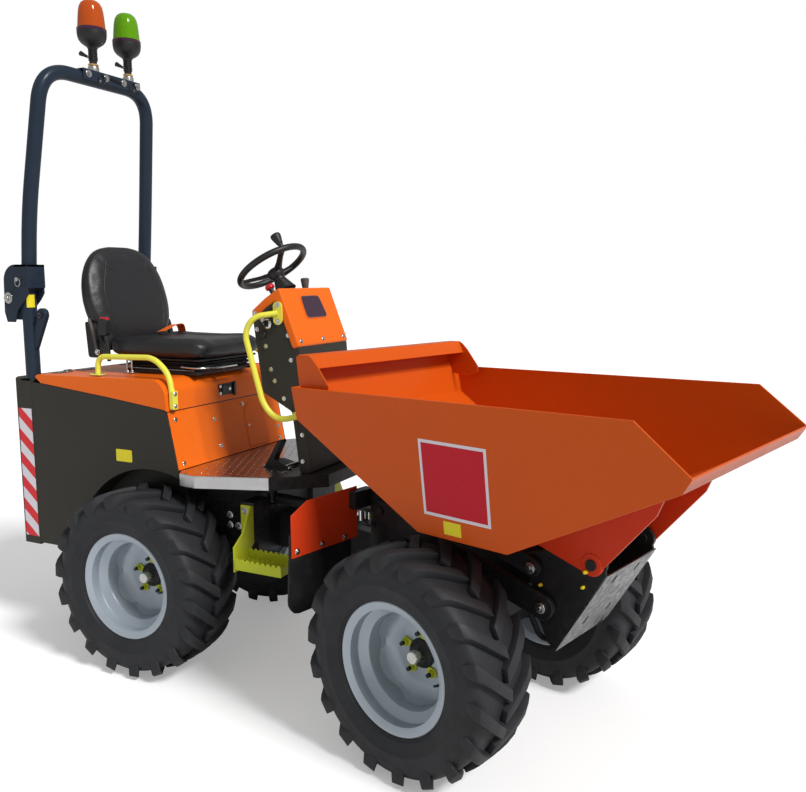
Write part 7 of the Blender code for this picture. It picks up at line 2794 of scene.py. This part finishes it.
@dataclass
class Skip:
    """The tapered skip with its folded spill guard, brackets, rounded edges and blank plates."""

    half: float = 0.46
    floor_half: float = 0.42
    sheet: float = 0.006
    rear_top: Flat = (0.896, 1.195)
    rear_fold: Flat = (0.922, 1.086)
    floor_rear: Flat = (1.43, 0.783)
    floor_front: Flat = (1.763, 0.783)
    lip_fold: Flat = (2.283, 1.054)
    lip: Flat = (2.309, 1.097)
    front_top: Flat = (2.154, 1.219)
    crease_front_x: float = 2.262
    pin: Flat = (1.905, 0.722)
    pin_radius: float = 0.0175

    def half_width(self, z: float) -> float:
        """Return the half width at a height."""
        share = (z - self.floor_rear[1]) / (self.rear_fold[1] - self.floor_rear[1])
        return self.floor_half + (self.half - self.floor_half) * min(max(share, 0.0), 1.0)

    def skin(self) -> Shape:
        """Return the sheet: one thick shell, with every fold at its place."""
        profile = [
            self.rear_top, self.rear_fold, self.floor_rear, self.floor_front, self.lip_fold, self.lip,
        ]
        shape = Shape()
        mesh = shape.mesh
        index = shape.slot_of(SKIP_ORANGE)
        rows = {
            side: [mesh.verts.new((x, side * self.half_width(z), z)) for x, z in profile]
            for side in (-1.0, 1.0)
        }
        for i in range(len(profile) - 1):
            mesh.faces.new((rows[-1.0][i], rows[-1.0][i + 1], rows[1.0][i + 1], rows[1.0][i]))
        for side in (-1.0, 1.0):
            top_front = mesh.verts.new((self.front_top[0], side * self.half, self.front_top[1]))
            crease = mesh.verts.new((self.crease_front_x, side * self.half, self.rear_fold[1]))
            row = rows[side]
            mesh.faces.new([row[0], row[1], crease, row[5], top_front])
            mesh.faces.new([row[1], row[2], row[3], row[4], row[5], crease])
        bmesh.ops.recalc_face_normals(mesh, faces=mesh.faces)
        plain = bpy.data.meshes.new("skip_sheet")
        mesh.to_mesh(plain)
        carrier = stand("skip_sheet", plain)
        thickness = carrier.modifiers.new("sheet", "SOLIDIFY")
        thickness.thickness = self.sheet
        thickness.offset = -1.0
        thickness.use_even_offset = True
        thick = evaluated_mesh(carrier)
        mesh.clear()
        mesh.from_mesh(thick)
        for face in mesh.faces:
            face.material_index = index
        bpy.data.objects.remove(carrier)
        return shape

    def spill_guard(self, shape: Shape) -> None:
        """Add the folded guard along the rear edge, with its end cheeks."""
        band = [(0.8975, 1.175), (0.880, 1.294), (0.893, 1.303), (0.942, 1.3035), (0.9650, 1.2580)]
        inner = [(0.9605, 1.2565), (0.9395, 1.2990), (0.8955, 1.2985), (0.8850, 1.292), (0.9020, 1.176)]
        shape.prism(band + inner, -0.421, 0.421, SKIP_ORANGE)
        cheek = [(0.8985, 1.170), (0.882, 1.292), (0.894, 1.302), (0.945, 1.303), (0.961, 1.294),
                 (0.985, 1.272), (1.040, 1.206), (1.040, 1.180), (0.998, 1.160)]
        for side in (-1.0, 1.0):
            shape.prism(cheek, side * 0.4165, side * 0.421, SKIP_ORANGE)

    def brackets(self, shape: Shape) -> None:
        """Add the hinge brackets with their ringed bosses, the pins and the ram's lugs."""
        slope = (self.lip_fold[1] - self.floor_front[1]) / (self.lip_fold[0] - self.floor_front[0])
        embed = self.sheet / 2.0
        tip_x = 2.13
        bracket = [(1.62, self.floor_rear[1] + embed), (1.68, 0.755), (1.86, 0.700)]
        bracket += arc(self.pin, 0.036, -100.0, -10.0, 14)
        bracket += [
            (2.10, 0.905), (tip_x, self.floor_front[1] + (tip_x - self.floor_front[0]) * slope + embed),
            (self.floor_front[0], self.floor_front[1] + embed),
        ]
        lug = [(1.31, 0.8530), (1.325, 0.755)] + arc((1.36, 0.755), 0.026, 200.0, 340.0, 14)
        lug += [(1.40, 0.78), (1.41, 0.7935)]
        for side in (-1.0, 1.0):
            y = side * 0.178
            # Brackets, lugs and boss rings take the skip's orange with painted shade.
            shape.prism(bracket, y - 0.006, y + 0.006, SKIP_ORANGE_IN_PAINTED_SHADE)
            shape.prism(lug, side * 0.033 - 0.005, side * 0.033 + 0.005, SKIP_ORANGE_IN_PAINTED_SHADE)
            shape.lathe(
                [(0.0, 0.0), (0.0345, 0.0), (0.0345, 0.0035), (0.0300, 0.0040), (0.0, 0.0040)],
                on_side(self.pin, side * 0.1838), (0.0, side, 0.0), SKIP_ORANGE_IN_PAINTED_SHADE, 48,
            )
            shape.rod(
                on_side(self.pin, side * 0.148), on_side(self.pin, side * 0.194), self.pin_radius,
                BLACK_STEEL,
            )

    def wall_plate(self, shape: Shape, corners: list[Flat], lift: float, finish: Look) -> None:
        """Add a thin plate that lies on the skip's right side.

        Args:
            shape: The shape that it joins.
            corners: Its four corners, as (x, z).
            lift: Height of its face over the side.
            finish: Its finish.
        """
        points = [
            Vector((x, -(self.half_width(z) + depth), z)) for depth in (-0.0004, lift)
            for x, z in corners
        ]
        shape.add(points, BOX_FACES, finish)

    def plates(self) -> None:
        """Build the blank red plate with its pale border and the small blank yellow one."""
        sign = Shape()
        for inset, lift, finish in ((0.0, 0.0006, SIGN_WHITE), (0.010, 0.0010, SIGN_RED)):
            corners = rectangle(1.465 + inset, 1.715 - inset, 0.851 + inset, 1.089 - inset)
            self.wall_plate(sign, corners, lift, finish)
        Piece("blank_skip_sign", "skip", Half.FRONT).make(sign)
        label = Shape()
        self.wall_plate(label, rectangle(1.538, 1.603, 0.800, 0.842), 0.0008, PLATE_YELLOW)
        Piece("blank_skip_label", "skip", Half.FRONT).make(label)

    def grease_caps(self) -> None:
        """Set the yellow caps beside the skip's pins."""
        caps = Shape()
        for side in (-1.0, 1.0):
            foot = on_side((1.893, 0.700), side * 0.1878)
            cap = [(0.0, 0.0), (0.0055, 0.0), (0.0062, 0.006), (0.0045, 0.013), (0.0, 0.014)]
            caps.lathe(cap, foot, (-0.55, side * 0.8, -0.25), PLATE_YELLOW, 24)
        Piece("skip_grease_caps", "skip", Half.FRONT).make(caps)

    def build(self) -> None:
        """Build the skip and what is fixed to it."""
        shape = self.skin()
        self.spill_guard(shape)
        self.brackets(shape)
        Piece(
            "skip_dressed", "skip", Half.FRONT, replaces=("skip",), bevel=0.0022, bevel_segments=3
        ).make(shape)
        self.plates()
        self.grease_caps()


@dataclass
class Ram:
    """The gland, ports and fittings on one ram's barrel."""

    name: str
    base: Place
    eye: Place
    body: str
    radius: float
    mouth_gap: float
    port_side: Place
    half: Half = Half.FRONT

    def build(self) -> None:
        """Build the gland nut, the base cap's ring and the two ports with their plugs."""
        base = Vector(self.base)
        line = Vector(self.eye) - base
        heading = line.normalized()
        mouth = line.length - self.mouth_gap
        shape = Shape()
        ring = self.radius
        gland = [
            (ring * 0.98, 0.0), (ring + 0.0022, 0.001), (ring + 0.0022, 0.010),
            (ring + 0.0010, 0.0115), (ring + 0.0010, 0.014), (ring + 0.0022, 0.0155),
            (ring + 0.0022, 0.0255), (ring * 0.98, 0.0262),
        ]
        band = [
            (ring * 0.98, 0.0), (ring + 0.0018, 0.0012), (ring + 0.0018, 0.009), (ring * 0.98, 0.010),
        ]
        for start, profile in ((mouth - 0.030, gland), (0.036, band)):
            shape.lathe(profile, base + heading * start, heading, BLACK_STEEL, 40, closed=True)
        Piece(f"{self.name}_rings", self.body, self.half, bevel=0.0005).make(shape)
        side = Vector(self.port_side).normalized()
        fitting = Shape()
        for along_barrel in (0.060, mouth - 0.045):
            foot = base + heading * along_barrel + side * (ring * 0.97)
            fitting.rod(foot, foot + side * 0.008, 0.008, ZINC, segments=24)
            fitting.rod(foot + side * 0.008, foot + side * 0.015, 0.0075, ZINC, segments=6)
            fitting.rod(foot + side * 0.015, foot + side * 0.019, 0.0055, ZINC, segments=20)
        Piece(f"{self.name}_ports", self.body, self.half, bevel=0.0004).make(fitting)


def dress_kept_nodes() -> None:
    """Give every CAD node that stays its procedural material."""
    for finish, names in (
        (BLACK_STEEL, (
            "rear_frame", "front_frame", "rear_axle", "front_axle", "lift_ram_barrel", "tip_ram_barrel",
            "steer_ram_barrel",
        )),
        (GALVANISED, ("nose_guard",)),
        (CHROME, ("lift_ram_rod", "tip_ram_rod", "steer_ram_rod")),
    ):
        for name in names:
            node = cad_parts[name]
            node.data.materials.clear()
            node.data.materials.append(finish.material())
            LOG.info("%s keeps its shape and gets %s", name, finish.name)


# Floor, lights and camera.


@dataclass
class Studio:
    """The pale floor, the soft light and the camera at the photograph's view."""

    camera_place: Place = (1.5857, -2.6793, 1.563)
    yaw: float = math.radians(25.38)
    pitch: float = math.radians(7.505)
    roll: float = math.radians(-0.047)
    lens: float = 36.92
    shift: Flat = (-0.02366, -0.0110)
    sun_direction: Place = (0.71, -0.20, 0.67)
    sun_strength: float = 3.0
    sky_strength: float = 0.40
    floor_half: float = 30.0
    floor_thickness: float = 0.02

    def floor(self) -> None:
        """Build the floor, which is white to the camera and keeps the shadow."""
        shape = Shape()
        half = self.floor_half
        shape.box((-half, -half, -self.floor_thickness), (half, half, -0.0002), SIGN_WHITE)
        mesh = bpy.data.meshes.new("studio_floor")
        shape.mesh.to_mesh(mesh)
        shape.mesh.free()
        made = bpy.data.materials.new("floor_white")
        made.use_nodes = True
        nodes = made.node_tree.nodes
        links = made.node_tree.links
        shader = nodes["Principled BSDF"]
        shader.inputs["Base Color"].default_value = (0.80, 0.80, 0.80, 1.0)
        shader.inputs["Roughness"].default_value = 0.9
        shader.inputs["Specular IOR Level"].default_value = 0.0
        shader.inputs["Emission Color"].default_value = (1.0, 1.0, 1.0, 1.0)
        path = nodes.new("ShaderNodeLightPath")
        share = nodes.new("ShaderNodeMath")
        share.operation = "MULTIPLY"
        share.inputs[1].default_value = 0.30
        links.new(path.outputs["Is Camera Ray"], share.inputs[0])
        links.new(share.outputs[0], shader.inputs["Emission Strength"])
        mesh.materials.append(made)
        ground = stand("studio_floor", mesh)

    def sky(self) -> None:
        """Light the scene evenly, with a white background for camera and transmission rays."""
        world = bpy.data.worlds.new("studio_sky")
        world.use_nodes = True
        bpy.context.scene.world = world
        nodes = world.node_tree.nodes
        links = world.node_tree.links
        background = nodes["Background"]
        background.inputs["Color"].default_value = (1.0, 1.0, 1.0, 1.0)
        path = nodes.new("ShaderNodeLightPath")
        seen = nodes.new("ShaderNodeMath")
        seen.operation = "MAXIMUM"
        links.new(path.outputs["Is Camera Ray"], seen.inputs[0])
        links.new(path.outputs["Is Transmission Ray"], seen.inputs[1])
        level = nodes.new("ShaderNodeMapRange")
        level.inputs["To Min"].default_value = self.sky_strength
        level.inputs["To Max"].default_value = 1.0
        links.new(seen.outputs[0], level.inputs["Value"])
        links.new(level.outputs["Result"], background.inputs["Strength"])

    def sun(self) -> None:
        """Build the soft sun that stands in front of the machine and above it."""
        light = bpy.data.lights.new("soft_sun", "SUN")
        light.energy = self.sun_strength
        light.angle = math.radians(14.0)
        lamp = bpy.data.objects.new("soft_sun", light)
        lamp.rotation_euler = Vector(self.sun_direction).to_track_quat("Z", "Y").to_euler()
        lamp.location = Vector(self.sun_direction) * 6.0
        bpy.context.scene.collection.objects.link(lamp)

    def camera(self) -> None:
        """Build the camera."""
        data = bpy.data.cameras.new("photo_view")
        data.sensor_fit = "HORIZONTAL"
        data.sensor_width = 36.0
        data.lens = self.lens
        data.shift_x, data.shift_y = self.shift
        data.clip_end = 200.0
        back = Vector((
            math.sin(self.yaw) * math.cos(self.pitch), -math.cos(self.yaw) * math.cos(self.pitch),
            math.sin(self.pitch),
        ))
        viewer = bpy.data.objects.new("photo_view", data)
        turn = back.to_track_quat("Z", "Y").to_matrix().to_4x4() @ Matrix.Rotation(self.roll, 4, "Z")
        viewer.matrix_world = Matrix.Translation(self.camera_place) @ turn
        bpy.context.scene.collection.objects.link(viewer)
        bpy.context.scene.camera = viewer

    def build(self) -> None:
        """Build the floor, the sky, the sun and the camera."""
        bpy.context.scene.view_settings.view_transform = "Standard"
        self.camera()
        self.floor()
        self.sky()
        self.sun()


def main() -> None:
    """Build the dressed machine."""
    logging.basicConfig(level=logging.INFO, format="%(name)s: %(message)s")
    Studio().build()
    for corner in Corner:
        Tyre(corner).build()
        Rim(corner).build()
    for part in (
        SidePanels(), RearWeight(), FrontPanel(), Floor(), Console(), GrabHandles(), FootControls(),
        RollBar(), Beacon("amber", -0.02, AMBER), Beacon("green", 0.185, GREEN), SteeringWheel(),
        Bonnet(), Seat(), Machinery(), Mudguards(), LiftGear(), Nose(), Skip(),
        Ram("lift_ram", (1.22, 0.0, 0.27), (1.24, 0.0, 0.66), "lift_barrel", 0.030, 0.050, (1.0, 0.0, 0.0)),
        Ram("tip_ram", (1.74, 0.0, 0.55), (1.36, 0.0, 0.755), "tip_barrel", 0.028, 0.060, (0.0, 0.0, 1.0)),
    ):
        part.build()
        LOG.info("%s is built", type(part).__name__)
    dress_kept_nodes()


if __name__ == "__main__":
    main()
